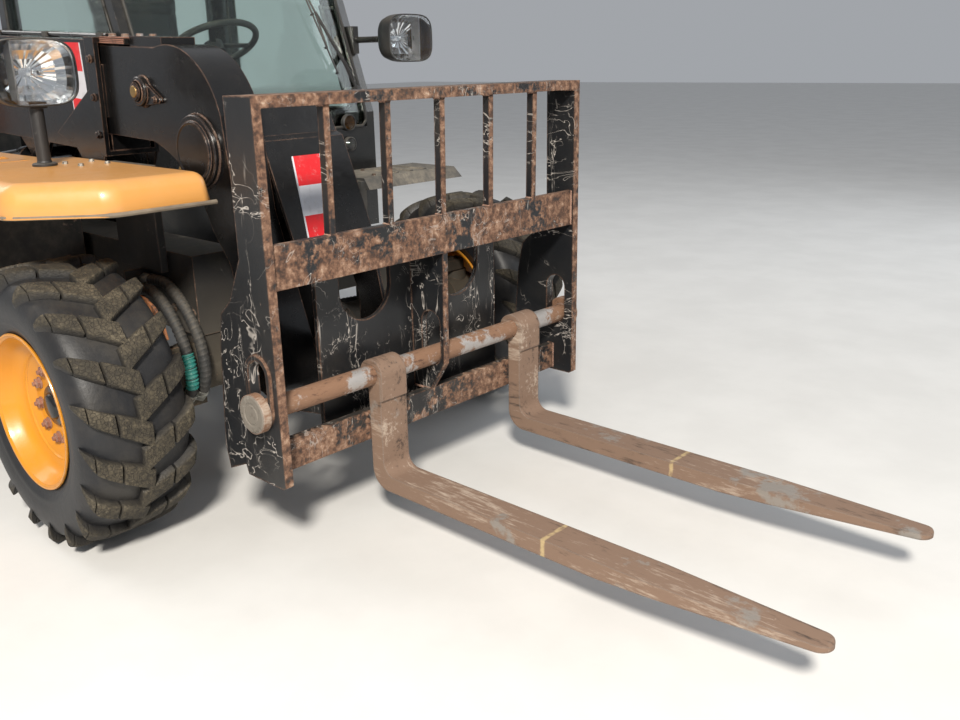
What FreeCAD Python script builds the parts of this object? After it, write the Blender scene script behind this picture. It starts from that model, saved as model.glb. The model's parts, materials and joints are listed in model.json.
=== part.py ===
import FreeCAD, Part
import math
import os

from FreeCAD import Vector

# Telehandler with a pallet fork carriage, parked with its boom down and its forks level.
# X points forward, Y to the driver's left and Z up, in millimetres. The origin lies on the
# ground, under the middle of the overall length and width.

# Layout of the machine
FRONT_AXLE_X = 487.0
WHEELBASE = 2200.0
REAR_END_X = -2453.0  # back face of the counterweight
BODY_HALF_WIDTH = 985.0  # outer edges of the fenders
RUNNING = 0.05  # radial clearance of a pin in its bore
SEAT = 0.3  # gap between pieces that rest on each other across a joint
SWING = 5.0  # side clearance between moving plates

# Wheels, the same at all four corners
TYRE_RADIUS = 403.0
TYRE_WIDTH = 310.0
TYRE_BASE_RADIUS = 380.0  # the tread's base, between the lugs
TYRE_SHOULDER_Y = 100.0  # half the flat crown
TYRE_BULGE_RADIUS = 310.0  # where the walls stand out most
TYRE_LUGS = 18  # in each of two rows
LUG_ROOT = 12.0  # depth of a lug's root below the tread's base
WHEEL_Y = 813.0  # middle of the tyre from the centreline
BEAD_RADIUS = 209.0
RIM_FLANGE_RADIUS = 224.0
RIM_HALF_WIDTH = 142.0
RIM_WALL = 9.0
DISC_DEPTH = 82.0  # from the rim's outer flange to the disc's outer face
DISC_THICKNESS = 12.0
DISC_HOLE_RADIUS = 62.0
WHEEL_NUTS = 10
NUT_CIRCLE_RADIUS = 102.0
NUT_RADIUS = 15.0
NUT_HEIGHT = 22.0
HUB_RADIUS = 92.0
SPINDLE_RADIUS = 40.0

# Axles and steering knuckles
KINGPIN_Y = 735.0
KINGPIN_RADIUS = 25.0
KNUCKLE_HALF_HEIGHT = 110.0
YOKE_THICKNESS = 38.0
YOKE_HALF_WIDTH = 44.0
YOKE_ROOT_Y = 560.0
AXLE_TUBE_RADIUS = 78.0
AXLE_CASE_RADIUS = 145.0

# Chassis
RAIL_OUTER_Y = 450.0
RAIL_INNER_Y = 280.0
RAIL_BOTTOM_Z = 520.0
RAIL_TOP_Z = 766.0
LEFT_RAIL_TOP_Z = 610.0
RAIL_WALL = 12.0
NOSE_LENGTH = 80.0  # the right rail's reach in front of the front axle
TOWER_PLATE = 25.0
BOSS_PROUD = 5.0  # the boom's pivot boss beyond the boom's sides
PIN_PROUD = 20.0  # ends of the boom's pins beyond the tower plates
TOWER_GUSSET_TOP_Z = 900.0

# Boom, drawn along its own axis from the rear pivot
BOOM_Y = -350.0
BOOM_PIVOT_X = -2063.0
BOOM_PIVOT_Z = 1306.0
BOOM_SLOPE = 2.5  # degrees, nose down
BOOM_PIN_RADIUS = 40.0
OUTER_WIDTH = 170.0
OUTER_HALF_DEPTH = 172.0
OUTER_WALL = 8.0
OUTER_LENGTH = 2181.0  # pivot to the collar's front face
HEAD_REACH = 1069.0  # collar's front face to the front edges of the carriage's side plates
CARRIAGE_X = BOOM_PIVOT_X + OUTER_LENGTH + HEAD_REACH
OUTER_TAIL = 130.0
COLLAR_LENGTH = 60.0
COLLAR_PROUD = 8.0
INNER_WIDTH = 130.0
INNER_TOP = 156.0  # above the boom's axis
INNER_BOTTOM = -112.0
INNER_WALL = 8.0
INNER_TAIL = 150.0  # back end of the inner section from the pivot
PAD_LENGTH = 120.0
PAD_GAP = 0.5
CARRIER_LENGTH = 150.0  # the pad carrier's reach in front of the collar
STOP_END = 335.0  # front end of the stop block on the inner section, from the collar
STOP_HEIGHT = 30.0

# Lift cylinder under the boom
LIFT_BASE_X = BOOM_PIVOT_X + 400.0
LIFT_BASE_Z = BOOM_PIVOT_Z - 456.0
LIFT_EYE_ALONG = 1600.0  # the rod's pin from the pivot, along the boom
LIFT_EYE_BELOW = 250.0
LIFT_PIN_RADIUS = 28.0
LIFT_BARREL_RADIUS = 55.0
LIFT_BORE_RADIUS = 42.0
LIFT_ROD_SHOWING = 185.0  # the barrel's mouth to the rod's pin, cylinder closed
LIFT_ROD_RADIUS = 28.0
LIFT_ROD_TAIL = 230.0  # piston end from the base pin, cylinder closed
LIFT_EYE_WIDTH = 80.0
LIFT_LUG = 14.0

# Boom head: a swan-necked box with a wider box beside it that carries the carriage
PLATE = 12.0
HITCH_X = CARRIAGE_X - 330.0
HITCH_Z = 450.0
HITCH_PIN_RADIUS = 32.0
HITCH_BOSS_RADIUS = 72.0
ROCKER_X = CARRIAGE_X - 568.0
ROCKER_Z = 1070.0
ROCKER_SHAFT_RADIUS = 38.0
ROCKER_ARM = 150.0
ROCKER_ANGLE = 241.0  # degrees from forward, at rest
LINK_HALF_WIDTH = 24.0
LINK_THICKNESS = 30.0
LINK_PIN_RADIUS = 20.0
LINK_Y = -150.0
HEAD_BOX_Y = 10.0  # left face of the wide box
EAR = 25.0

# Carriage and forks
CARRIAGE_WIDTH = 1234.0
CARRIAGE_TOP_Z = 1210.0
SIDE_PLATE = 25.0
TOP_RAIL_HEIGHT = 28.0
TOP_RAIL_DEPTH = 112.0
GUARD_BARS = (-400.0, -200.0, 0.0, 200.0, 400.0)
GUARD_BAR_WIDTH = 18.0
GUARD_BAR_DEPTH = 24.0
MID_BAR_BOTTOM_Z = 779.0
MID_BAR_TOP_Z = 890.0
MID_BAR_FRONT = -10.0
MID_BAR_DEPTH = 22.0
BOTTOM_BAR_BOTTOM_Z = 269.0
BOTTOM_BAR_TOP_Z = 355.0
BOTTOM_BAR_DEPTH = 25.0
CENTRE_PLATE = 20.0
BACK_PANEL_FRONT = -150.0
BACK_PANEL = 15.0
BACK_PANEL_Y = 365.0
SHAFT_BACK = -72.0  # shaft centre behind the carriage's front edge
SHAFT_Z = 463.0
SHAFT_RADIUS = 29.0
SLOT_TOP_Z = 600.0
SLOT_RIM = 13.0
SLOT_RIM_PROUD = 8.0
COLLAR_RADIUS = 52.0
COLLAR_WIDTH = 24.0
FORK_WIDTH = 100.0
FORK_THICKNESS = 47.0
FORK_TIP_THICKNESS = 14.0
FORK_LENGTH = 1299.0  # shank's front face to the tip
FORK_TOP_Z = 167.0
FORK_EYE_RADIUS = 46.0
FORKS = (("fork_right", -206.0), ("fork_left", 401.0))

# Cab, on the left of the boom
CAB_RIGHT_Y = -185.0
CAB_LEFT_Y = 860.0
CAB_WALL = 40.0
CAB_FRONT_X = -83.0
CAB_REAR_X = -1180.0
CAB_FLOOR_Z = 620.0
CAB_WAIST_Z = 1100.0
CAB_HEAD_Z = 1930.0
CAB_HEAD_X = -374.0
CAB_TOP_Z = CAB_HEAD_Z + 70.0
ROOF_OVERHANG = 22.0
GLASS = 6.0
WINDOW_BORDER = 45.0
DOOR_SILL_Z = 690.0
DOOR_GAP = 5.0
DOOR_HINGE_RADIUS = 9.0
DOOR_HINGES_Z = (DOOR_SILL_Z + 190.0, CAB_HEAD_Z - 290.0)
DOOR_HINGE_HEIGHT = 80.0

# Engine pod on the right, between the wheels
POD_FRONT_X = -60.0
POD_REAR_X = -1140.0
POD_INNER_Y = -480.0
POD_OUTER_Y = -950.0
POD_BOTTOM_Z = 430.0
POD_DECK_Z = 640.0
POD_TOP_Z = 1010.0
POD_WALL = 10.0

AXLE_Z = TYRE_RADIUS
TOWER_HALF_GAP = OUTER_WIDTH / 2 + BOSS_PROUD + SWING
REAR_AXLE_X = FRONT_AXLE_X - WHEELBASE
SHAFT_X = CARRIAGE_X + SHAFT_BACK
COLLAR_X = BOOM_PIVOT_X + OUTER_LENGTH * math.cos(math.radians(BOOM_SLOPE))


def box(x0, x1, y0, y1, z0, z1):
    """A block between two corners, given in any order along each axis."""
    low = Vector(min(x0, x1), min(y0, y1), min(z0, z1))
    return Part.makeBox(abs(x1 - x0), abs(y1 - y0), abs(z1 - z0), low)


def along_x(radius, x0, x1, y, z):
    return Part.makeCylinder(radius, abs(x1 - x0), Vector(min(x0, x1), y, z), Vector(1, 0, 0))


def along_y(radius, x, z, y0, y1):
    return Part.makeCylinder(radius, abs(y1 - y0), Vector(x, min(y0, y1), z), Vector(0, 1, 0))


def along_z(radius, x, y, z0, z1):
    return Part.makeCylinder(radius, abs(z1 - z0), Vector(x, y, min(z0, z1)), Vector(0, 0, 1))


def outline_edges(corners, place):
    """Edges through a list of corners. A corner with three values more, (x, z, "arc", x, z),
    ends an arc that passes through the second pair."""
    edges = []
    start = place(corners[0][0], corners[0][1])
    first = start
    for corner in corners[1:]:
        end = place(corner[0], corner[1])
        if len(corner) == 5:
            through = place(corner[3], corner[4])
            edges.append(Part.Arc(start, through, end).toShape())
        else:
            edges.append(Part.makeLine(start, end))
        start = end
    if start.distanceToPoint(first) > 1e-6:
        edges.append(Part.makeLine(start, first))
    return edges


def side_face(corners, y):
    """A face in the X-Z plane at y."""
    edges = outline_edges(corners, lambda x, z: Vector(x, y, z))
    return Part.Face(Part.Wire(edges))


def side_plate(corners, y0, y1):
    """An X-Z outline made y1 - y0 thick."""
    return side_face(corners, min(y0, y1)).extrude(Vector(0, abs(y1 - y0), 0))


def plan_plate(corners, z0, z1):
    """An X-Y outline made z1 - z0 thick."""
    edges = outline_edges(corners, lambda x, y: Vector(x, y, z0))
    return Part.Face(Part.Wire(edges)).extrude(Vector(0, 0, z1 - z0))


def front_plate(corners, x0, x1):
    """A Y-Z outline made x1 - x0 thick."""
    edges = outline_edges(corners, lambda y, z: Vector(x0, y, z))
    return Part.Face(Part.Wire(edges)).extrude(Vector(x1 - x0, 0, 0))


def fuse(shapes):
    joined = shapes[0].multiFuse(shapes[1:]) if len(shapes) > 1 else shapes[0]
    return joined.removeSplitter()


def cut(shape, tools):
    for tool in tools:
        shape = shape.cut(tool)
    return shape


def mirrored(shape):
    """The same piece on the other side of the centreline."""
    return shape.mirror(Vector(0, 0, 0), Vector(0, 1, 0))


def write(node, shape):
    shape.exportStep(os.path.join("parts", node + ".step"))
    print(node, "solids", len(shape.Solids), "litres", round(shape.Volume / 1e6, 2))


def write_group(node, shapes):
    write(node, Part.makeCompound(shapes))


def ahead(corners):
    """Outline corners measured from the carriage's front edge, moved to the machine's frame."""
    moved = []
    for corner in corners:
        if len(corner) == 5:
            moved.append((CARRIAGE_X + corner[0], corner[1], "arc", CARRIAGE_X + corner[3], corner[4]))
        else:
            moved.append((CARRIAGE_X + corner[0], corner[1]))
    return moved


def on_boom(shape):
    """Turns a piece drawn level at the boom's pivot to the boom's slope."""
    turned = shape.copy()
    turned.rotate(Vector(BOOM_PIVOT_X, 0, BOOM_PIVOT_Z), Vector(0, 1, 0), BOOM_SLOPE)
    return turned


def boom_box(along0, along1, y0, y1, up0, up1):
    """A block in the boom's own directions: along from the pivot, up from the axis."""
    return box(BOOM_PIVOT_X + along0, BOOM_PIVOT_X + along1, y0, y1, BOOM_PIVOT_Z + up0, BOOM_PIVOT_Z + up1)


def boom_point(along, up):
    """A point given along the boom and up from its axis, as (x, z)."""
    turn = math.radians(BOOM_SLOPE)
    x = BOOM_PIVOT_X + along * math.cos(turn) + up * math.sin(turn)
    z = BOOM_PIVOT_Z - along * math.sin(turn) + up * math.cos(turn)
    return x, z


def revolve_y(profile, x, y, z):
    """Turns a (radius, offset) profile about the Y line through (x, z); offset runs along Y."""
    edges = outline_edges(profile, lambda r, a: Vector(x + r, y + a, z))
    face = Part.Face(Part.Wire(edges))
    return face.revolve(Vector(x, y, z), Vector(0, 1, 0), 360)


# Wheels. Each is drawn on the left, with its outer face towards +Y.


# Sections of a lug from the tyre's middle to the tip on its wall
LUG_SECTIONS = (
    # offset, top radius, root offset, root radius, trail round the crown, half width
    (-10.0, TYRE_RADIUS, -10.0, TYRE_BASE_RADIUS - LUG_ROOT, -10.0, 33.0),
    (98.0, TYRE_RADIUS - 3, 90.0, TYRE_BASE_RADIUS - LUG_ROOT, 58.0, 28.0),
    (TYRE_WIDTH / 2 - 0.5, TYRE_RADIUS - 41, TYRE_WIDTH / 2 - 13, TYRE_BULGE_RADIUS + 8, 118.0, 12.0),
)


def tyre_point(x, y, radius, turn):
    """A point on the tyre: turn runs forward and down from +X."""
    return Vector(x + radius * math.cos(turn), WHEEL_Y + y, AXLE_Z - radius * math.sin(turn))


def polygon_ring(x, y, radius):
    """A closed many-sided ring round the axle, with a corner at each lug's middle and between."""
    count = 2 * TYRE_LUGS
    corners = [tyre_point(x, y, radius, math.tau * k / count) for k in range(count)]
    return Part.makePolygon(corners + [corners[0]])


def carcass(x):
    """The tyre between its lugs, with flat facets as wide as half a pitch of the tread."""
    bead_y = RIM_HALF_WIDTH - RIM_WALL
    half = [
        # offset, radius
        (TYRE_SHOULDER_Y, TYRE_BASE_RADIUS - 4),
        (TYRE_WIDTH / 2 - 2, TYRE_BULGE_RADIUS),
        (bead_y, RIM_FLANGE_RADIUS + 4),
    ]
    rings = [(-y, r) for y, r in reversed(half)] + half
    body = Part.makeLoft([polygon_ring(x, y, r) for y, r in rings], True, True)
    bore_corner = BEAD_RADIUS / math.cos(math.pi / (2 * TYRE_LUGS))
    bore = Part.Face(polygon_ring(x, -TYRE_WIDTH, bore_corner)).extrude(Vector(0, 2 * TYRE_WIDTH, 0))
    return body.cut(bore)


def lug(x, side, phase):
    """One lug: a solid with flat faces through three four-cornered sections."""
    rings = []
    for y, top, root_y, root, trail, half in LUG_SECTIONS:
        before = phase - (trail + half) / TYRE_RADIUS
        after = phase - (trail - half) / TYRE_RADIUS
        rings.append([
            tyre_point(x, side * root_y, root, before),
            tyre_point(x, side * y, top, before),
            tyre_point(x, side * y, top, after),
            tyre_point(x, side * root_y, root, after),
        ])
    panels = [rings[0], rings[-1]]
    for near, far in zip(rings, rings[1:]):
        for k in range(4):
            panels.append([near[k], near[k - 1], far[k - 1]])
            panels.append([near[k], far[k - 1], far[k]])
    faces = [Part.Face(Part.makePolygon(panel + [panel[0]])) for panel in panels]
    solid = Part.Solid(Part.Shell(faces))
    if solid.Volume < 0:
        solid.reverse()
    return solid


def tyre(x):
    """Carcass and lugs: two rows of slanting lugs, half a pitch apart, that meet as a V."""
    pitch = math.tau / TYRE_LUGS
    lugs = [lug(x, 1, pitch * k) for k in range(TYRE_LUGS)]
    lugs += [lug(x, -1, pitch * (k + 0.5)) for k in range(TYRE_LUGS)]
    return carcass(x).multiFuse(lugs)


def rim(x):
    seat = BEAD_RADIUS - SEAT
    inside = seat - RIM_WALL
    edge = RIM_HALF_WIDTH
    lip = edge - RIM_WALL + SEAT
    disc_out = edge - DISC_DEPTH
    disc_in = disc_out - DISC_THICKNESS
    shell = [
        (inside, -edge),
        (RIM_FLANGE_RADIUS, -edge),
        (RIM_FLANGE_RADIUS, -lip),
        (seat, -lip),
        (seat, lip),
        (RIM_FLANGE_RADIUS, lip),
        (RIM_FLANGE_RADIUS, edge),
        (inside, edge),
        (inside, disc_out + 46),
        (inside - 26, disc_out),
        (DISC_HOLE_RADIUS, disc_out),
        (DISC_HOLE_RADIUS, disc_in),
        (inside - 20, disc_in),
        (inside, disc_in + 30),
    ]
    wheel = revolve_y(shell, x, WHEEL_Y, AXLE_Z)
    hub = along_y(HUB_RADIUS, x, AXLE_Z, WHEEL_Y, WHEEL_Y + disc_in)
    bore = along_y(SPINDLE_RADIUS + RUNNING, x, AXLE_Z, WHEEL_Y - 10, WHEEL_Y + disc_out)
    pieces = [wheel, hub]
    for number in range(WHEEL_NUTS):
        turn = 2 * math.pi * number / WHEEL_NUTS
        nut_x = x + NUT_CIRCLE_RADIUS * math.cos(turn)
        nut_z = AXLE_Z + NUT_CIRCLE_RADIUS * math.sin(turn)
        start = WHEEL_Y + disc_out
        hexagon = Part.makePolygon([
            Vector(nut_x + NUT_RADIUS * math.cos(math.radians(60 * k)), start,
                   nut_z + NUT_RADIUS * math.sin(math.radians(60 * k)))
            for k in range(7)
        ])
        pieces.append(Part.Face(hexagon).extrude(Vector(0, NUT_HEIGHT, 0)))
    return fuse(pieces).cut(bore)


def knuckle(x):
    inner_end = KINGPIN_Y - 70
    face = WHEEL_Y - SWING
    pin_top = KNUCKLE_HALF_HEIGHT + YOKE_THICKNESS
    spindle_end = WHEEL_Y + RIM_HALF_WIDTH - DISC_DEPTH - DISC_THICKNESS
    return fuse([
        along_y(88, x, AXLE_Z, inner_end, face),
        along_z(52, x, KINGPIN_Y, AXLE_Z - KNUCKLE_HALF_HEIGHT, AXLE_Z + KNUCKLE_HALF_HEIGHT),
        along_z(KINGPIN_RADIUS, x, KINGPIN_Y, AXLE_Z - pin_top, AXLE_Z + pin_top),
        along_y(SPINDLE_RADIUS, x, AXLE_Z, face, spindle_end),
    ])


# Axles: a case with a differential in the middle and a forked yoke at each end.


def axle(x):
    top = KNUCKLE_HALF_HEIGHT + SWING
    side = []
    case = along_x(AXLE_CASE_RADIUS, x - 110, x + 110, 0, AXLE_Z)
    nose = Part.makeCone(AXLE_CASE_RADIUS - 25, 60, 130, Vector(x - 110, 0, AXLE_Z), Vector(-1, 0, 0))
    for sign in (-1, 1):
        taper = Part.makeCone(118, AXLE_TUBE_RADIUS, 200, Vector(x, 0, AXLE_Z), Vector(0, sign, 0))
        tube = along_y(AXLE_TUBE_RADIUS, x, AXLE_Z, 0, sign * YOKE_ROOT_Y)
        web = box(x - 62, x + 62, sign * YOKE_ROOT_Y, sign * (YOKE_ROOT_Y + 45),
                  AXLE_Z - top - YOKE_THICKNESS, AXLE_Z + top + YOKE_THICKNESS)
        side.extend([taper, tube, web])
        for low in (AXLE_Z + top, AXLE_Z - top - YOKE_THICKNESS):
            arm = fuse([
                box(x - YOKE_HALF_WIDTH, x + YOKE_HALF_WIDTH, sign * YOKE_ROOT_Y, sign * KINGPIN_Y,
                    low, low + YOKE_THICKNESS),
                along_z(YOKE_HALF_WIDTH, x, sign * KINGPIN_Y, low, low + YOKE_THICKNESS),
            ])
            hole = along_z(KINGPIN_RADIUS + RUNNING, x, sign * KINGPIN_Y, low - 1, low + YOKE_THICKNESS + 1)
            side.append(arm.cut(hole))
        pad_top = RAIL_BOTTOM_Z
        side.append(box(x - 75, x + 75, sign * (RAIL_INNER_Y + 15), sign * (RAIL_OUTER_Y - 15),
                        AXLE_Z + 20, pad_top))
    steering = along_y(34, x - 150, AXLE_Z + 20, -230, 230)
    rods = along_y(16, x - 150, AXLE_Z + 20, -470, 470)
    bracket = box(x - 160, x - 60, -60, 60, AXLE_Z - 10, AXLE_Z + 50)
    return fuse([case, nose, steering, rods, bracket] + side)


# Chassis: two boxed rails with cross members, and the tower that carries the boom.


def boxed_rail(y_inner, y_outer, x_front, x_back, top):
    outside = box(x_back, x_front, y_inner, y_outer, RAIL_BOTTOM_Z, top)
    side = 1 if y_outer > y_inner else -1
    inside = box(x_back + RAIL_WALL, x_front - RAIL_WALL, y_inner + side * RAIL_WALL,
                 y_outer - side * RAIL_WALL, RAIL_BOTTOM_Z + RAIL_WALL, top - RAIL_WALL)
    return outside.cut(inside)


def tower_plate(y0, y1):
    corners = [
        (BOOM_PIVOT_X + 690, RAIL_BOTTOM_Z + 40),
        (BOOM_PIVOT_X + 560, LIFT_BASE_Z + 60),
        (BOOM_PIVOT_X + 110, BOOM_PIVOT_Z + 70),
        (BOOM_PIVOT_X - 110, BOOM_PIVOT_Z + 70, "arc", BOOM_PIVOT_X, BOOM_PIVOT_Z + 130),
        (BOOM_PIVOT_X - 190, RAIL_BOTTOM_Z + 40),
    ]
    return side_plate(corners, y0, y1)


def chassis():
    back = REAR_END_X + 190
    right = boxed_rail(-RAIL_INNER_Y, -RAIL_OUTER_Y, FRONT_AXLE_X + NOSE_LENGTH, back, RAIL_TOP_Z)
    left = boxed_rail(RAIL_INNER_Y, RAIL_OUTER_Y, FRONT_AXLE_X + NOSE_LENGTH, back, LEFT_RAIL_TOP_Z)
    pieces = [right, left]
    cross_members = (
        # x from, x to, z from, z to
        (FRONT_AXLE_X - 30, FRONT_AXLE_X + NOSE_LENGTH, 560, LEFT_RAIL_TOP_Z),
        (-400, -300, 530, 600),
        (REAR_AXLE_X + 20, REAR_AXLE_X + 120, 560, LEFT_RAIL_TOP_Z),
        (back, back + 90, RAIL_BOTTOM_Z, LEFT_RAIL_TOP_Z),
    )
    for x0, x1, z0, z1 in cross_members:
        pieces.append(box(x0, x1, -RAIL_INNER_Y - 2, RAIL_INNER_Y + 2, z0, z1))
    # A gusset ties the inner tower plate to the cross member behind the cab
    root = BOOM_Y + TOWER_HALF_GAP + TOWER_PLATE
    gusset = [(root, RAIL_BOTTOM_Z + 40), (root, TOWER_GUSSET_TOP_Z), (RAIL_INNER_Y, RAIL_BOTTOM_Z + 40)]
    pieces.append(front_plate(gusset, back + 90, back + 110))
    pieces.append(hose_plate())
    return fuse(pieces)


def boom_tower(frame):
    """The two plates that carry the boom, notched round the frame, and the pins through them."""
    reach = TOWER_HALF_GAP + TOWER_PLATE + PIN_PROUD
    pins = (
        # radius, x, z
        (BOOM_PIN_RADIUS, BOOM_PIVOT_X, BOOM_PIVOT_Z),
        (LIFT_PIN_RADIUS, LIFT_BASE_X, LIFT_BASE_Z),
    )
    bores = [along_y(radius + RUNNING, x, z, BOOM_Y - reach, BOOM_Y + reach) for radius, x, z in pins]
    solids = [along_y(radius, x, z, BOOM_Y - reach, BOOM_Y + reach) for radius, x, z in pins]
    for sign in (-1, 1):
        inner = BOOM_Y + sign * TOWER_HALF_GAP
        outer = inner + sign * TOWER_PLATE
        boss = along_y(BOOM_PIN_RADIUS + 30, BOOM_PIVOT_X, BOOM_PIVOT_Z, outer, outer + sign * 12)
        solids.append(cut(tower_plate(inner, outer).fuse(boss), bores + [frame]))
    return solids


COUNTERWEIGHT_TOP_Z = 980.0


def counterweight():
    front = REAR_END_X + 190
    block = plan_plate([
        (front, -900), (REAR_END_X + 90, -900), (REAR_END_X, -760),
        (REAR_END_X, 760), (REAR_END_X + 90, 900), (front, 900),
    ], 500, COUNTERWEIGHT_TOP_Z)
    slope = side_plate([
        (REAR_END_X - 10, COUNTERWEIGHT_TOP_Z - 120), (REAR_END_X - 10, COUNTERWEIGHT_TOP_Z + 10),
        (REAR_END_X + 70, COUNTERWEIGHT_TOP_Z + 10),
    ], -910, 910)
    pocket = box(REAR_END_X - 5, REAR_END_X + 130, -80, 80, 545, COUNTERWEIGHT_TOP_Z + 10)
    jaw = []
    for low in (560, 660):
        plate = box(REAR_END_X + 5, REAR_END_X + 140, -60, 60, low, low + 25)
        jaw.append(plate)
    body = fuse([cut(block, [slope, pocket])] + jaw)
    return body.cut(along_z(16, REAR_END_X + 55, 0, 550, 690))


# Boom sections


def outer_boom():
    half = OUTER_WIDTH / 2
    y0 = BOOM_Y - half
    y1 = BOOM_Y + half
    shell = boom_box(-OUTER_TAIL, OUTER_LENGTH, y0, y1, -OUTER_HALF_DEPTH, OUTER_HALF_DEPTH)
    hollow = boom_box(OUTER_TAIL, OUTER_LENGTH + 5, y0 + OUTER_WALL, y1 - OUTER_WALL,
                      -OUTER_HALF_DEPTH + OUTER_WALL, OUTER_HALF_DEPTH - OUTER_WALL)
    collar = boom_box(OUTER_LENGTH - COLLAR_LENGTH, OUTER_LENGTH, y0 - COLLAR_PROUD, y1 + COLLAR_PROUD,
                      -OUTER_HALF_DEPTH - COLLAR_PROUD, OUTER_HALF_DEPTH + COLLAR_PROUD)
    pieces = [shell, collar]
    for sign in (-1, 1):
        # The collar's side plates run down to a pointed ear
        y = BOOM_Y + sign * half
        ear = side_plate([
            (BOOM_PIVOT_X + OUTER_LENGTH, BOOM_PIVOT_Z + 60),
            (BOOM_PIVOT_X + OUTER_LENGTH, BOOM_PIVOT_Z - 160),
            (BOOM_PIVOT_X + OUTER_LENGTH - 62, BOOM_PIVOT_Z - 278),
            (BOOM_PIVOT_X + OUTER_LENGTH - 104, BOOM_PIVOT_Z - 268, "arc",
             BOOM_PIVOT_X + OUTER_LENGTH - 88, BOOM_PIVOT_Z - 284),
            (BOOM_PIVOT_X + OUTER_LENGTH - 200, BOOM_PIVOT_Z - OUTER_HALF_DEPTH + 4),
            (BOOM_PIVOT_X + OUTER_LENGTH - 330, BOOM_PIVOT_Z - OUTER_HALF_DEPTH + 40),
        ], y, y + sign * COLLAR_PROUD)
        pieces.append(ear)
        pieces.append(boom_box(OUTER_LENGTH - 96, OUTER_LENGTH - 70, y - 2, y + 2, -284, -170))
    # Wear pads inside the front end, and the pad carrier that stands out above the inner section
    inner_half = INNER_WIDTH / 2
    pad0 = OUTER_LENGTH - PAD_LENGTH
    pads = (
        # y from, y to, up from, up to
        (-inner_half, inner_half, INNER_TOP + PAD_GAP, OUTER_HALF_DEPTH - OUTER_WALL),
        (-inner_half, inner_half, -OUTER_HALF_DEPTH + OUTER_WALL, INNER_BOTTOM - PAD_GAP),
        (-half + OUTER_WALL, -inner_half - PAD_GAP, -60, 100),
        (inner_half + PAD_GAP, half - OUTER_WALL, -60, 100),
    )
    carrier = boom_box(OUTER_LENGTH - 10, OUTER_LENGTH + CARRIER_LENGTH, y0 + 15, y1 - 15,
                       INNER_TOP + SWING, OUTER_HALF_DEPTH + COLLAR_PROUD - 2)
    # Lugs for the lift cylinder's rod
    eye_x = BOOM_PIVOT_X + LIFT_EYE_ALONG
    eye_z = BOOM_PIVOT_Z - LIFT_EYE_BELOW
    for sign in (-1, 1):
        y = BOOM_Y + sign * (LIFT_EYE_WIDTH / 2 + SWING)
        pieces.append(side_plate([
            (eye_x - 150, BOOM_PIVOT_Z - OUTER_HALF_DEPTH + 2),
            (eye_x - 46, eye_z),
            (eye_x + 46, eye_z, "arc", eye_x, eye_z - 46),
            (eye_x + 110, BOOM_PIVOT_Z - OUTER_HALF_DEPTH + 2),
        ], y, y + sign * LIFT_LUG))
        pieces.append(along_y(LIFT_PIN_RADIUS + 8, eye_x, eye_z, y + sign * LIFT_LUG, y + sign * (LIFT_LUG + 12)))
    boss = along_y(88, BOOM_PIVOT_X, BOOM_PIVOT_Z, y0 - BOSS_PROUD, y1 + BOSS_PROUD)
    body = fuse(pieces + [boss]).cut(hollow)
    for y_low, y_high, up_low, up_high in pads:
        body = body.fuse(boom_box(pad0, OUTER_LENGTH - 5, BOOM_Y + y_low, BOOM_Y + y_high, up_low, up_high))
    body = body.fuse(carrier)
    bore = along_y(BOOM_PIN_RADIUS + RUNNING, BOOM_PIVOT_X, BOOM_PIVOT_Z, y0 - 20, y1 + 20)
    return on_boom(body.cut(bore).removeSplitter())


def swan_neck_outline():
    """The head's side outline, from the carriage's front edge, clockwise from the boom's top."""
    start = -900.0
    top_z = boom_point(CARRIAGE_X + start - BOOM_PIVOT_X, INNER_TOP)[1]
    low_z = boom_point(CARRIAGE_X + start - BOOM_PIVOT_X, INNER_BOTTOM)[1]
    neck = -760.0
    neck_top_z = boom_point(CARRIAGE_X + neck - BOOM_PIVOT_X, INNER_TOP)[1]
    neck_low_z = boom_point(CARRIAGE_X + neck - 60 - BOOM_PIVOT_X, INNER_BOTTOM)[1]
    hitch = HITCH_X - CARRIAGE_X
    radius = HITCH_BOSS_RADIUS
    return ahead([
        (start, top_z),
        (neck, neck_top_z),
        (-447.0, 1170.0, "arc", -535.0, 1304.0),
        (-413.0, 904.0),
        (hitch + radius, HITCH_Z + 20),
        (hitch - radius, HITCH_Z + 20, "arc", hitch, HITCH_Z - radius),
        (-472.0, 755.0),
        (-545.0, 847.0),
        (neck - 60, neck_low_z, "arc", -640.0, 990.0),
        (start, low_z),
    ])


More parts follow.
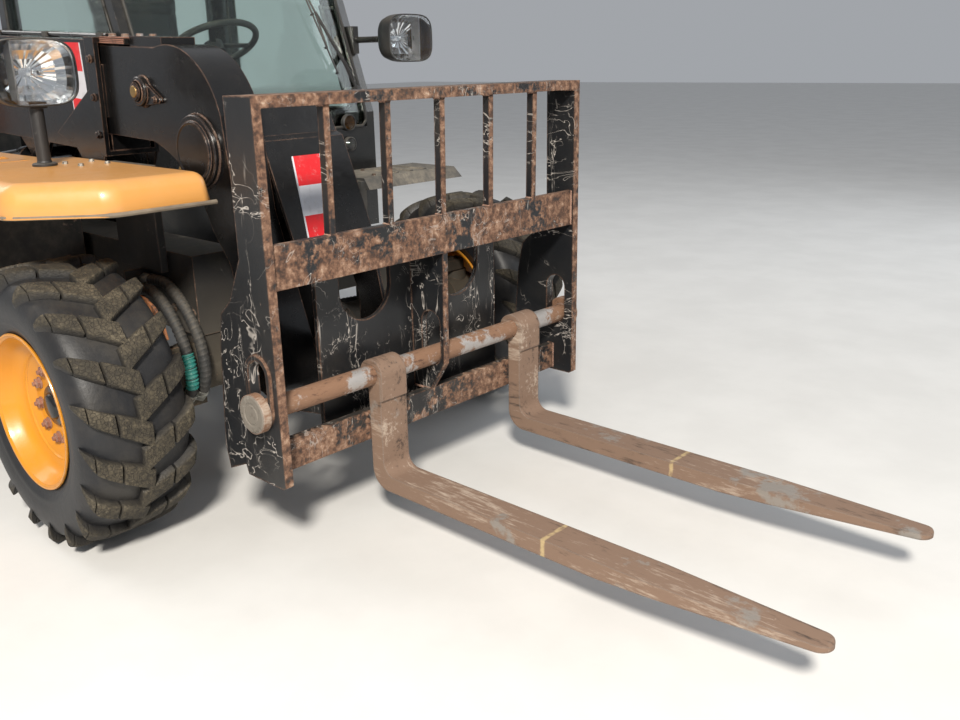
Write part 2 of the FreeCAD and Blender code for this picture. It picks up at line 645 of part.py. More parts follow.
def inner_boom():
    half = INNER_WIDTH / 2
    y0 = BOOM_Y - half
    y1 = BOOM_Y + half
    neck_start = CARRIAGE_X - 890.0 - BOOM_PIVOT_X
    tube = boom_box(INNER_TAIL, neck_start, y0, y1, INNER_BOTTOM, INNER_TOP)
    hollow = boom_box(INNER_TAIL - 5, neck_start - 30, y0 + INNER_WALL, y1 - INNER_WALL,
                      INNER_BOTTOM + INNER_WALL, INNER_TOP - INNER_WALL)
    outer_half = OUTER_WIDTH / 2 - OUTER_WALL - PAD_GAP
    roof = OUTER_HALF_DEPTH - OUTER_WALL - PAD_GAP
    rear_pads = (
        # y from, y to, up from, up to
        (-half, half, INNER_TOP, roof),
        (-half, half, -roof, INNER_BOTTOM),
        (-outer_half, -half, -60, 100),
        (half, outer_half, -60, 100),
    )
    tail = tube.cut(hollow)
    for y_low, y_high, up_low, up_high in rear_pads:
        pad = boom_box(INNER_TAIL + 20, INNER_TAIL + 20 + PAD_LENGTH, BOOM_Y + y_low, BOOM_Y + y_high, up_low, up_high)
        tail = tail.fuse(pad)
    tail = on_boom(tail)
    outline = swan_neck_outline()
    neck = side_plate(outline, y0, y1)
    void = side_face(outline, y0 + PLATE).makeOffset2D(-10.0)
    neck = neck.cut(void.extrude(Vector(0, INNER_WIDTH - 2 * PLATE, 0)))
    stop = on_boom(boom_box(OUTER_LENGTH + CARRIER_LENGTH + SWING, OUTER_LENGTH + STOP_END, y0 + 10, y1 - 10,
                            INNER_TOP - 2, INNER_TOP + STOP_HEIGHT))
    # Rocker shaft boss, tilt cylinder pin and its keeper plate on the outer side
    boss = along_y(100, ROCKER_X, ROCKER_Z, y0 - 16, y0)
    boss_step = along_y(84, ROCKER_X, ROCKER_Z, y0 - 24, y0)
    pin_x = CARRIAGE_X - 842.0
    pin_z = 1232.0
    pin_ring = along_y(40, pin_x, pin_z, y0 - 18, y1 + 10)
    pin_head = along_y(27, pin_x, pin_z, y0 - 30, y0)
    keeper = side_plate([
        (pin_x - 6, pin_z + 44), (pin_x + 104, pin_z - 20), (pin_x - 6, pin_z - 44),
    ], y0 - 10, y0 + 2)
    joined = fuse([tail, neck, stop, boss, boss_step, pin_ring, pin_head, keeper])
    # The shaft and pin run on from the neck into the wide box
    bore = along_y(HITCH_PIN_RADIUS, HITCH_X, HITCH_Z, y0 - 1, y1 + 1)
    return joined.cut(bore)


def head_box():
    """The wide box beside the swan neck: cover, top, two inner plates, rocker shaft, hitch pin."""
    right = BOOM_Y + INNER_WIDTH / 2
    cover = side_plate(ahead([
        (-600, 1185), (-520, 1185), (-478, 1104), (-450, 1093), (-330, 800), (-302, 745),
        (-312, 741), (-340, 797), (-459, 1086), (-485, 1096), (-526, 1175), (-600, 1175),
    ]), right, HEAD_BOX_Y)
    hitch = HITCH_X - CARRIAGE_X
    radius = HITCH_BOSS_RADIUS
    rib_outline = ahead([
        (-600, 1180),
        (-523, 1180),
        (-481, 1100),
        (-455, 1090),
        (-335, 799),
        (hitch + radius, HITCH_Z + 10),
        (hitch - radius, HITCH_Z + 10, "arc", hitch, HITCH_Z - radius),
        (-402, 600),
        (-480, 780),
        (-640, 960),
        (-655, 1080),
    ])
    slot = EAR + 2 * SWING
    plates = [
        side_plate(rib_outline, right + slot, right + slot + PLATE),
        side_plate(rib_outline, HEAD_BOX_Y - PLATE, HEAD_BOX_Y),
    ]
    shaft = along_y(ROCKER_SHAFT_RADIUS, ROCKER_X, ROCKER_Z, right, HEAD_BOX_Y + 20)
    cap = along_y(60, ROCKER_X, ROCKER_Z, HEAD_BOX_Y, HEAD_BOX_Y + 12)
    pin_left = HEAD_BOX_Y + SWING + EAR + 14
    pin_right = BOOM_Y - INNER_WIDTH / 2 - 16
    pin = along_y(HITCH_PIN_RADIUS, HITCH_X, HITCH_Z, pin_right, pin_left)
    head = along_y(HITCH_PIN_RADIUS + 14, HITCH_X, HITCH_Z, pin_right - 8, BOOM_Y - INNER_WIDTH / 2)
    return fuse([cover] + plates + [shaft, cap, pin, head])


def lift_direction():
    """Unit direction and length from the lift cylinder's base pin to the boom's lug."""
    eye_x, eye_z = boom_point(LIFT_EYE_ALONG, -LIFT_EYE_BELOW)
    run = Vector(eye_x - LIFT_BASE_X, 0, eye_z - LIFT_BASE_Z)
    length = run.Length
    return run.multiply(1 / length), length


def along_lift(radius, start, end):
    direction, length = lift_direction()
    base = Vector(LIFT_BASE_X, BOOM_Y, LIFT_BASE_Z) + direction * start
    return Part.makeCylinder(radius, end - start, base, direction)


def lift_barrel():
    half = LIFT_EYE_WIDTH / 2
    mouth_at = lift_direction()[1] - LIFT_ROD_SHOWING
    eye = along_y(LIFT_PIN_RADIUS + 26, LIFT_BASE_X, LIFT_BASE_Z, BOOM_Y - half, BOOM_Y + half)
    body = along_lift(LIFT_BARREL_RADIUS, 40, mouth_at)
    gland = along_lift(LIFT_BARREL_RADIUS + 6, mouth_at - 70, mouth_at)
    ports = [
        along_lift(LIFT_BARREL_RADIUS + 4, 80, 110),
    ]
    bore = along_lift(LIFT_BORE_RADIUS + RUNNING, 85, mouth_at - 60)
    mouth = along_lift(LIFT_ROD_RADIUS + RUNNING, mouth_at - 80, mouth_at + 5)
    pin_bore = along_y(LIFT_PIN_RADIUS + RUNNING, LIFT_BASE_X, LIFT_BASE_Z, BOOM_Y - half - 5, BOOM_Y + half + 5)
    return cut(fuse([eye, body, gland] + ports), [bore, mouth, pin_bore])


def lift_rod():
    direction, length = lift_direction()
    half = LIFT_EYE_WIDTH / 2
    eye_x, eye_z = boom_point(LIFT_EYE_ALONG, -LIFT_EYE_BELOW)
    rod = along_lift(LIFT_ROD_RADIUS, LIFT_ROD_TAIL, length - 20)
    piston = along_lift(LIFT_BORE_RADIUS, LIFT_ROD_TAIL, LIFT_ROD_TAIL + 60)
    eye = along_y(LIFT_PIN_RADIUS + 14, eye_x, eye_z, BOOM_Y - half, BOOM_Y + half)
    bore = along_y(LIFT_PIN_RADIUS, eye_x, eye_z, BOOM_Y - half - 1, BOOM_Y + half + 1)
    return fuse([rod, piston, eye]).cut(bore)


# Tilt rocker and link: a parallelogram with the carriage, behind the hitch pin.


def arm_end(x, z):
    turn = math.radians(ROCKER_ANGLE)
    return x + ROCKER_ARM * math.cos(turn), z + ROCKER_ARM * math.sin(turn)


def link_bar(x0, z0, x1, z1, half_width, y0, y1):
    """A flat bar with round ends between two centres in the X-Z plane."""
    run = Vector(x1 - x0, 0, z1 - z0)
    side = Vector(-run.z, 0, run.x).normalize() * half_width
    ends = run.normalize() * half_width
    a = Vector(x0, y0, z0)
    b = Vector(x1, y0, z1)
    edges = [
        Part.makeLine(a + side, b + side),
        Part.Arc(b + side, b + ends, b - side).toShape(),
        Part.makeLine(b - side, a - side),
        Part.Arc(a - side, a - ends, a + side).toShape(),
    ]
    return Part.Face(Part.Wire(edges)).extrude(Vector(0, y1 - y0, 0))


def rocker():
    end_x, end_z = arm_end(ROCKER_X, ROCKER_Z)
    pieces = []
    half = LINK_THICKNESS / 2 + SWING
    for sign in (-1, 1):
        y0 = LINK_Y + sign * half
        y1 = y0 + sign * 22
        low = min(y0, y1)
        arm = link_bar(ROCKER_X, ROCKER_Z, end_x, end_z, 34, low, low + 22)
        hub = along_y(62, ROCKER_X, ROCKER_Z, y0, y1)
        pieces.append(fuse([arm, hub]).cut(along_y(ROCKER_SHAFT_RADIUS + RUNNING, ROCKER_X, ROCKER_Z, y0 - sign, y1 + sign)))
    pin = along_y(LINK_PIN_RADIUS, end_x, end_z, LINK_Y - half - 30, LINK_Y + half + 30)
    return fuse(pieces + [pin])


def tilt_link():
    top_x, top_z = arm_end(ROCKER_X, ROCKER_Z)
    low_x, low_z = arm_end(HITCH_X, HITCH_Z)
    half = LINK_THICKNESS / 2
    bar = link_bar(top_x, top_z, low_x, low_z, LINK_HALF_WIDTH, LINK_Y - half, LINK_Y + half)
    eyes = [along_y(36, x, z, LINK_Y - half, LINK_Y + half) for x, z in ((top_x, top_z), (low_x, low_z))]
    bores = [along_y(LINK_PIN_RADIUS + RUNNING, x, z, LINK_Y - half - 1, LINK_Y + half + 1)
             for x, z in ((top_x, top_z), (low_x, low_z))]
    return cut(fuse([bar] + eyes), bores)


# Carriage


def carriage_side(y0, y1):
    plate = side_plate(ahead([
        (0, 267), (0, CARRIAGE_TOP_Z), (-TOP_RAIL_DEPTH, CARRIAGE_TOP_Z), (-112, 850),
        (-139, 800), (-171, 737), (-219, 696), (-238, 600), (-264, 319), (-250, 253),
        (-173, 287), (-164, 260), (-11, 260),
    ]), y0, y1)
    return plate


def shaft_slot(extra, y0, y1):
    """The upright slot that the fork shaft lies in, grown by extra all round."""
    radius = SHAFT_RADIUS + 9 + extra
    low = SHAFT_Z + 9 - SEAT
    return side_plate([
        (SHAFT_X - radius, low),
        (SHAFT_X - radius, SLOT_TOP_Z - 38),
        (SHAFT_X + radius, SLOT_TOP_Z - 38, "arc", SHAFT_X, SLOT_TOP_Z + extra),
        (SHAFT_X + radius, low),
        (SHAFT_X - radius, low, "arc", SHAFT_X, low - radius),
    ], y0, y1)


def hitch_ear(y0, y1):
    low_x, low_z = arm_end(HITCH_X, HITCH_Z)
    back = BACK_PANEL_FRONT - BACK_PANEL + 2
    ear = side_plate([
        (CARRIAGE_X + back, 640), (HITCH_X + 20, HITCH_Z + 68),
        (HITCH_X - 66, HITCH_Z + 20, "arc", HITCH_X - 45, HITCH_Z + 52),
        (low_x - 36, low_z + 18),
        (low_x + 20, low_z - 34, "arc", low_x - 24, low_z - 34),
        (CARRIAGE_X + back, 320),
    ], y0, y1)
    holes = [
        along_y(HITCH_PIN_RADIUS + RUNNING, HITCH_X, HITCH_Z, y0 - 1, y1 + 1),
    ]
    return cut(ear, holes)


def carriage():
    half = CARRIAGE_WIDTH / 2
    pieces = []
    for sign in (-1, 1):
        outer = sign * half
        inner = sign * (half - SIDE_PLATE)
        side = carriage_side(inner, outer)
        rim_out = outer + sign * SLOT_RIM_PROUD
        welded_rim = shaft_slot(SLOT_RIM, inner, rim_out)
        pieces.append(fuse([side, welded_rim]).cut(shaft_slot(0, inner - sign, rim_out + sign)))
    width = half - 1
    pieces.append(box(CARRIAGE_X, CARRIAGE_X - TOP_RAIL_DEPTH, -half, half,
                      CARRIAGE_TOP_Z - 2, CARRIAGE_TOP_Z + TOP_RAIL_HEIGHT - 2))
    mid_front = CARRIAGE_X + MID_BAR_FRONT
    pieces.append(box(mid_front - MID_BAR_DEPTH, mid_front, -width, width, MID_BAR_BOTTOM_Z, MID_BAR_TOP_Z))
    bottom_front = SHAFT_X - 8 - SEAT
    pieces.append(box(bottom_front - BOTTOM_BAR_DEPTH, bottom_front, -width, width,
                      BOTTOM_BAR_BOTTOM_Z, BOTTOM_BAR_TOP_Z))
    for y in GUARD_BARS:
        # Each bar leans from the top rail's front edge to the middle of the mid bar
        pieces.append(side_plate([
            (CARRIAGE_X - 6, CARRIAGE_TOP_Z),
            (mid_front - 2, MID_BAR_TOP_Z - 4),
            (mid_front - 2 - GUARD_BAR_DEPTH, MID_BAR_TOP_Z - 4),
            (CARRIAGE_X - 6 - GUARD_BAR_DEPTH, CARRIAGE_TOP_Z),
        ], y - GUARD_BAR_WIDTH / 2, y + GUARD_BAR_WIDTH / 2))
    back_front = CARRIAGE_X + BACK_PANEL_FRONT
    centre = side_plate([
        (mid_front - 2, MID_BAR_BOTTOM_Z + 6), (mid_front - 10, SHAFT_Z - 20),
        (bottom_front - 2, BOTTOM_BAR_TOP_Z - 6), (back_front - 2, BOTTOM_BAR_TOP_Z - 6),
        (back_front - 2, MID_BAR_BOTTOM_Z - 20), (mid_front - MID_BAR_DEPTH, MID_BAR_BOTTOM_Z + 6),
    ], -CENTRE_PLATE / 2, CENTRE_PLATE / 2)
    pieces.append(centre.cut(shaft_slot(0, -CENTRE_PLATE, CENTRE_PLATE)))
    # Back panels with U-shaped cut-outs, tied to the mid bar by a sloping shelf
    panel = front_plate([
        (-BACK_PANEL_Y, BOTTOM_BAR_BOTTOM_Z), (-BACK_PANEL_Y, 770), (BACK_PANEL_Y, 770),
        (BACK_PANEL_Y, BOTTOM_BAR_BOTTOM_Z),
    ], back_front - BACK_PANEL, back_front)
    for sign in (-1, 1):
        middle = sign * (BACK_PANEL_Y / 2 + 5)
        notch = front_plate([
            (middle - 95, 800), (middle - 95, 690), (middle + 95, 690, "arc", middle, 600),
            (middle + 95, 800),
        ], back_front - BACK_PANEL - 1, back_front + 1)
        panel = panel.cut(notch)
    pieces.append(panel)
    shelf = side_plate([
        (mid_front - MID_BAR_DEPTH + 2, 800), (mid_front - MID_BAR_DEPTH + 2, 788),
        (back_front, 742), (back_front, 756),
    ], -BACK_PANEL_Y, BACK_PANEL_Y)
    for sign in (-1, 1):
        middle = sign * (BACK_PANEL_Y / 2 + 5)
        shelf = shelf.cut(box(back_front - 10, back_front + 60, middle - 95, middle + 95, 730, 800))
    pieces.append(shelf)
    lower_shelf = box(back_front - BACK_PANEL, bottom_front - 2, -BACK_PANEL_Y, BACK_PANEL_Y,
                      BOTTOM_BAR_BOTTOM_Z, BOTTOM_BAR_BOTTOM_Z + 14)
    pieces.append(lower_shelf)
    right = BOOM_Y + INNER_WIDTH / 2 + SWING
    left = HEAD_BOX_Y + SWING
    pieces.append(hitch_ear(right, right + EAR))
    pieces.append(hitch_ear(left, left + EAR))
    low_x, low_z = arm_end(HITCH_X, HITCH_Z)
    pieces.append(along_y(LINK_PIN_RADIUS, low_x, low_z, right - 4, left + EAR + 10))
    return fuse(pieces)


def fork_shaft():
    """The round bar that the forks hang on, with a collar at each end."""
    collar_from = CARRIAGE_WIDTH / 2 + SLOT_RIM_PROUD + SEAT
    reach = collar_from + COLLAR_WIDTH
    pieces = [along_y(SHAFT_RADIUS, SHAFT_X, SHAFT_Z, -reach, reach)]
    for sign in (-1, 1):
        start = sign * collar_from
        pieces.append(along_y(COLLAR_RADIUS, SHAFT_X, SHAFT_Z, start, start + sign * COLLAR_WIDTH))
    return fuse(pieces)


def fork(y):
    half = FORK_WIDTH / 2
    back = SHAFT_X - 8
    front = back + FORK_THICKNESS
    low = FORK_TOP_Z - FORK_THICKNESS
    tip = front + FORK_LENGTH
    profile = side_plate([
        (back, SHAFT_Z),
        (front, SHAFT_Z),
        (front, FORK_TOP_Z + 40),
        (front + 40, FORK_TOP_Z, "arc", front + 12, FORK_TOP_Z + 12),
        (tip - 10, FORK_TOP_Z),
        (tip, FORK_TOP_Z - 4),
        (tip, FORK_TOP_Z - FORK_TIP_THICKNESS),
        (tip - 560, low),
        (back + 60, low),
        (back, low + 60, "arc", back + 18, low + 18),
    ], y - half, y + half)
    # The blade narrows to a blunt tip in plan
    plan = plan_plate([
        (back - 60, y - half), (tip - 420, y - half), (tip - 30, y - half * 0.62),
        (tip - 30, y + half * 0.62, "arc", tip, y), (tip - 420, y + half), (back - 60, y + half),
    ], low - 10, SHAFT_Z + 80)
    shank = profile.common(plan)
    eye = along_y(FORK_EYE_RADIUS, SHAFT_X, SHAFT_Z, y - half + 4, y + half - 4)
    shoulder = side_plate([
        (back, SHAFT_Z - 90), (front + 6, SHAFT_Z - 70), (front + 6, SHAFT_Z + 10),
        (back, SHAFT_Z + 30),
    ], y - half + 2, y + half - 2)
    bore = along_y(SHAFT_RADIUS + RUNNING, SHAFT_X, SHAFT_Z, y - half - 5, y + half + 5)
    return fuse([shank, eye, shoulder]).cut(bore)


# Cab


def screen_x(z):
    """X of the cab's front face at a height: upright below the waist, leaning back above it."""
    if z <= CAB_WAIST_Z:
        return CAB_FRONT_X
    lean = (CAB_HEAD_X - CAB_FRONT_X) / (CAB_HEAD_Z - CAB_WAIST_Z)
    return CAB_FRONT_X + lean * (z - CAB_WAIST_Z)


def side_window(border, low, back):
    """A side window or door opening: border behind the leaning front face, above low."""
    top = CAB_HEAD_Z - border
    return [
        (screen_x(low) - border - 12, low),
        (screen_x(CAB_WAIST_Z) - border - 12, max(low, CAB_WAIST_Z)),
        (screen_x(top) - border - 12, top),
        (back, top),
        (back, low),
    ]


def closed_window(border, low, back):
    corners = side_window(border, low, back)
    if low >= CAB_WAIST_Z:
        corners.pop(1)
    return corners


DOOR_BACK_X = CAB_REAR_X + 80.0
SIDE_SILL_Z = CAB_WAIST_Z + 20.0


def cab_shell():
    side = [
        (CAB_FRONT_X, CAB_FLOOR_Z), (CAB_FRONT_X, CAB_WAIST_Z), (CAB_HEAD_X, CAB_HEAD_Z),
        (CAB_REAR_X, CAB_HEAD_Z), (CAB_REAR_X, CAB_FLOOR_Z),
    ]
    right = side_plate(side, CAB_RIGHT_Y, CAB_RIGHT_Y + CAB_WALL)
    right = right.cut(side_plate(closed_window(WINDOW_BORDER, SIDE_SILL_Z, CAB_REAR_X + 70),
                                 CAB_RIGHT_Y - 1, CAB_RIGHT_Y + CAB_WALL + 1))
    left = side_plate(side, CAB_LEFT_Y - CAB_WALL, CAB_LEFT_Y)
    left = left.cut(side_plate(side_window(WINDOW_BORDER, DOOR_SILL_Z, DOOR_BACK_X),
                               CAB_LEFT_Y - CAB_WALL - 1, CAB_LEFT_Y + 1))
    front = side_plate([
        (CAB_FRONT_X, CAB_FLOOR_Z), (CAB_FRONT_X, CAB_WAIST_Z), (CAB_HEAD_X, CAB_HEAD_Z),
        (CAB_HEAD_X - CAB_WALL, CAB_HEAD_Z), (CAB_FRONT_X - CAB_WALL, CAB_WAIST_Z),
        (CAB_FRONT_X - CAB_WALL, CAB_FLOOR_Z),
    ], CAB_RIGHT_Y, CAB_LEFT_Y)
    front = front.cut(box(CAB_HEAD_X - 200, CAB_FRONT_X + 10, CAB_RIGHT_Y + CAB_WALL, CAB_LEFT_Y - CAB_WALL,
                          CAB_WAIST_Z - 60, CAB_HEAD_Z - WINDOW_BORDER))
    rear = box(CAB_REAR_X, CAB_REAR_X + CAB_WALL, CAB_RIGHT_Y, CAB_LEFT_Y, CAB_FLOOR_Z, CAB_HEAD_Z)
    rear = rear.cut(box(CAB_REAR_X - 1, CAB_REAR_X + CAB_WALL + 1, CAB_RIGHT_Y + 70, CAB_LEFT_Y - 70,
                        SIDE_SILL_Z + 60, CAB_HEAD_Z - WINDOW_BORDER))
    floor = box(CAB_REAR_X, CAB_FRONT_X, CAB_RIGHT_Y, CAB_LEFT_Y, CAB_FLOOR_Z, CAB_FLOOR_Z + 30)
    over = ROOF_OVERHANG
    roof_low = plan_plate([
        (CAB_REAR_X - over, CAB_RIGHT_Y - over / 2), (CAB_HEAD_X + 2 * over, CAB_RIGHT_Y - over / 2),
        (CAB_HEAD_X + 2 * over, CAB_LEFT_Y + over), (CAB_REAR_X - over, CAB_LEFT_Y + over),
    ], CAB_HEAD_Z, CAB_TOP_Z - 25)
    roof_high = plan_plate([
        (CAB_REAR_X + 30, CAB_RIGHT_Y + 40), (CAB_HEAD_X - 30, CAB_RIGHT_Y + 40),
        (CAB_HEAD_X - 30, CAB_LEFT_Y - 40), (CAB_REAR_X + 30, CAB_LEFT_Y - 40),
    ], CAB_TOP_Z - 26, CAB_TOP_Z)
    pieces = [right, left, front, rear, floor, roof_low, roof_high]
    hinge_x = DOOR_BACK_X
    hinge_y = CAB_LEFT_Y + DOOR_HINGE_RADIUS + 3
    for z in DOOR_HINGES_Z:
        pieces.append(along_z(DOOR_HINGE_RADIUS, hinge_x, hinge_y, z, z + DOOR_HINGE_HEIGHT / 2))
        pieces.append(box(hinge_x - 30, hinge_x, CAB_LEFT_Y, CAB_LEFT_Y + 8, z, z + DOOR_HINGE_HEIGHT / 2))
    # Mounting feet on the left rail
    for x in (CAB_FRONT_X - 140, CAB_REAR_X + 60):
        pieces.append(box(x, x + 80, RAIL_INNER_Y + 20, RAIL_OUTER_Y - 20, LEFT_RAIL_TOP_Z, CAB_FLOOR_Z + 5))
    return fuse(pieces)


def cab_glass():
    inset = (CAB_WALL - GLASS) / 2
    low = CAB_WAIST_Z - 60
    top = CAB_HEAD_Z - WINDOW_BORDER
    screen = side_plate([
        (screen_x(low) - inset, low), (CAB_FRONT_X - inset, CAB_WAIST_Z), (screen_x(top) - inset, top),
        (screen_x(top) - inset - GLASS, top), (CAB_FRONT_X - inset - GLASS, CAB_WAIST_Z),
        (screen_x(low) - inset - GLASS, low),
    ], CAB_RIGHT_Y + CAB_WALL, CAB_LEFT_Y - CAB_WALL)
    right = side_plate(closed_window(WINDOW_BORDER, SIDE_SILL_Z, CAB_REAR_X + 70),
                       CAB_RIGHT_Y + inset, CAB_RIGHT_Y + inset + GLASS)
    rear = box(CAB_REAR_X + inset, CAB_REAR_X + inset + GLASS, CAB_RIGHT_Y + 70, CAB_LEFT_Y - 70,
               SIDE_SILL_Z + 60, top)
    return [screen, right, rear]


def door_outline(inset):
    corners = side_window(WINDOW_BORDER + inset, DOOR_SILL_Z + inset, DOOR_BACK_X + inset)
    return corners


def cab_door():
    frame = side_plate(door_outline(DOOR_GAP), CAB_LEFT_Y - CAB_WALL, CAB_LEFT_Y)
    window = side_plate(door_window(), CAB_LEFT_Y - CAB_WALL - 1, CAB_LEFT_Y + 1)
    pieces = [frame.cut(window)]
    hinge_x = DOOR_BACK_X
    hinge_y = CAB_LEFT_Y + DOOR_HINGE_RADIUS + 3
    for z in DOOR_HINGES_Z:
        low = z + DOOR_HINGE_HEIGHT / 2 + SEAT
        high = z + DOOR_HINGE_HEIGHT
        pieces.append(along_z(DOOR_HINGE_RADIUS, hinge_x, hinge_y, low, high))
        pieces.append(box(hinge_x, hinge_x + 40, CAB_LEFT_Y - 2, CAB_LEFT_Y + 8, low, high))
    handle_x = screen_x(CAB_WAIST_Z) - WINDOW_BORDER - 110
    pieces.append(box(handle_x - 120, handle_x, CAB_LEFT_Y, CAB_LEFT_Y + 14, 1010, 1045))
    return fuse(pieces)


def door_window():
    return closed_window(WINDOW_BORDER + DOOR_GAP + 40, CAB_WAIST_Z + 10, DOOR_BACK_X + DOOR_GAP + 45)


def door_glass():
    inset = (CAB_WALL - GLASS) / 2
    return side_plate(door_window(), CAB_LEFT_Y - CAB_WALL + inset, CAB_LEFT_Y - CAB_WALL + inset + GLASS)


SEAT_Y = 340.0
SEAT_X = -820.0
FLOOR_TOP = CAB_FLOOR_Z + 30.0
CUSHION_BACK = 88.0  # thickness under the backrest


def seat_base():
    box_base = box(SEAT_X - 190, SEAT_X + 190, SEAT_Y - 200, SEAT_Y + 200, FLOOR_TOP, FLOOR_TOP + 330)
    slides = [box(SEAT_X - 220, SEAT_X + 220, SEAT_Y + side - 20, SEAT_Y + side + 20,
                  FLOOR_TOP + 330, FLOOR_TOP + 365) for side in (-170, 170)]
    return fuse([box_base] + slides)


def seat_cushion():
    low = FLOOR_TOP + 365
    return side_plate([
        (SEAT_X - 230, low), (SEAT_X + 250, low), (SEAT_X + 250, low + CUSHION_BACK + 15),
        (SEAT_X - 130, low + CUSHION_BACK), (SEAT_X - 230, low + CUSHION_BACK),
    ], SEAT_Y - 240, SEAT_Y + 240)


def seat_backrest():
    low = FLOOR_TOP + 365 + CUSHION_BACK + SEAT
    return side_plate([
        (SEAT_X - 250, low), (SEAT_X - 130, low), (SEAT_X - 190, low + 520), (SEAT_X - 270, low + 520),
    ], SEAT_Y - 225, SEAT_Y + 225)


def dashboard():
    front = CAB_FRONT_X - CAB_WALL
    desk = side_plate([
        (front, FLOOR_TOP), (front, 1130), (front - 60, 1180), (front - 210, 1120), (front - 120, FLOOR_TOP),
    ], 60, 640)
    return desk


STEERING_X = -448.0
STEERING_Z = 1375.0


def steering_wheel():
    tilt = Vector(math.sin(math.radians(-28)), 0, math.cos(math.radians(-28)))
    centre = Vector(STEERING_X, SEAT_Y, STEERING_Z)
    ring = Part.makeTorus(178, 13, centre, tilt)
    hub = Part.makeCylinder(38, 40, centre - tilt * 30, tilt)
    column = Part.makeCylinder(24, 330, centre - tilt * 30, tilt * -1)
    spokes = []
    for turn in (90, 210, 330):
        spoke = box(0, 180, -11, 11, -4, 4)
        spoke.rotate(Vector(0, 0, 0), Vector(0, 0, 1), turn)
        spoke.rotate(Vector(0, 0, 0), Vector(0, 1, 0), -28)
        spoke.translate(centre)
        spokes.append(spoke)
    whole = fuse([ring, hub, column] + spokes)
    return whole.cut(dashboard())


# Fenders, lamps, pod and what else hangs on the body


def fender_shell(bottom, top, wall, low, high):
    """A pressed cover: a loft from the bottom outline to the top one, hollow from below."""
    def loft(grow, z0, z1):
        wires = []
        for outline, z in ((bottom, z0), (top, z1)):
            centre_x = sum(p[0] for p in outline) / len(outline)
            centre_y = sum(p[1] for p in outline) / len(outline)
            points = []
            for x, y in outline:
                dx = math.copysign(grow, x - centre_x)
                dy = math.copysign(grow, y - centre_y)
                points.append(Vector(x - dx, y - dy, z))
            wires.append(Part.makePolygon(points + [points[0]]))
        return Part.makeLoft(wires, True, True)

    return loft(0, low, high).cut(loft(wall, low - wall, high - wall))


LAMP_HALF_WIDTH = 120.0
LAMP_HALF_HEIGHT = 92.0
LAMP_STAND_OFF = 5.0  # middle of the left lamp beyond the cab's side
FRONT_FENDER_LOW = 950.0
FRONT_FENDER_TOP = 1035.0


def front_right_fender():
    x_front = FRONT_AXLE_X + 325
    x_back = FRONT_AXLE_X - 470
    out = -BODY_HALF_WIDTH
    bottom = [(x_front, -500), (x_front, -790), (x_front - 183, out), (x_back, out), (x_back, -500)]
    top = [(x_front - 30, -500), (x_front - 42, -770), (x_front - 195, out + 28), (x_back, out + 28), (x_back, -500)]
    shell = fender_shell(bottom, top, 8.0, FRONT_FENDER_LOW, FRONT_FENDER_TOP)
    bracket = box(FRONT_AXLE_X - 310, FRONT_AXLE_X - 60, -RAIL_OUTER_Y, -RAIL_OUTER_Y - 26,
                  RAIL_TOP_Z - 66, FRONT_FENDER_TOP - 10)
    tie = box(FRONT_AXLE_X - 310, FRONT_AXLE_X - 60, -512, -474, FRONT_FENDER_LOW + 20, FRONT_FENDER_LOW + 30)
    return fuse([shell, bracket, tie])


def low_fender(x0, x1, root_y, root_top, bracket_x):
    """A flat guard close over a tyre, on a plate round bracket_x against the face at root_y."""
    sign = math.copysign(1, root_y)
    top = TYRE_RADIUS + AXLE_Z + 75
    low = top - 42
    out = sign * (WHEEL_Y + TYRE_WIDTH / 2 + 12)
    inner = root_y + sign * 20
    bottom = [(x1, inner), (x1, out), (x0, out), (x0, inner)]
    upper = [(x1 - 30, inner), (x1 - 30, out - sign * 16), (x0 + 30, out - sign * 16), (x0 + 30, inner)]
    shell = fender_shell(bottom, upper, 8.0, low, top)
    bracket = box(bracket_x - 130, bracket_x + 130, root_y, root_y + sign * 26, root_top - 60, top - 10)
    return fuse([shell, bracket])


def headlamp_right():
    x = FRONT_AXLE_X - 235
    y = -700.0
    lamp_z = 1292.0
    foot = along_z(34, x, y, FRONT_FENDER_TOP, FRONT_FENDER_TOP + 8)
    post = along_z(19, x, y, FRONT_FENDER_TOP, lamp_z - 80)
    return fuse([foot, post, lamp_body(x, y, lamp_z)])


def lamp_body(x, y, z):
    """A lamp with its lens towards +X: an oval face on a tapered back."""
    half_w = LAMP_HALF_WIDTH
    half_h = LAMP_HALF_HEIGHT
    sections = (
        # offset behind the lens, share of the width and height
        (0.0, 1.0),
        (-30.0, 1.0),
        (-110.0, 0.62),
    )
    wires = []
    for offset, share in sections:
        w = half_w * share
        h = half_h * share
        c = 0.42
        points = [
            (-w, -h * c), (-w * 0.62, -h), (w * 0.62, -h), (w, -h * c),
            (w, h * c), (w * 0.62, h), (-w * 0.62, h), (-w, h * c),
        ]
        ring = [Vector(x + 40 + offset, y + a, z + b) for a, b in points]
        wires.append(Part.makePolygon(ring + [ring[0]]))
    return Part.makeLoft(wires, True, True)


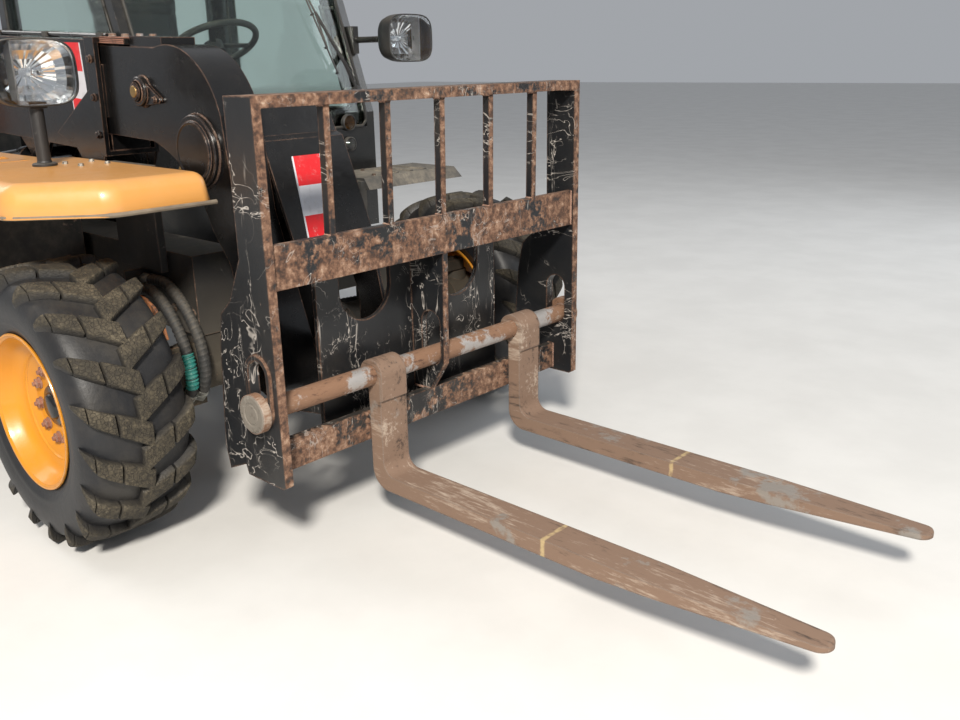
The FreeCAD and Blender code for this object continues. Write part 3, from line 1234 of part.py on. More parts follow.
def headlamp_left():
    x = FRONT_AXLE_X - 360
    y = CAB_LEFT_Y + LAMP_STAND_OFF
    z = 1390.0
    pillar_x = screen_x(z)
    arm = box(pillar_x - 30, x - 20, CAB_LEFT_Y - 30, CAB_LEFT_Y - 6, z - 20, z + 20)
    plate = box(pillar_x - 52, pillar_x + 6, CAB_LEFT_Y - 36, CAB_LEFT_Y, z - 55, z + 55)
    post_room = side_plate([
        (CAB_FRONT_X, CAB_FLOOR_Z), (CAB_FRONT_X, CAB_WAIST_Z), (CAB_HEAD_X, CAB_HEAD_Z),
        (CAB_REAR_X, CAB_HEAD_Z), (CAB_REAR_X, CAB_FLOOR_Z),
    ], CAB_LEFT_Y - CAB_WALL, CAB_LEFT_Y)
    return fuse([lamp_body(x, y, z), arm, plate]).cut(post_room)


def tail_lamps():
    """A lamp block at each end of the counterweight's top."""
    lamps = []
    for sign in (-1, 1):
        lamps.append(box(REAR_END_X + 75, REAR_END_X + 130, sign * 600, sign * 780,
                         COUNTERWEIGHT_TOP_Z, COUNTERWEIGHT_TOP_Z + 70))
    return lamps


def engine_pod():
    outer = box(POD_REAR_X, POD_FRONT_X, POD_OUTER_Y, POD_INNER_Y, POD_BOTTOM_Z, POD_DECK_Z)
    room = box(POD_REAR_X + POD_WALL, POD_FRONT_X - POD_WALL, POD_OUTER_Y + POD_WALL, POD_INNER_Y - POD_WALL,
               POD_BOTTOM_Z + POD_WALL, POD_DECK_Z + 1)
    tray = outer.cut(room)
    # The end walls follow the hood's slanting corner and stand clear of it
    wall_top = POD_TOP_Z - 20
    end_wall = [
        (POD_INNER_Y, POD_DECK_Z), (POD_OUTER_Y + 20, POD_DECK_Z), (POD_OUTER_Y + 20, POD_TOP_Z - 100),
        (POD_OUTER_Y + 85, wall_top), (POD_INNER_Y, wall_top),
    ]
    front = front_plate(end_wall, POD_FRONT_X - POD_WALL, POD_FRONT_X)
    back = front_plate(end_wall, POD_REAR_X, POD_REAR_X + POD_WALL)
    inner = box(POD_REAR_X, POD_FRONT_X, POD_INNER_Y - POD_WALL, POD_INNER_Y, POD_DECK_Z, POD_TOP_Z - 20)
    arms = [box(x, x + 70, POD_INNER_Y, -RAIL_OUTER_Y, RAIL_BOTTOM_Z, RAIL_BOTTOM_Z + 90) for x in (-280, -980)]
    return fuse([tray, front, back, inner] + arms)


def engine_block():
    return fuse([
        box(-940, -300, -830, -600, POD_BOTTOM_Z + POD_WALL, 900),
        box(-300, -180, -790, -640, 560, 800),
    ])


def engine_hood():
    """The lid: top and outer side in one piece, louvred, hinged along the boom side."""
    gap = SWING
    x0 = POD_REAR_X - 4
    x1 = POD_FRONT_X + 4
    outer_y = POD_OUTER_Y - 12
    profile = [
        (POD_INNER_Y - 2, POD_TOP_Z - 20 + gap),
        (POD_INNER_Y - 2, POD_TOP_Z),
        (outer_y + 90, POD_TOP_Z),
        (outer_y, POD_TOP_Z - 110),
        (outer_y, POD_DECK_Z + gap),
        (outer_y + 8, POD_DECK_Z + gap),
        (outer_y + 8, POD_TOP_Z - 112),
        (outer_y + 94, POD_TOP_Z - 9),
        (POD_INNER_Y - 14, POD_TOP_Z - 9),
        (POD_INNER_Y - 14, POD_TOP_Z - 20 + gap),
    ]
    lid = front_plate(profile, x0, x1)
    louvres = []
    for number in range(9):
        z = POD_DECK_Z + 60 + number * 20
        louvres.append(box(-900, -500, outer_y - 1, outer_y + 9, z, z + 9))
    lid = cut(lid, louvres)
    hinge_y = POD_INNER_Y + 10
    hinge_z = POD_TOP_Z - 8
    pieces = [lid]
    for x in (-300, -900):
        pieces.append(along_x(8, x, x + 60, hinge_y, hinge_z))
        pieces.append(box(x, x + 60, POD_INNER_Y - 4, hinge_y, hinge_z - 2, hinge_z + 6))
    return fuse(pieces)


def hood_hinge_blocks():
    """Fixed halves of the hood's hinges, on the pod's inner wall."""
    hinge_y = POD_INNER_Y + 10
    hinge_z = POD_TOP_Z - 8
    blocks = []
    for x in (-300, -900):
        blocks.append(fuse([
            along_x(8, x - 40, x - SEAT, hinge_y, hinge_z),
            box(x - 40, x - SEAT, POD_INNER_Y, hinge_y + 8, hinge_z - 60, hinge_z),
        ]))
    return blocks


def exhaust():
    x = POD_REAR_X - 55
    y = -600.0
    return fuse([
        along_x(30, x, POD_REAR_X, y, 900),
        Part.makeSphere(31, Vector(x, y, 900)),
        along_z(31, x, y, 900, 1400),
        along_z(46, x, y, 1060, 1290),
    ])


def fuel_tank():
    body = plan_plate([
        (-120, RAIL_OUTER_Y), (-120, 820), (-180, 850), (-1010, 850), (-1070, 820), (-1070, RAIL_OUTER_Y),
    ], 380, 600)
    step = box(-420, -160, 780, 850, 340, 352)
    legs = [box(x, x + 10, 780, 850, 340, 400) for x in (-420, -170)]
    return fuse([body, step] + legs)


HOSE_RADIUS = 18.0
HOSE_START_X = 300.0
HOSE_PORT_X = 556.0
HOSE_PLATE_REACH = 8.0  # how far each end runs on before it is cut to its seat
HOSE_PORT_REACH = 18.0
HOSE_ROUTES = (
    # y, then x and z of each point, from the chassis plate to the port on the axle
    (-471.0, ((300, 662), (370, 674), (450, 672), (530, 615), (590, 535), (612, 450), (600, 372), (556, 334))),
    (-509.0, ((300, 640), (365, 652), (440, 650), (515, 592), (570, 515), (590, 440), (592, 366), (556, 334))),
)


def hoses():
    """Two sleeved hoses that loop inboard of the front right tyre, each cut to seat on its two ends."""
    seats = [hose_plate(), hose_port()]
    tubes = []
    for y, points in HOSE_ROUTES:
        route = [Vector(x, y, z) for x, z in points]
        route[0] += (route[0] - route[1]).normalize() * HOSE_PLATE_REACH
        route[-1] += (route[-1] - route[-2]).normalize() * HOSE_PORT_REACH
        tubes.append(cut(rounded_tube(route, HOSE_RADIUS), seats))
    return tubes


def hose_plate():
    """The plate on the right rail that the hoses leave."""
    return box(HOSE_START_X - 12, HOSE_START_X, -RAIL_OUTER_Y, -532, 610, 700)


def hose_port():
    """The block on the front axle that takes the hoses."""
    low, high = 304, 364
    return box(FRONT_AXLE_X + 10, HOSE_PORT_X, -534, -446, low, high)


def rounded_tube(points, radius):
    """A round tube along straight runs joined by tangent arcs, as large as the runs allow."""
    edges = []
    start = points[0]
    for before, corner, after in zip(points, points[1:], points[2:]):
        inward = corner - before
        outward = after - corner
        turn = inward.getAngle(outward)
        bend = 0.45 * min(inward.Length, outward.Length) / math.tan(turn / 2)
        print("hose bend radius", round(bend))
        reach = bend * math.tan(turn / 2)
        arc_start = corner - Vector(inward).normalize() * reach
        arc_end = corner + Vector(outward).normalize() * reach
        middle = (arc_start + arc_end) * 0.5 - corner
        to_centre = math.hypot(bend, reach)
        crown = corner + middle.normalize() * (to_centre - bend)
        edges.append(Part.makeLine(start, arc_start))
        edges.append(Part.Arc(arc_start, crown, arc_end).toShape())
        start = arc_end
    edges.append(Part.makeLine(start, points[-1]))
    path = Part.Wire(edges)
    section = Part.Wire(Part.makeCircle(radius, points[0], points[1] - points[0]))
    tube = path.makePipeShell([section], True, False)
    print("hose volume share", round(tube.Volume / (math.pi * radius ** 2 * path.Length), 3))
    return tube


def main():
    os.makedirs("parts", exist_ok=True)
    corners = (
        # name, axle x, side
        ("front_right", FRONT_AXLE_X, -1),
        ("front_left", FRONT_AXLE_X, 1),
        ("rear_right", REAR_AXLE_X, -1),
        ("rear_left", REAR_AXLE_X, 1),
    )
    for name, x, side in corners:
        for kind, make in (("tyre", tyre), ("rim", rim), ("knuckle", knuckle)):
            shape = make(x)
            write(kind + "_" + name, shape if side > 0 else mirrored(shape))
    write("front_axle", fuse([axle(FRONT_AXLE_X), hose_port()]))
    write("rear_axle", axle(REAR_AXLE_X))
    frame = chassis()
    write("chassis_frame", frame)
    write_group("boom_tower", boom_tower(frame))
    write("counterweight", counterweight())
    write("boom_outer", outer_boom())
    write("boom_inner", inner_boom())
    write("boom_head", head_box())
    write("lift_barrel", lift_barrel())
    write("lift_rod", lift_rod())
    write("tilt_rocker", rocker())
    write("tilt_link", tilt_link())
    write("carriage_frame", carriage())
    write("fork_shaft", fork_shaft())
    for name, y in FORKS:
        write(name, fork(y))
    write("cab_shell", cab_shell())
    write_group("cab_glass", cab_glass())
    write("cab_door", cab_door())
    write("door_glass", door_glass())
    write("seat_base", seat_base())
    write("seat_cushion", seat_cushion())
    write("seat_backrest", seat_backrest())
    write("dashboard", dashboard())
    write("steering_wheel", steering_wheel())
    write("fender_front_right", front_right_fender())
    tower_face = BOOM_Y - TOWER_HALF_GAP - TOWER_PLATE
    guards = (
        # name, x from, x to, face that carries it, top of that face, middle of its bracket
        ("front_left", FRONT_AXLE_X - 480, FRONT_AXLE_X - 170, RAIL_OUTER_Y, LEFT_RAIL_TOP_Z, FRONT_AXLE_X - 325),
        ("rear_left", REAR_AXLE_X - 400, REAR_AXLE_X + 400, RAIL_OUTER_Y, LEFT_RAIL_TOP_Z, REAR_AXLE_X),
        ("rear_right", REAR_AXLE_X - 400, REAR_AXLE_X + 400, tower_face, RAIL_TOP_Z, LIFT_BASE_X - 190),
    )
    for name, x0, x1, root_y, root_top, bracket_x in guards:
        write("fender_" + name, low_fender(x0, x1, root_y, root_top, bracket_x))
    write("headlamp_right", headlamp_right())
    write("headlamp_left", headlamp_left())
    write("engine_pod", fuse([engine_pod()] + hood_hinge_blocks()))
    write("engine_block", engine_block())
    write("engine_hood", engine_hood())
    write("exhaust", exhaust())
    write_group("tail_lamps", tail_lamps())
    write("fuel_tank", fuel_tank())
    write_group("boom_hoses", hoses())


main()
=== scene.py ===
"""A compact telescopic handler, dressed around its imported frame.

The frame gives every place and size. Each class below is one sub-assembly: it gives its nodes
their finishes, builds the pieces that the solids leave out and lets each ride on its body.
Lengths are in metres, with X forward, Y to the driver's left and Z up.
"""
import json
import logging
import math
from dataclasses import dataclass, field
from enum import Enum
from typing import Callable, Iterable, Iterator, Optional, Sequence

import bmesh
import bpy
import numpy as np
from mathutils import Matrix, Vector


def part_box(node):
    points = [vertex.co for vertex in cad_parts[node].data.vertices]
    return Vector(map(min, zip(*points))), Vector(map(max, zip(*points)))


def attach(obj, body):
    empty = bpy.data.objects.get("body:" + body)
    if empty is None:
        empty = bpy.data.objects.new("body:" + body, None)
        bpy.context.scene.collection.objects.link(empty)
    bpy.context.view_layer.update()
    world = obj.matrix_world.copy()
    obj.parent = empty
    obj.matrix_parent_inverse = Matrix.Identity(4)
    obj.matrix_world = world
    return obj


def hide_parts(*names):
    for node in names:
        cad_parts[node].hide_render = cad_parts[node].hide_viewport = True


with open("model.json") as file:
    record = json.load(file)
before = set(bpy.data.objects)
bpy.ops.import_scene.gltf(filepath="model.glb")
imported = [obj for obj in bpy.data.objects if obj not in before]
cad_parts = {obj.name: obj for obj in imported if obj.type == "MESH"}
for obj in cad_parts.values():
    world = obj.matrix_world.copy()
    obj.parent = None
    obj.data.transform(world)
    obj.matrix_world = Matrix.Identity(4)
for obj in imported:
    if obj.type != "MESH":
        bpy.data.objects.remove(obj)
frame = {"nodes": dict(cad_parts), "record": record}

LOG = logging.getLogger("telehandler")
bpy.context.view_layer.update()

Colour = tuple[float, float, float]
Point = tuple[float, float, float]
Flat = tuple[float, float]

# Layout, as the frame has it
FRONT_AXLE_X = 0.487
REAR_AXLE_X = -1.713
WHEEL_Y = 0.813
AXLE_Z = 0.403
BOOM_Y = -0.350
BOOM_PIVOT = Vector((-2.063, BOOM_Y, 1.306))
BOOM_SLOPE = math.radians(2.5)
ROCKER = Vector((0.619, 0.0, 1.070))
HITCH = Vector((0.857, 0.0, 0.450))
NECK_FACE_Y = -0.415
CHASSIS = "chassis"


class Axis(Enum):
    """A direction along which a shape is turned or pushed out."""

    X = 0
    Y = 1
    Z = 2


class Corner(Enum):
    """A corner of the machine: its node suffix, axle position and side."""

    FRONT_RIGHT = ("front_right", FRONT_AXLE_X, -1)
    FRONT_LEFT = ("front_left", FRONT_AXLE_X, 1)
    REAR_RIGHT = ("rear_right", REAR_AXLE_X, -1)
    REAR_LEFT = ("rear_left", REAR_AXLE_X, 1)

    @property
    def suffix(self) -> str:
        """The end of this corner's node names."""
        return self.value[0]

    @property
    def centre(self) -> Vector:
        """The middle of this corner's wheel."""
        return Vector((self.value[1], self.side * WHEEL_Y, AXLE_Z))

    @property
    def side(self) -> int:
        """1 on the left, -1 on the right."""
        return self.value[2]


def on_boom(along: float, up: float, y: float = BOOM_Y) -> Vector:
    """A point given in the boom's own directions.

    Args:
        along: Distance from the pivot towards the head.
        up: Distance above the boom's axis.
        y: Its place across the machine.

    Returns:
        The point in the machine's frame.
    """
    ahead = Vector((math.cos(BOOM_SLOPE), 0, -math.sin(BOOM_SLOPE)))
    above = Vector((math.sin(BOOM_SLOPE), 0, math.cos(BOOM_SLOPE)))
    point = BOOM_PIVOT + ahead * along + above * up
    return Vector((point.x, y, point.z))


# Shader wiring


class Wiring:
    """Adds and links the nodes of one shader tree."""

    def __init__(self, tree: bpy.types.NodeTree) -> None:
        """Keeps the tree that nodes are added to."""
        self.tree = tree

    def put(self, kind: str, inputs: Optional[dict] = None, **settings) -> bpy.types.Node:
        """Adds a node.

        Args:
            kind: The node's type name.
            inputs: Socket name or number to a value or a socket to link.
            **settings: Attributes of the node.

        Returns:
            The node.
        """
        node = self.tree.nodes.new(kind)
        for key, value in settings.items():
            setattr(node, key, value)
        for key, value in (inputs or {}).items():
            self.feed(node.inputs[key], value)
        return node

    def feed(self, socket: bpy.types.NodeSocket, value) -> None:
        """Links a socket, or sets its value."""
        if isinstance(value, bpy.types.NodeSocket):
            self.tree.links.new(value, socket)
        else:
            socket.default_value = value

    def calc(self, operation: str, a, b=0.0, clamp: bool = False) -> bpy.types.NodeSocket:
        """One math operation on two numbers or sockets."""
        node = self.put("ShaderNodeMath", {0: a, 1: b}, operation=operation, use_clamp=clamp)
        return node.outputs[0]

    def times(self, a, b, clamp: bool = False) -> bpy.types.NodeSocket:
        """One product."""
        return self.calc("MULTIPLY", a, b, clamp)

    def plus(self, a, b, clamp: bool = False) -> bpy.types.NodeSocket:
        """One sum."""
        return self.calc("ADD", a, b, clamp)

    def minus(self, a, b) -> bpy.types.NodeSocket:
        """One difference."""
        return self.calc("SUBTRACT", a, b)

    def most(self, a, b) -> bpy.types.NodeSocket:
        """The larger of two."""
        return self.calc("MAXIMUM", a, b)

    def part(self, vector, axis: Axis) -> bpy.types.NodeSocket:
        """One part of a vector."""
        return self.put("ShaderNodeSeparateXYZ", {0: vector}).outputs[axis.value]

    def normal(self) -> bpy.types.NodeSocket:
        """The way the surface faces."""
        return self.put("ShaderNodeNewGeometry").outputs["Normal"]

    def remap(self, value, low, high, to_low=0.0, to_high=1.0) -> bpy.types.NodeSocket:
        """Maps a stretch of values smoothly onto another, and holds it at the ends."""
        node = self.put("ShaderNodeMapRange", {0: value, 1: low, 2: high, 3: to_low, 4: to_high},
                        interpolation_type="SMOOTHSTEP")
        return node.outputs[0]

    def noise(self, vector, scale, detail: float = 4.0, roughness: float = 0.55,
              distortion: float = 0.0) -> bpy.types.NodeSocket:
        """A noise value about 0.5."""
        node = self.put("ShaderNodeTexNoise", {"Vector": vector, "Scale": scale, "Detail": detail,
                                               "Roughness": roughness, "Distortion": distortion})
        return node.outputs[0]

    def blend(self, factor, a, b) -> bpy.types.NodeSocket:
        """Mixes two colours, each a socket or three numbers."""
        first, second = ((*c, 1) if isinstance(c, tuple) else c for c in (a, b))
        return self.put("ShaderNodeMix", {0: factor, 6: first, 7: second}, data_type="RGBA").outputs[2]

    def stretch(self, vector, scale: Point) -> bpy.types.NodeSocket:
        """Scales a pattern's coordinates."""
        return self.put("ShaderNodeMapping", {"Vector": vector, "Scale": scale}).outputs[0]

    def ramp(self, factor, stops: Sequence[tuple[float, Colour]]) -> bpy.types.NodeSocket:
        """A colour ramp through the given stops."""
        node = self.put("ShaderNodeValToRGB", {0: factor})
        elements = node.color_ramp.elements
        while len(elements) < len(stops):
            elements.new(0.5)
        for element, (place, colour) in zip(elements, stops):
            element.position = place
            element.color = (*colour, 1)
        return node.outputs[0]


GROUPS: dict[str, bpy.types.NodeTree] = {}
FLOAT = "NodeSocketFloat"
COLOUR = "NodeSocketColor"
VECTOR = "NodeSocketVector"


def shader_group(name: str, inputs: Sequence[tuple[str, str, object]], outputs: Sequence[tuple[str, str]],
                 fill: Callable[[Wiring, bpy.types.Node], dict]) -> bpy.types.NodeTree:
    """Builds a shared shader group once.

    Args:
        name: The group's name.
        inputs: Name, socket type and default of each input.
        outputs: Name and socket type of each output.
        fill: Wires the group and returns output name to socket.

    Returns:
        The group.
    """
    if name in GROUPS:
        return GROUPS[name]
    tree = bpy.data.node_groups.new(name, "ShaderNodeTree")
    for label, kind, default in inputs:
        socket = tree.interface.new_socket(label, in_out="INPUT", socket_type=kind)
        if kind != VECTOR:
            socket.default_value = default
    for label, kind in outputs:
        tree.interface.new_socket(label, in_out="OUTPUT", socket_type=kind)
    wiring = Wiring(tree)
    source = tree.nodes.new("NodeGroupInput")
    sink = tree.nodes.new("NodeGroupOutput")
    for label, socket in fill(wiring, source).items():
        wiring.feed(sink.inputs[label], socket)
    GROUPS[name] = tree
    return tree


def edge_wear_group() -> bpy.types.NodeTree:
    """A mask along outer edges, broken up by noise."""

    def fill(w: Wiring, source: bpy.types.Node) -> dict:
        """Compares the rounded normal with the flat one."""
        s = source.outputs
        rounded = w.put("ShaderNodeBevel", {"Radius": s["Radius"]}, samples=3).outputs[0]
        dot = w.put("ShaderNodeVectorMath", {0: rounded, 1: w.normal()},
                    operation="DOT_PRODUCT").outputs["Value"]
        edge = w.remap(w.minus(1.0, dot), 0.01, 0.12)
        rough = w.noise(s["Vector"], s["Scale"], 6.0, 0.7)
        threshold = w.minus(0.85, w.times(s["Amount"], 0.5))
        total = w.plus(w.times(edge, 0.4), w.times(rough, 0.6))
        chipped = w.remap(total, w.minus(threshold, 0.06), w.plus(threshold, 0.02))
        return {"Mask": w.times(chipped, w.remap(edge, 0.0, 0.2))}

    return shader_group("edge wear", [("Vector", VECTOR, None), ("Radius", FLOAT, 0.006), ("Amount", FLOAT,
                                                                                           0.5),
                                      ("Scale", FLOAT, 30.0)], [("Mask", FLOAT)], fill)


def rust_group() -> bpy.types.NodeTree:
    """Patches of rust: where, what colour and how rough."""

    def fill(w: Wiring, source: bpy.types.Node) -> dict:
        """Adds broad and fine noise and cuts it at the cover."""
        s = source.outputs
        broad = w.noise(s["Vector"], s["Scale"], 8.0, 0.68)
        fine = w.noise(s["Vector"], w.times(s["Scale"], 7.0), 6.0, 0.7)
        both = w.plus(w.times(broad, 0.65), w.times(fine, 0.35))
        threshold = w.minus(0.74, w.times(s["Cover"], 0.46))
        mask = w.remap(both, w.minus(threshold, 0.025), w.plus(threshold, 0.025))
        tone = w.plus(w.times(fine, 0.75), w.times(broad, 0.25))
        colour = w.ramp(tone, ((0.36, (0.016, 0.011, 0.008)), (0.45, (0.066, 0.033, 0.021)),
                               (0.53, (0.155, 0.080, 0.048)), (0.61, (0.28, 0.170, 0.112)),
                               (0.70, (0.50, 0.39, 0.30))))
        return {"Mask": mask, "Color": colour, "Height": w.times(fine, mask)}

    return shader_group("rust", [("Vector", VECTOR, None), ("Cover", FLOAT, 0.3), ("Scale", FLOAT, 5.0)],
                        [("Mask", FLOAT), ("Color", COLOUR), ("Height", FLOAT)], fill)


def scratch_group() -> bpy.types.NodeTree:
    """Thin curling scuffs and short straight scratches, in clusters."""

    def fill(w: Wiring, source: bpy.types.Node) -> dict:
        """Takes the contour lines of noise as scratches."""
        s = source.outputs
        masks = []
        for number, (squeeze, width, shift) in enumerate(SCRATCH_SETS):
            moved = w.put("ShaderNodeMapping", {"Vector": s["Vector"], "Location": (shift, shift * 2, -shift),
                                                "Rotation": (0.4 * number, 0.9 * number, 0.5),
                                                "Scale": squeeze}).outputs[0]
            field_value = w.noise(moved, s["Scale"], 3.0, 0.6, 1.2)
            line = w.calc("ABSOLUTE", w.minus(field_value, 0.5))
            thin = w.remap(line, 0.0, width, 1.0, 0.0)
            cluster = w.noise(moved, w.times(s["Scale"], 0.45), 3.0, 0.6)
            limit = w.minus(0.80, w.times(s["Amount"], 0.42))
            near = w.remap(cluster, limit, w.plus(limit, 0.08))
            masks.append(w.times(thin, near))
        joined = masks[0]
        for mask in masks[1:]:
            joined = w.most(joined, mask)
        return {"Mask": joined}

    return shader_group("scratches", [("Vector", VECTOR, None), ("Amount", FLOAT, 0.4), ("Scale", FLOAT,
                                                                                         12.0)],
                        [("Mask", FLOAT)], fill)


# squeeze of the coordinates, width of the lines, shift of the pattern
SCRATCH_SETS = (
    ((1.0, 1.0, 1.0), 0.010, 0.0),
    ((3.0, 3.0, 0.6), 0.016, 3.7),
    ((0.7, 2.5, 2.5), 0.014, 8.1),
)


def dust_group() -> bpy.types.NodeTree:
    """Dust that lies on what faces up and hangs in blotches elsewhere."""

    def fill(w: Wiring, source: bpy.types.Node) -> dict:
        """Adds the upward share of the normal to two noises."""
        s = source.outputs
        up = w.remap(w.part(w.normal(), Axis.Z), 0.15, 0.95)
        broad = w.remap(w.noise(s["Vector"], s["Scale"], 5.0, 0.6), 0.38, 0.68)
        fine = w.remap(w.noise(s["Vector"], w.times(s["Scale"], 12.0), 4.0, 0.7), 0.35, 0.7)
        film = w.plus(w.times(broad, 0.5), w.times(up, 0.6))
        mottled = w.times(film, w.plus(w.times(fine, 0.6), 0.4))
        return {"Mask": w.times(mottled, s["Amount"], clamp=True)}

    return shader_group("dust", [("Vector", VECTOR, None), ("Amount", FLOAT, 0.4), ("Scale", FLOAT, 2.0)],
                        [("Mask", FLOAT)], fill)


def grain_group() -> bpy.types.NodeTree:
    """Fine unevenness of a surface, as a height."""

    def fill(w: Wiring, source: bpy.types.Node) -> dict:
        """Adds a coarse ripple to a fine grain."""
        s = source.outputs
        fine = w.noise(s["Vector"], s["Scale"], 6.0, 0.6)
        coarse = w.noise(s["Vector"], w.times(s["Scale"], 0.08), 2.0, 0.5)
        return {"Height": w.plus(w.times(fine, 0.35), coarse)}

    return shader_group("grain", [("Vector", VECTOR, None), ("Scale", FLOAT, 200.0)], [("Height", FLOAT)],
                        fill)


# Finishes

MATERIALS: dict[str, bpy.types.Material] = {}
DUST: Colour = (0.36, 0.31, 0.235)
MUD: Colour = (0.15, 0.12, 0.075)


@dataclass(frozen=True)
class Finish:
    """What a surface is finished with. Subclasses wire their own shader."""

    name: str

    def material(self) -> bpy.types.Material:
        """The finish's material, made once."""
        if self.name not in MATERIALS:
            made = bpy.data.materials.new(self.name)
            made.use_nodes = True
            made.node_tree.nodes.clear()
            wiring = Wiring(made.node_tree)
            shader = wiring.put("ShaderNodeBsdfPrincipled")
            sink = wiring.put("ShaderNodeOutputMaterial")
            wiring.feed(sink.inputs[0], shader.outputs[0])
            place = wiring.put("ShaderNodeTexCoord").outputs["Object"]
            self.wire(wiring, shader, place)
            MATERIALS[self.name] = made
        return MATERIALS[self.name]

    def wire(self, w: Wiring, shader: bpy.types.Node, place: bpy.types.NodeSocket) -> None:
        """Wires the shader's inputs."""
        raise NotImplementedError

    @staticmethod
    def group(w: Wiring, tree: bpy.types.NodeTree, place: bpy.types.NodeSocket, **values) -> bpy.types.Node:
        """Places a shared group with its own values."""
        node = w.put("ShaderNodeGroup", node_tree=tree)
        w.feed(node.inputs["Vector"], place)
        for key, value in values.items():
            w.feed(node.inputs[key.capitalize()], value)
        return node

    @staticmethod
    def bump(w: Wiring, shader: bpy.types.Node, heights: Sequence[tuple[object, float]],
             radius: float = 0.0) -> None:
        """Feeds the shader's normal with stacked bumps over slightly rounded edges."""
        normal = None
        if radius:
            normal = w.put("ShaderNodeBevel", {"Radius": radius}, samples=3).outputs[0]
        for height, distance in heights:
            node = w.put("ShaderNodeBump", {"Height": height, "Distance": distance, "Strength": 1.0})
            if normal is not None:
                w.feed(node.inputs["Normal"], normal)
            normal = node.outputs[0]
        if normal is not None:
            w.feed(shader.inputs["Normal"], normal)


@dataclass(frozen=True)
class Paint(Finish):
    """Paint over steel, chipped, scratched, rusted and dusty as much as its numbers say."""

    colour: Colour = (0.02, 0.02, 0.022)
    bare: Colour = (0.42, 0.40, 0.37)
    roughness: float = 0.42
    coat: float = 0.0
    rust: float = 0.12
    rust_scale: float = 5.0
    edge: float = 0.4
    edge_radius: float = 0.005
    scratch: float = 0.35
    scratch_scale: float = 9.0
    dust: float = 0.35
    dust_scale: float = 2.2
    dust_colour: Colour = DUST
    fade: float = 0.10
    rusted_front: Optional[tuple[float, float]] = None
    low_mud: float = 0.0

    def wire(self, w: Wiring, shader: bpy.types.Node, place: bpy.types.NodeSocket) -> None:
        """Paint, then scratches, rust at edges and in patches, then dust."""
        tone = w.noise(place, 1.3, 5.0, 0.6)
        light = tuple(min(1.0, c * (1 + self.fade) + self.fade * 0.02) for c in self.colour)
        dark = tuple(c * (1 - self.fade) for c in self.colour)
        colour = w.blend(w.remap(tone, 0.35, 0.65), dark, light)
        scuffs = self.group(w, scratch_group(), place, amount=self.scratch,
                            scale=self.scratch_scale).outputs["Mask"]
        edge = self.group(w, edge_wear_group(), place, amount=self.edge,
                          radius=self.edge_radius).outputs["Mask"]
        cover = self.rust
        if self.rusted_front:
            low, high = self.rusted_front
            ahead = w.remap(w.part(place, Axis.X), low, high)
            flank = w.calc("ABSOLUTE", w.part(w.normal(), Axis.Y))
            faces = w.minus(1.0, w.times(flank, 0.86))
            cover = w.plus(w.times(w.times(ahead, faces), 0.52), self.rust)
        rust = self.group(w, rust_group(), place, cover=cover, scale=self.rust_scale)
        rusted = w.most(rust.outputs["Mask"], edge)
        worn = w.times(scuffs, w.minus(1.0, w.times(rusted, 0.45)))
        colour = w.blend(rusted, colour, rust.outputs["Color"])
        colour = w.blend(w.times(worn, 0.85), colour, self.bare)
        dust = self.group(w, dust_group(), place, amount=self.dust, scale=self.dust_scale).outputs["Mask"]
        if self.low_mud:
            height = w.part(place, Axis.Z)
            splash = w.remap(w.plus(height, w.times(tone, 0.35)), 0.35, 0.95, self.low_mud, 0.0)
            dust = w.most(dust, splash)
        colour = w.blend(dust, colour, self.dust_colour)
        w.feed(shader.inputs["Base Color"], colour)
        rough = w.plus(w.times(w.most(rusted, dust), 0.45), self.roughness)
        smear = w.times(w.minus(w.noise(place, 14.0, 5.0, 0.7), 0.5), 0.25)
        w.feed(shader.inputs["Roughness"], w.plus(rough, smear, clamp=True))
        shader.inputs["Coat Weight"].default_value = self.coat
        shader.inputs["Coat Roughness"].default_value = 0.12
        grain = self.group(w, grain_group(), place, scale=260.0).outputs["Height"]
        self.bump(w, shader, ((grain, 0.0006), (rust.outputs["Height"], 0.0012), (rusted, 0.0004)),
                  self.edge_radius * 0.5)


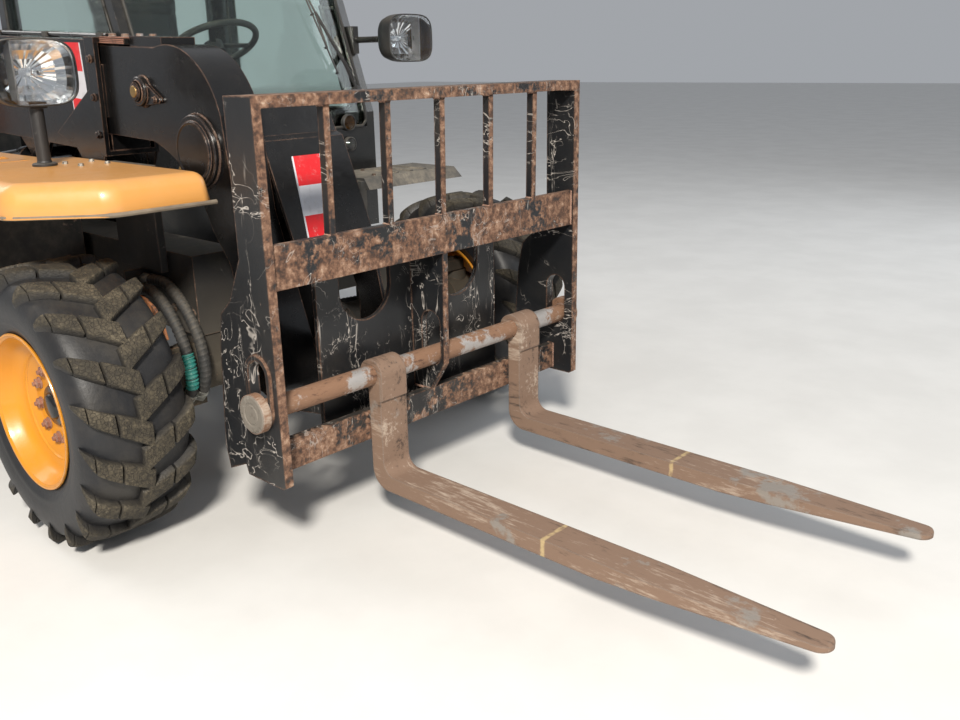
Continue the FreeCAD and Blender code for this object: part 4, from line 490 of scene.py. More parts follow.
@dataclass(frozen=True)
class BareSteel(Finish):
    """Unpainted steel, from rusted brown to rubbed bright."""

    dark: Colour = (0.11, 0.055, 0.036)
    middle: Colour = (0.30, 0.175, 0.125)
    pale: Colour = (0.48, 0.335, 0.265)
    bright: Colour = (0.42, 0.40, 0.38)
    rub: float = 0.25
    streak: Point = (1.0, 4.0, 4.0)
    scale: float = 7.0
    roughness: float = 0.62
    shine: float = 0.25
    marks: tuple[tuple[float, float], ...] = ()
    edge_radius: float = 0.006

    def wire(self, w: Wiring, shader: bpy.types.Node, place: bpy.types.NodeSocket) -> None:
        """Streaked rust tones, bright where rubbed, with painted marks across if any."""
        run = w.stretch(place, self.streak)
        broad = w.noise(run, self.scale * 0.35, 6.0, 0.62)
        fine = w.noise(run, self.scale * 4.0, 8.0, 0.7)
        tone = w.plus(w.times(broad, 0.55), w.times(fine, 0.45))
        colour = w.ramp(tone, ((0.39, self.dark), (0.46, self.middle), (0.54, self.middle),
                               (0.63, self.pale)))
        pits = self.group(w, rust_group(), place, cover=0.22, scale=self.scale * 1.5)
        colour = w.blend(w.times(pits.outputs["Mask"], 0.55), colour, pits.outputs["Color"])
        worn = w.noise(place, self.scale * 0.6, 6.0, 0.66)
        limit = 0.74 - 0.4 * self.rub
        rubbed = w.remap(worn, limit, limit + 0.06)
        edge = self.group(w, edge_wear_group(), place, amount=0.7, radius=self.edge_radius).outputs["Mask"]
        rubbed = w.most(rubbed, w.times(edge, 0.5))
        colour = w.blend(w.times(rubbed, 0.8), colour, self.bright)
        for start, end in self.marks:
            x = w.part(place, Axis.X)
            wave = w.plus(x, w.times(w.noise(place, 60.0), 0.008))
            band = w.times(w.remap(wave, start, start + 0.006), w.remap(wave, end - 0.006, end, 1.0, 0.0))
            band = w.times(band, w.remap(w.noise(place, 45.0, 4.0), 0.32, 0.55, 0.10, 0.55))
            colour = w.blend(band, colour, (0.64, 0.49, 0.24))
        w.feed(shader.inputs["Base Color"], colour)
        shine = w.times(rubbed, self.shine)
        w.feed(shader.inputs["Metallic"], shine)
        rough = w.minus(self.roughness + 0.16, w.times(rubbed, 0.28))
        w.feed(shader.inputs["Roughness"], w.plus(rough, w.times(fine, 0.1), clamp=True))
        self.bump(w, shader, ((fine, 0.0016), (pits.outputs["Height"], 0.0012), (broad, 0.002)),
                  self.edge_radius)


@dataclass(frozen=True)
class TyreRubber(Finish):
    """Old rubber: black walls, lug faces brown with dried earth and crazed by wear."""

    def wire(self, w: Wiring, shader: bpy.types.Node, place: bpy.types.NodeSocket) -> None:
        """Mixes wall and tread by the mesh's own Tread and Depth values."""
        tread = w.put("ShaderNodeAttribute", attribute_name="Tread").outputs["Fac"]
        sunk = w.put("ShaderNodeAttribute", attribute_name="Depth").outputs["Fac"]
        broad = w.noise(place, 5.0, 6.0, 0.65)
        fine = w.noise(place, 70.0, 8.0, 0.7)
        cracks = w.put("ShaderNodeTexVoronoi", {"Vector": place, "Scale": 95.0},
                       feature="DISTANCE_TO_EDGE").outputs[0]
        crazed = w.remap(w.plus(cracks, w.times(fine, 0.25)), 0.10, 0.26, 1.0, 0.0)
        wall = w.ramp(broad, ((0.3, (0.006, 0.0065, 0.008)), (0.55, (0.011, 0.012, 0.015)),
                              (0.75, (0.028, 0.028, 0.028))))
        earth = w.ramp(w.plus(w.times(broad, 0.5), w.times(fine, 0.5)),
                       ((0.36, (0.012, 0.010, 0.007)), (0.48, (0.036, 0.030, 0.019)),
                        (0.57, (0.082, 0.067, 0.043)), (0.67, (0.17, 0.145, 0.100))))
        colour = w.blend(w.times(tread, 0.92), wall, earth)
        colour = w.blend(w.times(w.times(crazed, tread), 0.65), colour, (0.025, 0.02, 0.016))
        silt = w.times(sunk, w.remap(broad, 0.44, 0.64, 0.0, 0.26))
        colour = w.blend(silt, colour, (0.062, 0.052, 0.038))
        dust = self.group(w, dust_group(), place, amount=0.09, scale=4.0).outputs["Mask"]
        colour = w.blend(dust, colour, (0.17, 0.145, 0.11))
        w.feed(shader.inputs["Base Color"], colour)
        w.feed(shader.inputs["Roughness"], w.plus(0.48, w.times(w.most(tread, dust), 0.36)))
        height = w.plus(w.times(fine, 0.6), w.times(w.times(crazed, tread), -0.9))
        self.bump(w, shader, ((height, 0.0016), (broad, 0.003)))


@dataclass(frozen=True)
class Moulded(Finish):
    """Moulded plastic, rubber or vinyl with a fine grain."""

    colour: Colour = (0.02, 0.02, 0.021)
    roughness: float = 0.5
    grain: float = 420.0
    depth: float = 0.0005
    dust: float = 0.25
    scratch: float = 0.0
    dust_colour: Colour = DUST

    def wire(self, w: Wiring, shader: bpy.types.Node, place: bpy.types.NodeSocket) -> None:
        """Grain, faded tone and dust."""
        tone = w.noise(place, 3.0, 5.0, 0.6)
        light = tuple(c * 1.35 + 0.004 for c in self.colour)
        colour = w.blend(w.remap(tone, 0.35, 0.68), self.colour, light)
        if self.scratch:
            scuffs = self.group(w, scratch_group(), place, amount=self.scratch, scale=16.0).outputs["Mask"]
            colour = w.blend(w.times(scuffs, 0.5), colour, (0.35, 0.34, 0.32))
        dust = self.group(w, dust_group(), place, amount=self.dust, scale=3.0).outputs["Mask"]
        colour = w.blend(dust, colour, self.dust_colour)
        w.feed(shader.inputs["Base Color"], colour)
        w.feed(shader.inputs["Roughness"], w.plus(self.roughness, w.times(dust, 0.3), clamp=True))
        cells = w.put("ShaderNodeTexVoronoi", {"Vector": place, "Scale": self.grain}).outputs[0]
        self.bump(w, shader, ((cells, self.depth), (tone, 0.001)), 0.0015)


@dataclass(frozen=True)
class Glass(Finish):
    """Tinted glass with a little dust on it."""

    colour: Colour = (0.86, 0.97, 0.92)
    roughness: float = 0.03
    haze: float = 0.06

    def wire(self, w: Wiring, shader: bpy.types.Node, place: bpy.types.NodeSocket) -> None:
        """Clear glass whose roughness and tint vary with grime."""
        grime = w.remap(w.noise(place, 4.0, 8.0, 0.7), 0.42, 0.75, 0.0, self.haze)
        w.feed(shader.inputs["Base Color"], w.blend(grime, self.colour, DUST))
        w.feed(shader.inputs["Roughness"], w.plus(self.roughness, grime))
        shader.inputs["Transmission Weight"].default_value = 1.0
        shader.inputs["IOR"].default_value = 1.45


@dataclass(frozen=True)
class Metal(Finish):
    """Plated or polished metal, with a haze of wear."""

    colour: Colour = (0.62, 0.62, 0.60)
    roughness: float = 0.22
    tarnish: float = 0.2
    tarnish_colour: Colour = (0.25, 0.20, 0.15)

    def wire(self, w: Wiring, shader: bpy.types.Node, place: bpy.types.NodeSocket) -> None:
        """Metal with patches of tarnish."""
        patch = w.remap(w.noise(place, 22.0, 6.0, 0.66), 0.62 - 0.2 * self.tarnish, 0.78 - 0.2 * self.tarnish)
        stained = w.times(patch, min(1.0, self.tarnish * 2.5))
        w.feed(shader.inputs["Base Color"], w.blend(stained, self.colour, self.tarnish_colour))
        w.feed(shader.inputs["Metallic"], w.minus(1.0, w.times(stained, 0.75)))
        fine = w.noise(w.stretch(place, (1.0, 6.0, 6.0)), 90.0, 4.0, 0.6)
        rough = w.plus(self.roughness, w.times(stained, 0.4))
        w.feed(shader.inputs["Roughness"], w.plus(rough, w.times(fine, 0.08), clamp=True))
        self.bump(w, shader, ((fine, 0.0002),), 0.001)


@dataclass(frozen=True)
class Sleeve(Finish):
    """A hose's wrapped rubber sleeve, dusty on top. Its wrap is in the mesh."""

    colour: Colour = (0.028, 0.029, 0.030)

    def wire(self, w: Wiring, shader: bpy.types.Node, place: bpy.types.NodeSocket) -> None:
        """A woven look from two crossing waves."""
        weave = w.put("ShaderNodeTexWave", {"Vector": place, "Scale": 140.0, "Distortion": 2.0}).outputs[1]
        other = w.put("ShaderNodeTexWave", {"Vector": place, "Scale": 120.0, "Distortion": 3.0},
                      bands_direction="Z").outputs[1]
        cloth = w.times(weave, other)
        worn = w.remap(w.noise(place, 9.0, 7.0, 0.7), 0.58, 0.72)
        colour = w.blend(w.times(worn, 0.55), self.colour, (0.20, 0.17, 0.115))
        dust = self.group(w, dust_group(), place, amount=0.35, scale=8.0).outputs["Mask"]
        colour = w.blend(dust, colour, DUST)
        w.feed(shader.inputs["Base Color"], colour)
        w.feed(shader.inputs["Roughness"], w.plus(0.58, w.times(dust, 0.3)))
        self.bump(w, shader, ((cloth, 0.0006),))


@dataclass(frozen=True)
class Film(Finish):
    """A stuck-on vinyl film in one colour, scuffed and chipped."""

    colour: Colour = (0.62, 0.015, 0.02)

    def wire(self, w: Wiring, shader: bpy.types.Node, place: bpy.types.NodeSocket) -> None:
        """Film with pale scratches and grime."""
        scuffs = self.group(w, scratch_group(), place, amount=0.55, scale=26.0).outputs["Mask"]
        grime = w.remap(w.noise(place, 30.0, 6.0, 0.65), 0.52, 0.8, 0.0, 0.35)
        colour = w.blend(w.times(scuffs, 0.55), self.colour, (0.62, 0.58, 0.55))
        colour = w.blend(grime, colour, (0.10, 0.08, 0.07))
        w.feed(shader.inputs["Base Color"], colour)
        w.feed(shader.inputs["Roughness"], w.plus(0.34, grime))
        self.bump(w, shader, ((scuffs, 0.0002),))


CARRIAGE_PAINT = Paint("worn carriage paint", colour=(0.010, 0.011, 0.013), rust=0.10, rust_scale=6.0,
                       edge=0.75,
                       edge_radius=0.007, scratch=0.62, scratch_scale=8.0, dust=0.10, rusted_front=(1.062,
                                                                                                    1.118),
                       bare=(0.50, 0.46, 0.42), roughness=0.36)
CHASSIS_PAINT = Paint("chassis paint", colour=(0.013, 0.013, 0.014), rust=0.16, edge=0.45, scratch=0.30,
                      dust=0.38, low_mud=0.45, roughness=0.48)
AXLE_PAINT = Paint("axle paint", colour=(0.022, 0.021, 0.021), rust=0.34, edge=0.5, scratch=0.2, dust=0.7,
                   dust_colour=MUD, low_mud=0.6, roughness=0.55)
BOOM_PAINT = Paint("boom paint", colour=(0.0045, 0.0045, 0.005), rust=0.05, edge=0.42, edge_radius=0.005,
                   scratch=0.26, dust=0.035, dust_scale=3.5, dust_colour=(0.20, 0.150, 0.095), roughness=0.24,
                   coat=0.18)
CAB_PAINT = Paint("cab paint", colour=(0.007, 0.0075, 0.008), rust=0.05, edge=0.2, scratch=0.22, dust=0.16,
                  roughness=0.22, coat=0.5)
WHEEL_PAINT = Paint("wheel paint", colour=(0.57, 0.222, 0.004), bare=(0.30, 0.20, 0.12), rust=0.035,
                    rust_scale=9.0,
                    edge=0.32, edge_radius=0.003, scratch=0.16, dust=0.11, dust_scale=5.0, roughness=0.36,
                    coat=0.25)
BODY_PAINT = Paint("body paint", colour=(0.63, 0.295, 0.073), bare=(0.38, 0.25, 0.14), rust=0.03,
                   rust_scale=7.0,
                   edge=0.3, edge_radius=0.004, scratch=0.22, scratch_scale=6.0, dust=0.24, fade=0.07,
                   dust_colour=(0.52, 0.34, 0.19), roughness=0.36, coat=0.25)
CAST_PAINT = Paint("cast iron paint", colour=(0.024, 0.024, 0.025), rust=0.22, edge=0.5, scratch=0.3,
                   dust=0.5,
                   low_mud=0.35, roughness=0.58)
ENGINE_PAINT = Paint("engine paint", colour=(0.13, 0.14, 0.15), rust=0.18, edge=0.3, scratch=0.1, dust=0.8,
                     dust_colour=MUD, roughness=0.55)
FORK_STEEL = BareSteel("fork steel", dark=(0.060, 0.040, 0.030), middle=(0.205, 0.132, 0.092),
                       pale=(0.43, 0.345, 0.275),
                       bright=(0.28, 0.26, 0.235), rub=0.40, marks=((1.732, 1.750),), streak=(0.5, 3.0, 3.0))
SHAFT_STEEL = BareSteel("shaft steel", dark=(0.080, 0.040, 0.025), middle=(0.21, 0.115, 0.068),
                        pale=(0.36, 0.28, 0.22),
                        rub=0.58, shine=0.7, streak=(4.0, 1.2, 4.0), scale=9.0, bright=(0.55, 0.54, 0.53))
COLLAR_STEEL = BareSteel("collar steel", dark=(0.050, 0.040, 0.030), middle=(0.17, 0.150, 0.125),
                         pale=(0.30, 0.275, 0.24), bright=(0.36, 0.36, 0.33), rub=0.30, scale=14.0,
                         streak=(1.0, 1.0, 1.0), edge_radius=0.002)
WELD_STEEL = BareSteel("weld beads", rub=0.3, scale=22.0, streak=(1.0, 1.0, 1.0), edge_radius=0.001)
RUSTED_NUT = BareSteel("rusted nuts", dark=(0.10, 0.045, 0.03), middle=(0.25, 0.11, 0.07), pale=(0.38, 0.2,
                                                                                                 0.13),
                       rub=0.05, scale=26.0, streak=(1.0, 1.0, 1.0), edge_radius=0.0015)
HORN_RUST = BareSteel("horn rust", dark=(0.10, 0.045, 0.025), middle=(0.42, 0.17, 0.07), pale=(0.62, 0.36,
                                                                                               0.20), rub=0.1,
                      scale=16.0, streak=(1.0, 1.0, 1.0), edge_radius=0.003)
RUBBER = TyreRubber("tyre rubber")
SEAL = Moulded("rubber seal", colour=(0.012, 0.012, 0.012), roughness=0.6, dust=0.4)
PLASTIC = Moulded("black plastic", colour=(0.020, 0.020, 0.021), roughness=0.46, dust=0.35, scratch=0.3)
GUARD_PLASTIC = Moulded("guard plastic", colour=(0.030, 0.030, 0.030), roughness=0.55, dust=0.75, scratch=0.3)
VINYL = Moulded("seat vinyl", colour=(0.022, 0.022, 0.024), roughness=0.48, grain=300.0, depth=0.0008,
                dust=0.4)
GREY_PLASTIC = Moulded("grey plastic", colour=(0.16, 0.16, 0.165), roughness=0.5, dust=0.3)
LINING = Moulded("roof lining", colour=(0.24, 0.24, 0.23), roughness=0.8, grain=240.0, dust=0.15)
EDGE_STRIP = Moulded("edge strip", colour=(0.11, 0.085, 0.06), roughness=0.7, dust=0.5)
CAB_GLASS = Glass("cab glass")
LENS_GLASS = Glass("lens glass", colour=(0.97, 0.98, 0.98), roughness=0.02, haze=0.03)
AMBER_LENS = Glass("amber lens", colour=(0.98, 0.42, 0.06), roughness=0.08)
RED_LENS = Glass("red lens", colour=(0.75, 0.02, 0.015), roughness=0.10)
CHROME = Metal("hard chrome", colour=(0.72, 0.72, 0.72), roughness=0.12, tarnish=0.1)
REFLECTOR = Metal("reflector", colour=(0.86, 0.88, 0.90), roughness=0.06, tarnish=0.0)
ZINC = Metal("zinc plate", colour=(0.46, 0.46, 0.42), roughness=0.4, tarnish=0.55)
BRASS = Metal("brass", colour=(0.50, 0.33, 0.14), roughness=0.35, tarnish=0.5)
HOSE = Sleeve("hose sleeve")
TEAL = Moulded("teal guard", colour=(0.005, 0.16, 0.14), roughness=0.4, dust=0.2)
RED_FILM = Film("red film")
WHITE_FILM = Film("white film", colour=(0.60, 0.61, 0.66))

# Material slot of the record to the finish that its nodes take
SLOT_FINISH: dict[str, Finish] = {
    "tyre_rubber": RUBBER,
    "rim_yellow": WHEEL_PAINT,
    "axle_black": AXLE_PAINT,
    "chassis_black": CHASSIS_PAINT,
    "boom_black": BOOM_PAINT,
    "body_yellow": BODY_PAINT,
    "carriage_black": CARRIAGE_PAINT,
    "fork_rust": FORK_STEEL,
    "steel_worn": SHAFT_STEEL,
    "cab_black": CAB_PAINT,
    "cab_glass": CAB_GLASS,
    "seat_vinyl": VINYL,
    "trim_plastic": PLASTIC,
    "lamp_lens": LENS_GLASS,
    "tail_red": RED_LENS,
    "chrome_rod": CHROME,
    "hose_rubber": HOSE,
    "engine_grey": ENGINE_PAINT,
}
NODE_FINISH: dict[str, Finish] = {
    "counterweight": CAST_PAINT,
    "fender_front_left": GUARD_PLASTIC,
    "fender_rear_left": GUARD_PLASTIC,
    "fender_rear_right": GUARD_PLASTIC,
    "exhaust": RUSTED_NUT,
}


def dress_nodes() -> None:
    """Gives each CAD node the finish of its slot, or its own."""
    for row in frame["record"]["subparts"]:
        node = frame["nodes"][row["node"]]
        finish = NODE_FINISH.get(row["node"], SLOT_FINISH[row["material_slot"]])
        for material_slot in node.material_slots:
            material_slot.material = finish.material()
        if not node.material_slots:
            node.data.materials.append(finish.material())


# Shaping


def show(name: str, data: bpy.types.ID) -> bpy.types.Object:
    """Puts data into the scene as an object of the given name."""
    made = bpy.data.objects.new(name, data)
    bpy.context.scene.collection.objects.link(made)
    return made


def ring_faces(rings: int, sides: int, closed: bool = False) -> list[tuple[int, ...]]:
    """The faces between rings of points that follow each other.

    Args:
        rings: How many rings there are.
        sides: Points of each.
        closed: Whether the last ring joins the first.

    Returns:
        The faces, as point numbers.
    """
    faces = []
    for ring in range(rings if closed else rings - 1):
        here, after = ring * sides, (ring + 1) % rings * sides
        for step in range(sides):
            turned = (step + 1) % sides
            faces.append((here + step, here + turned, after + turned, after + step))
    return faces


def across_path(path: Sequence[Vector], side: Vector) -> Iterator[tuple[Vector, Vector, Vector]]:
    """Each point of a path with two directions across it, carried along from a first one."""
    for number, spot in enumerate(path):
        ahead = (path[min(number + 1, len(path) - 1)] - path[max(number - 1, 0)]).normalized()
        side = (side - ahead * side.dot(ahead)).normalized()
        yield spot, side, ahead.cross(side)


def end_faces(rings: int, sides: int) -> list[tuple[int, ...]]:
    """The faces that close the first ring and the last."""
    return [tuple(range(start, start + sides)) for start in (0, (rings - 1) * sides)]


class Draft:
    """Vertices and faces of one piece, gathered before its mesh is made."""

    def __init__(self) -> None:
        """Starts empty."""
        self.points: list[Vector] = []
        self.faces: list[tuple[int, ...]] = []
        self.slots: list[int] = []

    def add(self, points: Iterable, faces: Iterable[Sequence[int]], slot: int = 0) -> None:
        """Adds points and faces whose numbers count from the first of these points."""
        start = len(self.points)
        self.points.extend(Vector(p) for p in points)
        for face in faces:
            self.faces.append(tuple(start + i for i in face))
            self.slots.append(slot)

    def block(self, low: Point, high: Point, slot: int = 0) -> None:
        """Adds a block between two corners."""
        outline = ((low[0], low[1]), (high[0], low[1]), (high[0], high[1]), (low[0], high[1]))
        self.prism(outline, Axis.Z, low[2], high[2], slot)

    def prism(self, outline: Sequence[Flat], axis: Axis, start: float, end: float, slot: int = 0) -> None:
        """Adds an outline pushed out along an axis.

        Args:
            outline: Corners in the plane of the other two axes, in X, Y, Z order.
            axis: The direction of the push.
            start: Where it begins on that axis.
            end: Where it ends.
            slot: The number of its finish.
        """
        count = len(outline)
        points = [self.lift(corner, axis, level) for level in (start, end) for corner in outline]
        self.add(points, end_faces(2, count) + ring_faces(2, count), slot)

    @staticmethod
    def lift(corner: Flat, axis: Axis, level: float) -> Vector:
        """A flat corner as a point at a level along an axis."""
        values = list(corner)
        values.insert(axis.value, level)
        return Vector(values)

    def lathe(self, profile: Sequence[Flat], centre: Vector, axis: Axis, segments: int = 48, slot: int = 0,
              closed: bool = False, sign: int = 1) -> None:
        """Adds a turned shape.

        Args:
            profile: (radius, distance along the axis) of each ring.
            centre: Where the distances count from.
            axis: The axis it is turned about.
            segments: Steps round the turn.
            slot: The number of its finish.
            closed: Whether the last ring joins the first.
            sign: 1, or -1 to turn the axis round.
        """
        points = []
        for radius, along in profile:
            for step in range(segments):
                turn = math.tau * step / segments
                flat = (radius * math.cos(turn), radius * math.sin(turn))
                points.append(centre + self.lift(flat, axis, sign * along))
        rings = len(profile)
        faces = ring_faces(rings, segments, closed)
        if not closed:
            ends = zip((profile[0], profile[-1]), end_faces(rings, segments))
            faces += [face for (radius, _), face in ends if radius > 1e-5]
        self.add(points, faces, slot)

    def rod(self, start: Vector, end: Vector, radius: float, sides: int = 16, slot: int = 0,
            end_radius: Optional[float] = None) -> None:
        """Adds a round or many-sided bar between two points."""
        run = end - start
        turn = run.to_track_quat("Z", "Y")
        points = []
        for level, size in ((start, radius), (end, radius if end_radius is None else end_radius)):
            for step in range(sides):
                angle = math.tau * (step + 0.5) / sides
                points.append(level + turn @ Vector((size * math.cos(angle), size * math.sin(angle), 0)))
        self.add(points, end_faces(2, sides) + ring_faces(2, sides), slot)

    def pipe(self, path: Sequence[Vector], radius: float, sides: int = 12, slot: int = 0) -> None:
        """Adds a pipe along a path, with a ring at each of its points."""
        points = []
        first = Vector((0, 0, 1)).cross(path[1] - path[0])
        if first.length < 1e-6:
            first = Vector((0, 1, 0))
        for spot, side, above in across_path(path, first):
            for step in range(sides):
                turn = math.tau * step / sides
                points.append(spot + (side * math.cos(turn) + above * math.sin(turn)) * radius)
        self.add(points, end_faces(len(path), sides) + ring_faces(len(path), sides), slot)

    def mesh(self, name: str, finishes: Sequence[Finish]) -> bpy.types.Object:
        """Makes the mesh, with its faces pointing outwards."""
        data = bpy.data.meshes.new(name)
        data.from_pydata([tuple(p) for p in self.points], [], self.faces)
        for finish in finishes:
            data.materials.append(finish.material())
        data.polygons.foreach_set("material_index", self.slots)
        work = bmesh.new()
        work.from_mesh(data)
        bmesh.ops.remove_doubles(work, verts=work.verts, dist=1e-6)
        bmesh.ops.recalc_face_normals(work, faces=work.faces)
        work.to_mesh(data)
        work.free()
        return show(name, data)


def soften(piece: bpy.types.Object, width: float, segments: int = 2, angle: float = 30.0) -> None:
    """Rounds a piece's edges and shades it smooth between its sharp edges."""
    piece.data.shade_smooth()
    if width:
        bevel = piece.modifiers.new("rounded edges", "BEVEL")
        bevel.width = width
        bevel.segments = segments
        bevel.limit_method = "ANGLE"
        bevel.angle_limit = math.radians(angle)
        bevel.harden_normals = True
        bevel.use_clamp_overlap = True
    else:
        piece.data.set_sharp_from_angle(angle=math.radians(angle))


def settle(piece: bpy.types.Object) -> bpy.types.Object:
    """Turns a piece with modifiers into a plain mesh of the same name."""
    bpy.context.view_layer.update()
    graph = bpy.context.evaluated_depsgraph_get()
    plain = bpy.data.meshes.new_from_object(piece.evaluated_get(graph))
    name = piece.name
    old = piece.data
    made = show(name + "_plain", plain)
    bpy.data.objects.remove(piece)
    if isinstance(old, bpy.types.Mesh) and old.users == 0:
        bpy.data.meshes.remove(old)
    made.name = name
    plain.name = name
    return made


def place(piece: bpy.types.Object, body: str, slot: str, *nodes: str) -> bpy.types.Object:
    """Lets a piece ride on its body and stands it for nodes if any."""
    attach(piece, body)
    if nodes:
        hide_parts(*nodes)
    LOG.info("%s rides on %s", piece.name, body)
    return piece


def make(draft: Draft, name: str, body: str, slot: str, finishes: Sequence[Finish], width: float = 0.002,
         segments: int = 2, nodes: Sequence[str] = ()) -> bpy.types.Object:
    """Makes, softens and places a piece from a draft.

    Args:
        draft: The gathered shape.
        name: The piece's name.
        body: The body it rides on.
        slot: The record's slot for its finish; it is not used.
        finishes: Its finishes, by the draft's slot numbers.
        width: How far its edges are rounded.
        segments: Steps of that rounding.
        nodes: The nodes it stands for.

    Returns:
        The piece.
    """
    piece = draft.mesh(name, finishes)
    soften(piece, width, segments)
    return place(settle(piece), body, slot, *nodes)


# Repeats by Geometry Nodes

SPIN_SEED = 7


class Repeats:
    """Geometry node trees that copy a part onto points or round an axis."""

    trees: dict[str, bpy.types.NodeTree] = {}

    @classmethod
    def tree(cls, name: str, inputs: Sequence[tuple[str, str]], fill: Callable) -> bpy.types.NodeTree:
        """Builds a tree once, which realizes its copies and gives them their finish.

        Args:
            name: The tree's name.
            inputs: Name and socket type of each input between the geometry and the finish.
            fill: Wires the copies from the sources and returns their node.

        Returns:
            The tree.
        """
        if name in cls.trees:
            return cls.trees[name]
        tree = bpy.data.node_groups.new(name, "GeometryNodeTree")
        for label, kind in (("Geometry", "Geometry"), *inputs, ("Finish", "Material")):
            tree.interface.new_socket(label, in_out="INPUT", socket_type="NodeSocket" + kind)
        tree.interface.new_socket("Geometry", in_out="OUTPUT", socket_type="NodeSocketGeometry")
        w = Wiring(tree)
        source = w.put("NodeGroupInput").outputs
        real = w.put("GeometryNodeRealizeInstances", {0: fill(w, source).outputs[0]})
        painted = w.put("GeometryNodeSetMaterial", {"Geometry": real.outputs[0],
                                                    "Material": source["Finish"]})
        w.put("NodeGroupOutput", {0: painted.outputs[0]})
        cls.trees[name] = tree
        return tree

    @classmethod
    def on_points(cls) -> bpy.types.NodeTree:
        """A tree that sets a part on each point, turned to the point's Aim."""

        def fill(w: Wiring, source) -> bpy.types.Node:
            """Aims each part and spins it at random."""
            part = w.put("GeometryNodeObjectInfo", {"Object": source["Part"]})
            aim = w.put("GeometryNodeInputNamedAttribute", {"Name": "Aim"},
                        data_type="FLOAT_VECTOR").outputs[0]
            turn = w.put("FunctionNodeAlignRotationToVector", {"Vector": aim}, axis="Z").outputs[0]
            spin = w.put("FunctionNodeRandomValue", {"Seed": SPIN_SEED, 2: 0.0, 3: math.tau},
                         data_type="FLOAT")
            about = w.put("FunctionNodeAxisAngleToRotation", {"Axis": (0.0, 0.0, 1.0),
                                                              "Angle": spin.outputs[1]})
            turned = w.put("FunctionNodeRotateRotation", {0: turn, 1: about.outputs[0]},
                           rotation_space="LOCAL")
            return w.put("GeometryNodeInstanceOnPoints",
                         {"Points": source["Geometry"], "Instance": part.outputs["Geometry"],
                          "Rotation": turned.outputs[0], "Scale": source["Size"]})

        return cls.tree("part on points", (("Part", "Object"), ("Size", "Float")), fill)

    @classmethod
    def round_axis(cls) -> bpy.types.NodeTree:
        """A tree that copies its own geometry round the Y axis."""

        def fill(w: Wiring, source) -> bpy.types.Node:
            """Turns each copy by its share of the round."""
            line = w.put("GeometryNodeMeshLine", {"Count": source["Count"], "Offset": (0.0, 0.0, 0.0)})
            index = w.put("GeometryNodeInputIndex").outputs[0]
            angle = w.times(w.calc("DIVIDE", index, source["Count"]), math.tau)
            turn = w.put("FunctionNodeAxisAngleToRotation", {"Axis": (0.0, 1.0, 0.0),
                                                             "Angle": angle}).outputs[0]
            return w.put("GeometryNodeInstanceOnPoints",
                         {"Points": line.outputs[0], "Instance": source["Geometry"], "Rotation": turn})

        return cls.tree("copies round an axis", (("Count", "Int"),), fill)

    @classmethod
    def copies(cls, name: str, seed: bpy.types.Object, spots: Sequence[Vector], aims: Sequence[Vector],
               size: float,
               finish: Finish) -> bpy.types.Object:
        """Sets a part on each spot, all as one piece.

        Args:
            name: The piece's name.
            seed: The part, which points along Z.
            spots: Where the copies stand.
            aims: The way each of them points.
            size: Their scale.
            finish: Their finish.

        Returns:
            The piece.
        """
        data = bpy.data.meshes.new(name)
        data.from_pydata([tuple(p) for p in spots], [], [])
        aim = data.attributes.new("Aim", "FLOAT_VECTOR", "POINT")
        aim.data.foreach_set("vector", [c for a in aims for c in Vector(a).normalized()])
        return cls.run(show(name, data), cls.on_points(), Part=seed, Size=size, Finish=finish.material())

    @staticmethod
    def run(piece: bpy.types.Object, tree: bpy.types.NodeTree, **values) -> bpy.types.Object:
        """Runs a tree on a piece and leaves a plain mesh."""
        modifier = piece.modifiers.new("repeats", "NODES")
        modifier.node_group = tree
        for item in tree.interface.items_tree:
            if item.in_out == "INPUT" and item.name in values:
                modifier[item.identifier] = values[item.name]
        return settle(piece)


def hex_bolt() -> Draft:
    """A hex head on a washer, a metre across its flats, standing on its seat along Z."""
    draft = Draft()
    origin = Vector((0, 0, 0))
    draft.lathe(((0.0, 0.0), (0.66, 0.0), (0.66, 0.09), (0.60, 0.12), (0.0, 0.12)), origin, Axis.Z, 16)
    draft.rod(Vector((0, 0, 0.12)), Vector((0, 0, 0.46)), 0.56, 6)
    draft.rod(Vector((0, 0, 0.46)), Vector((0, 0, 0.50)), 0.56, 6, end_radius=0.46)
    return draft


def wheel_nut() -> Draft:
    """A wheel nut on its cone, with the stud's end standing out."""
    draft = hex_bolt()
    draft.rod(Vector((0, 0, 0.45)), Vector((0, 0, 0.78)), 0.27, 10, end_radius=0.24)
    return draft


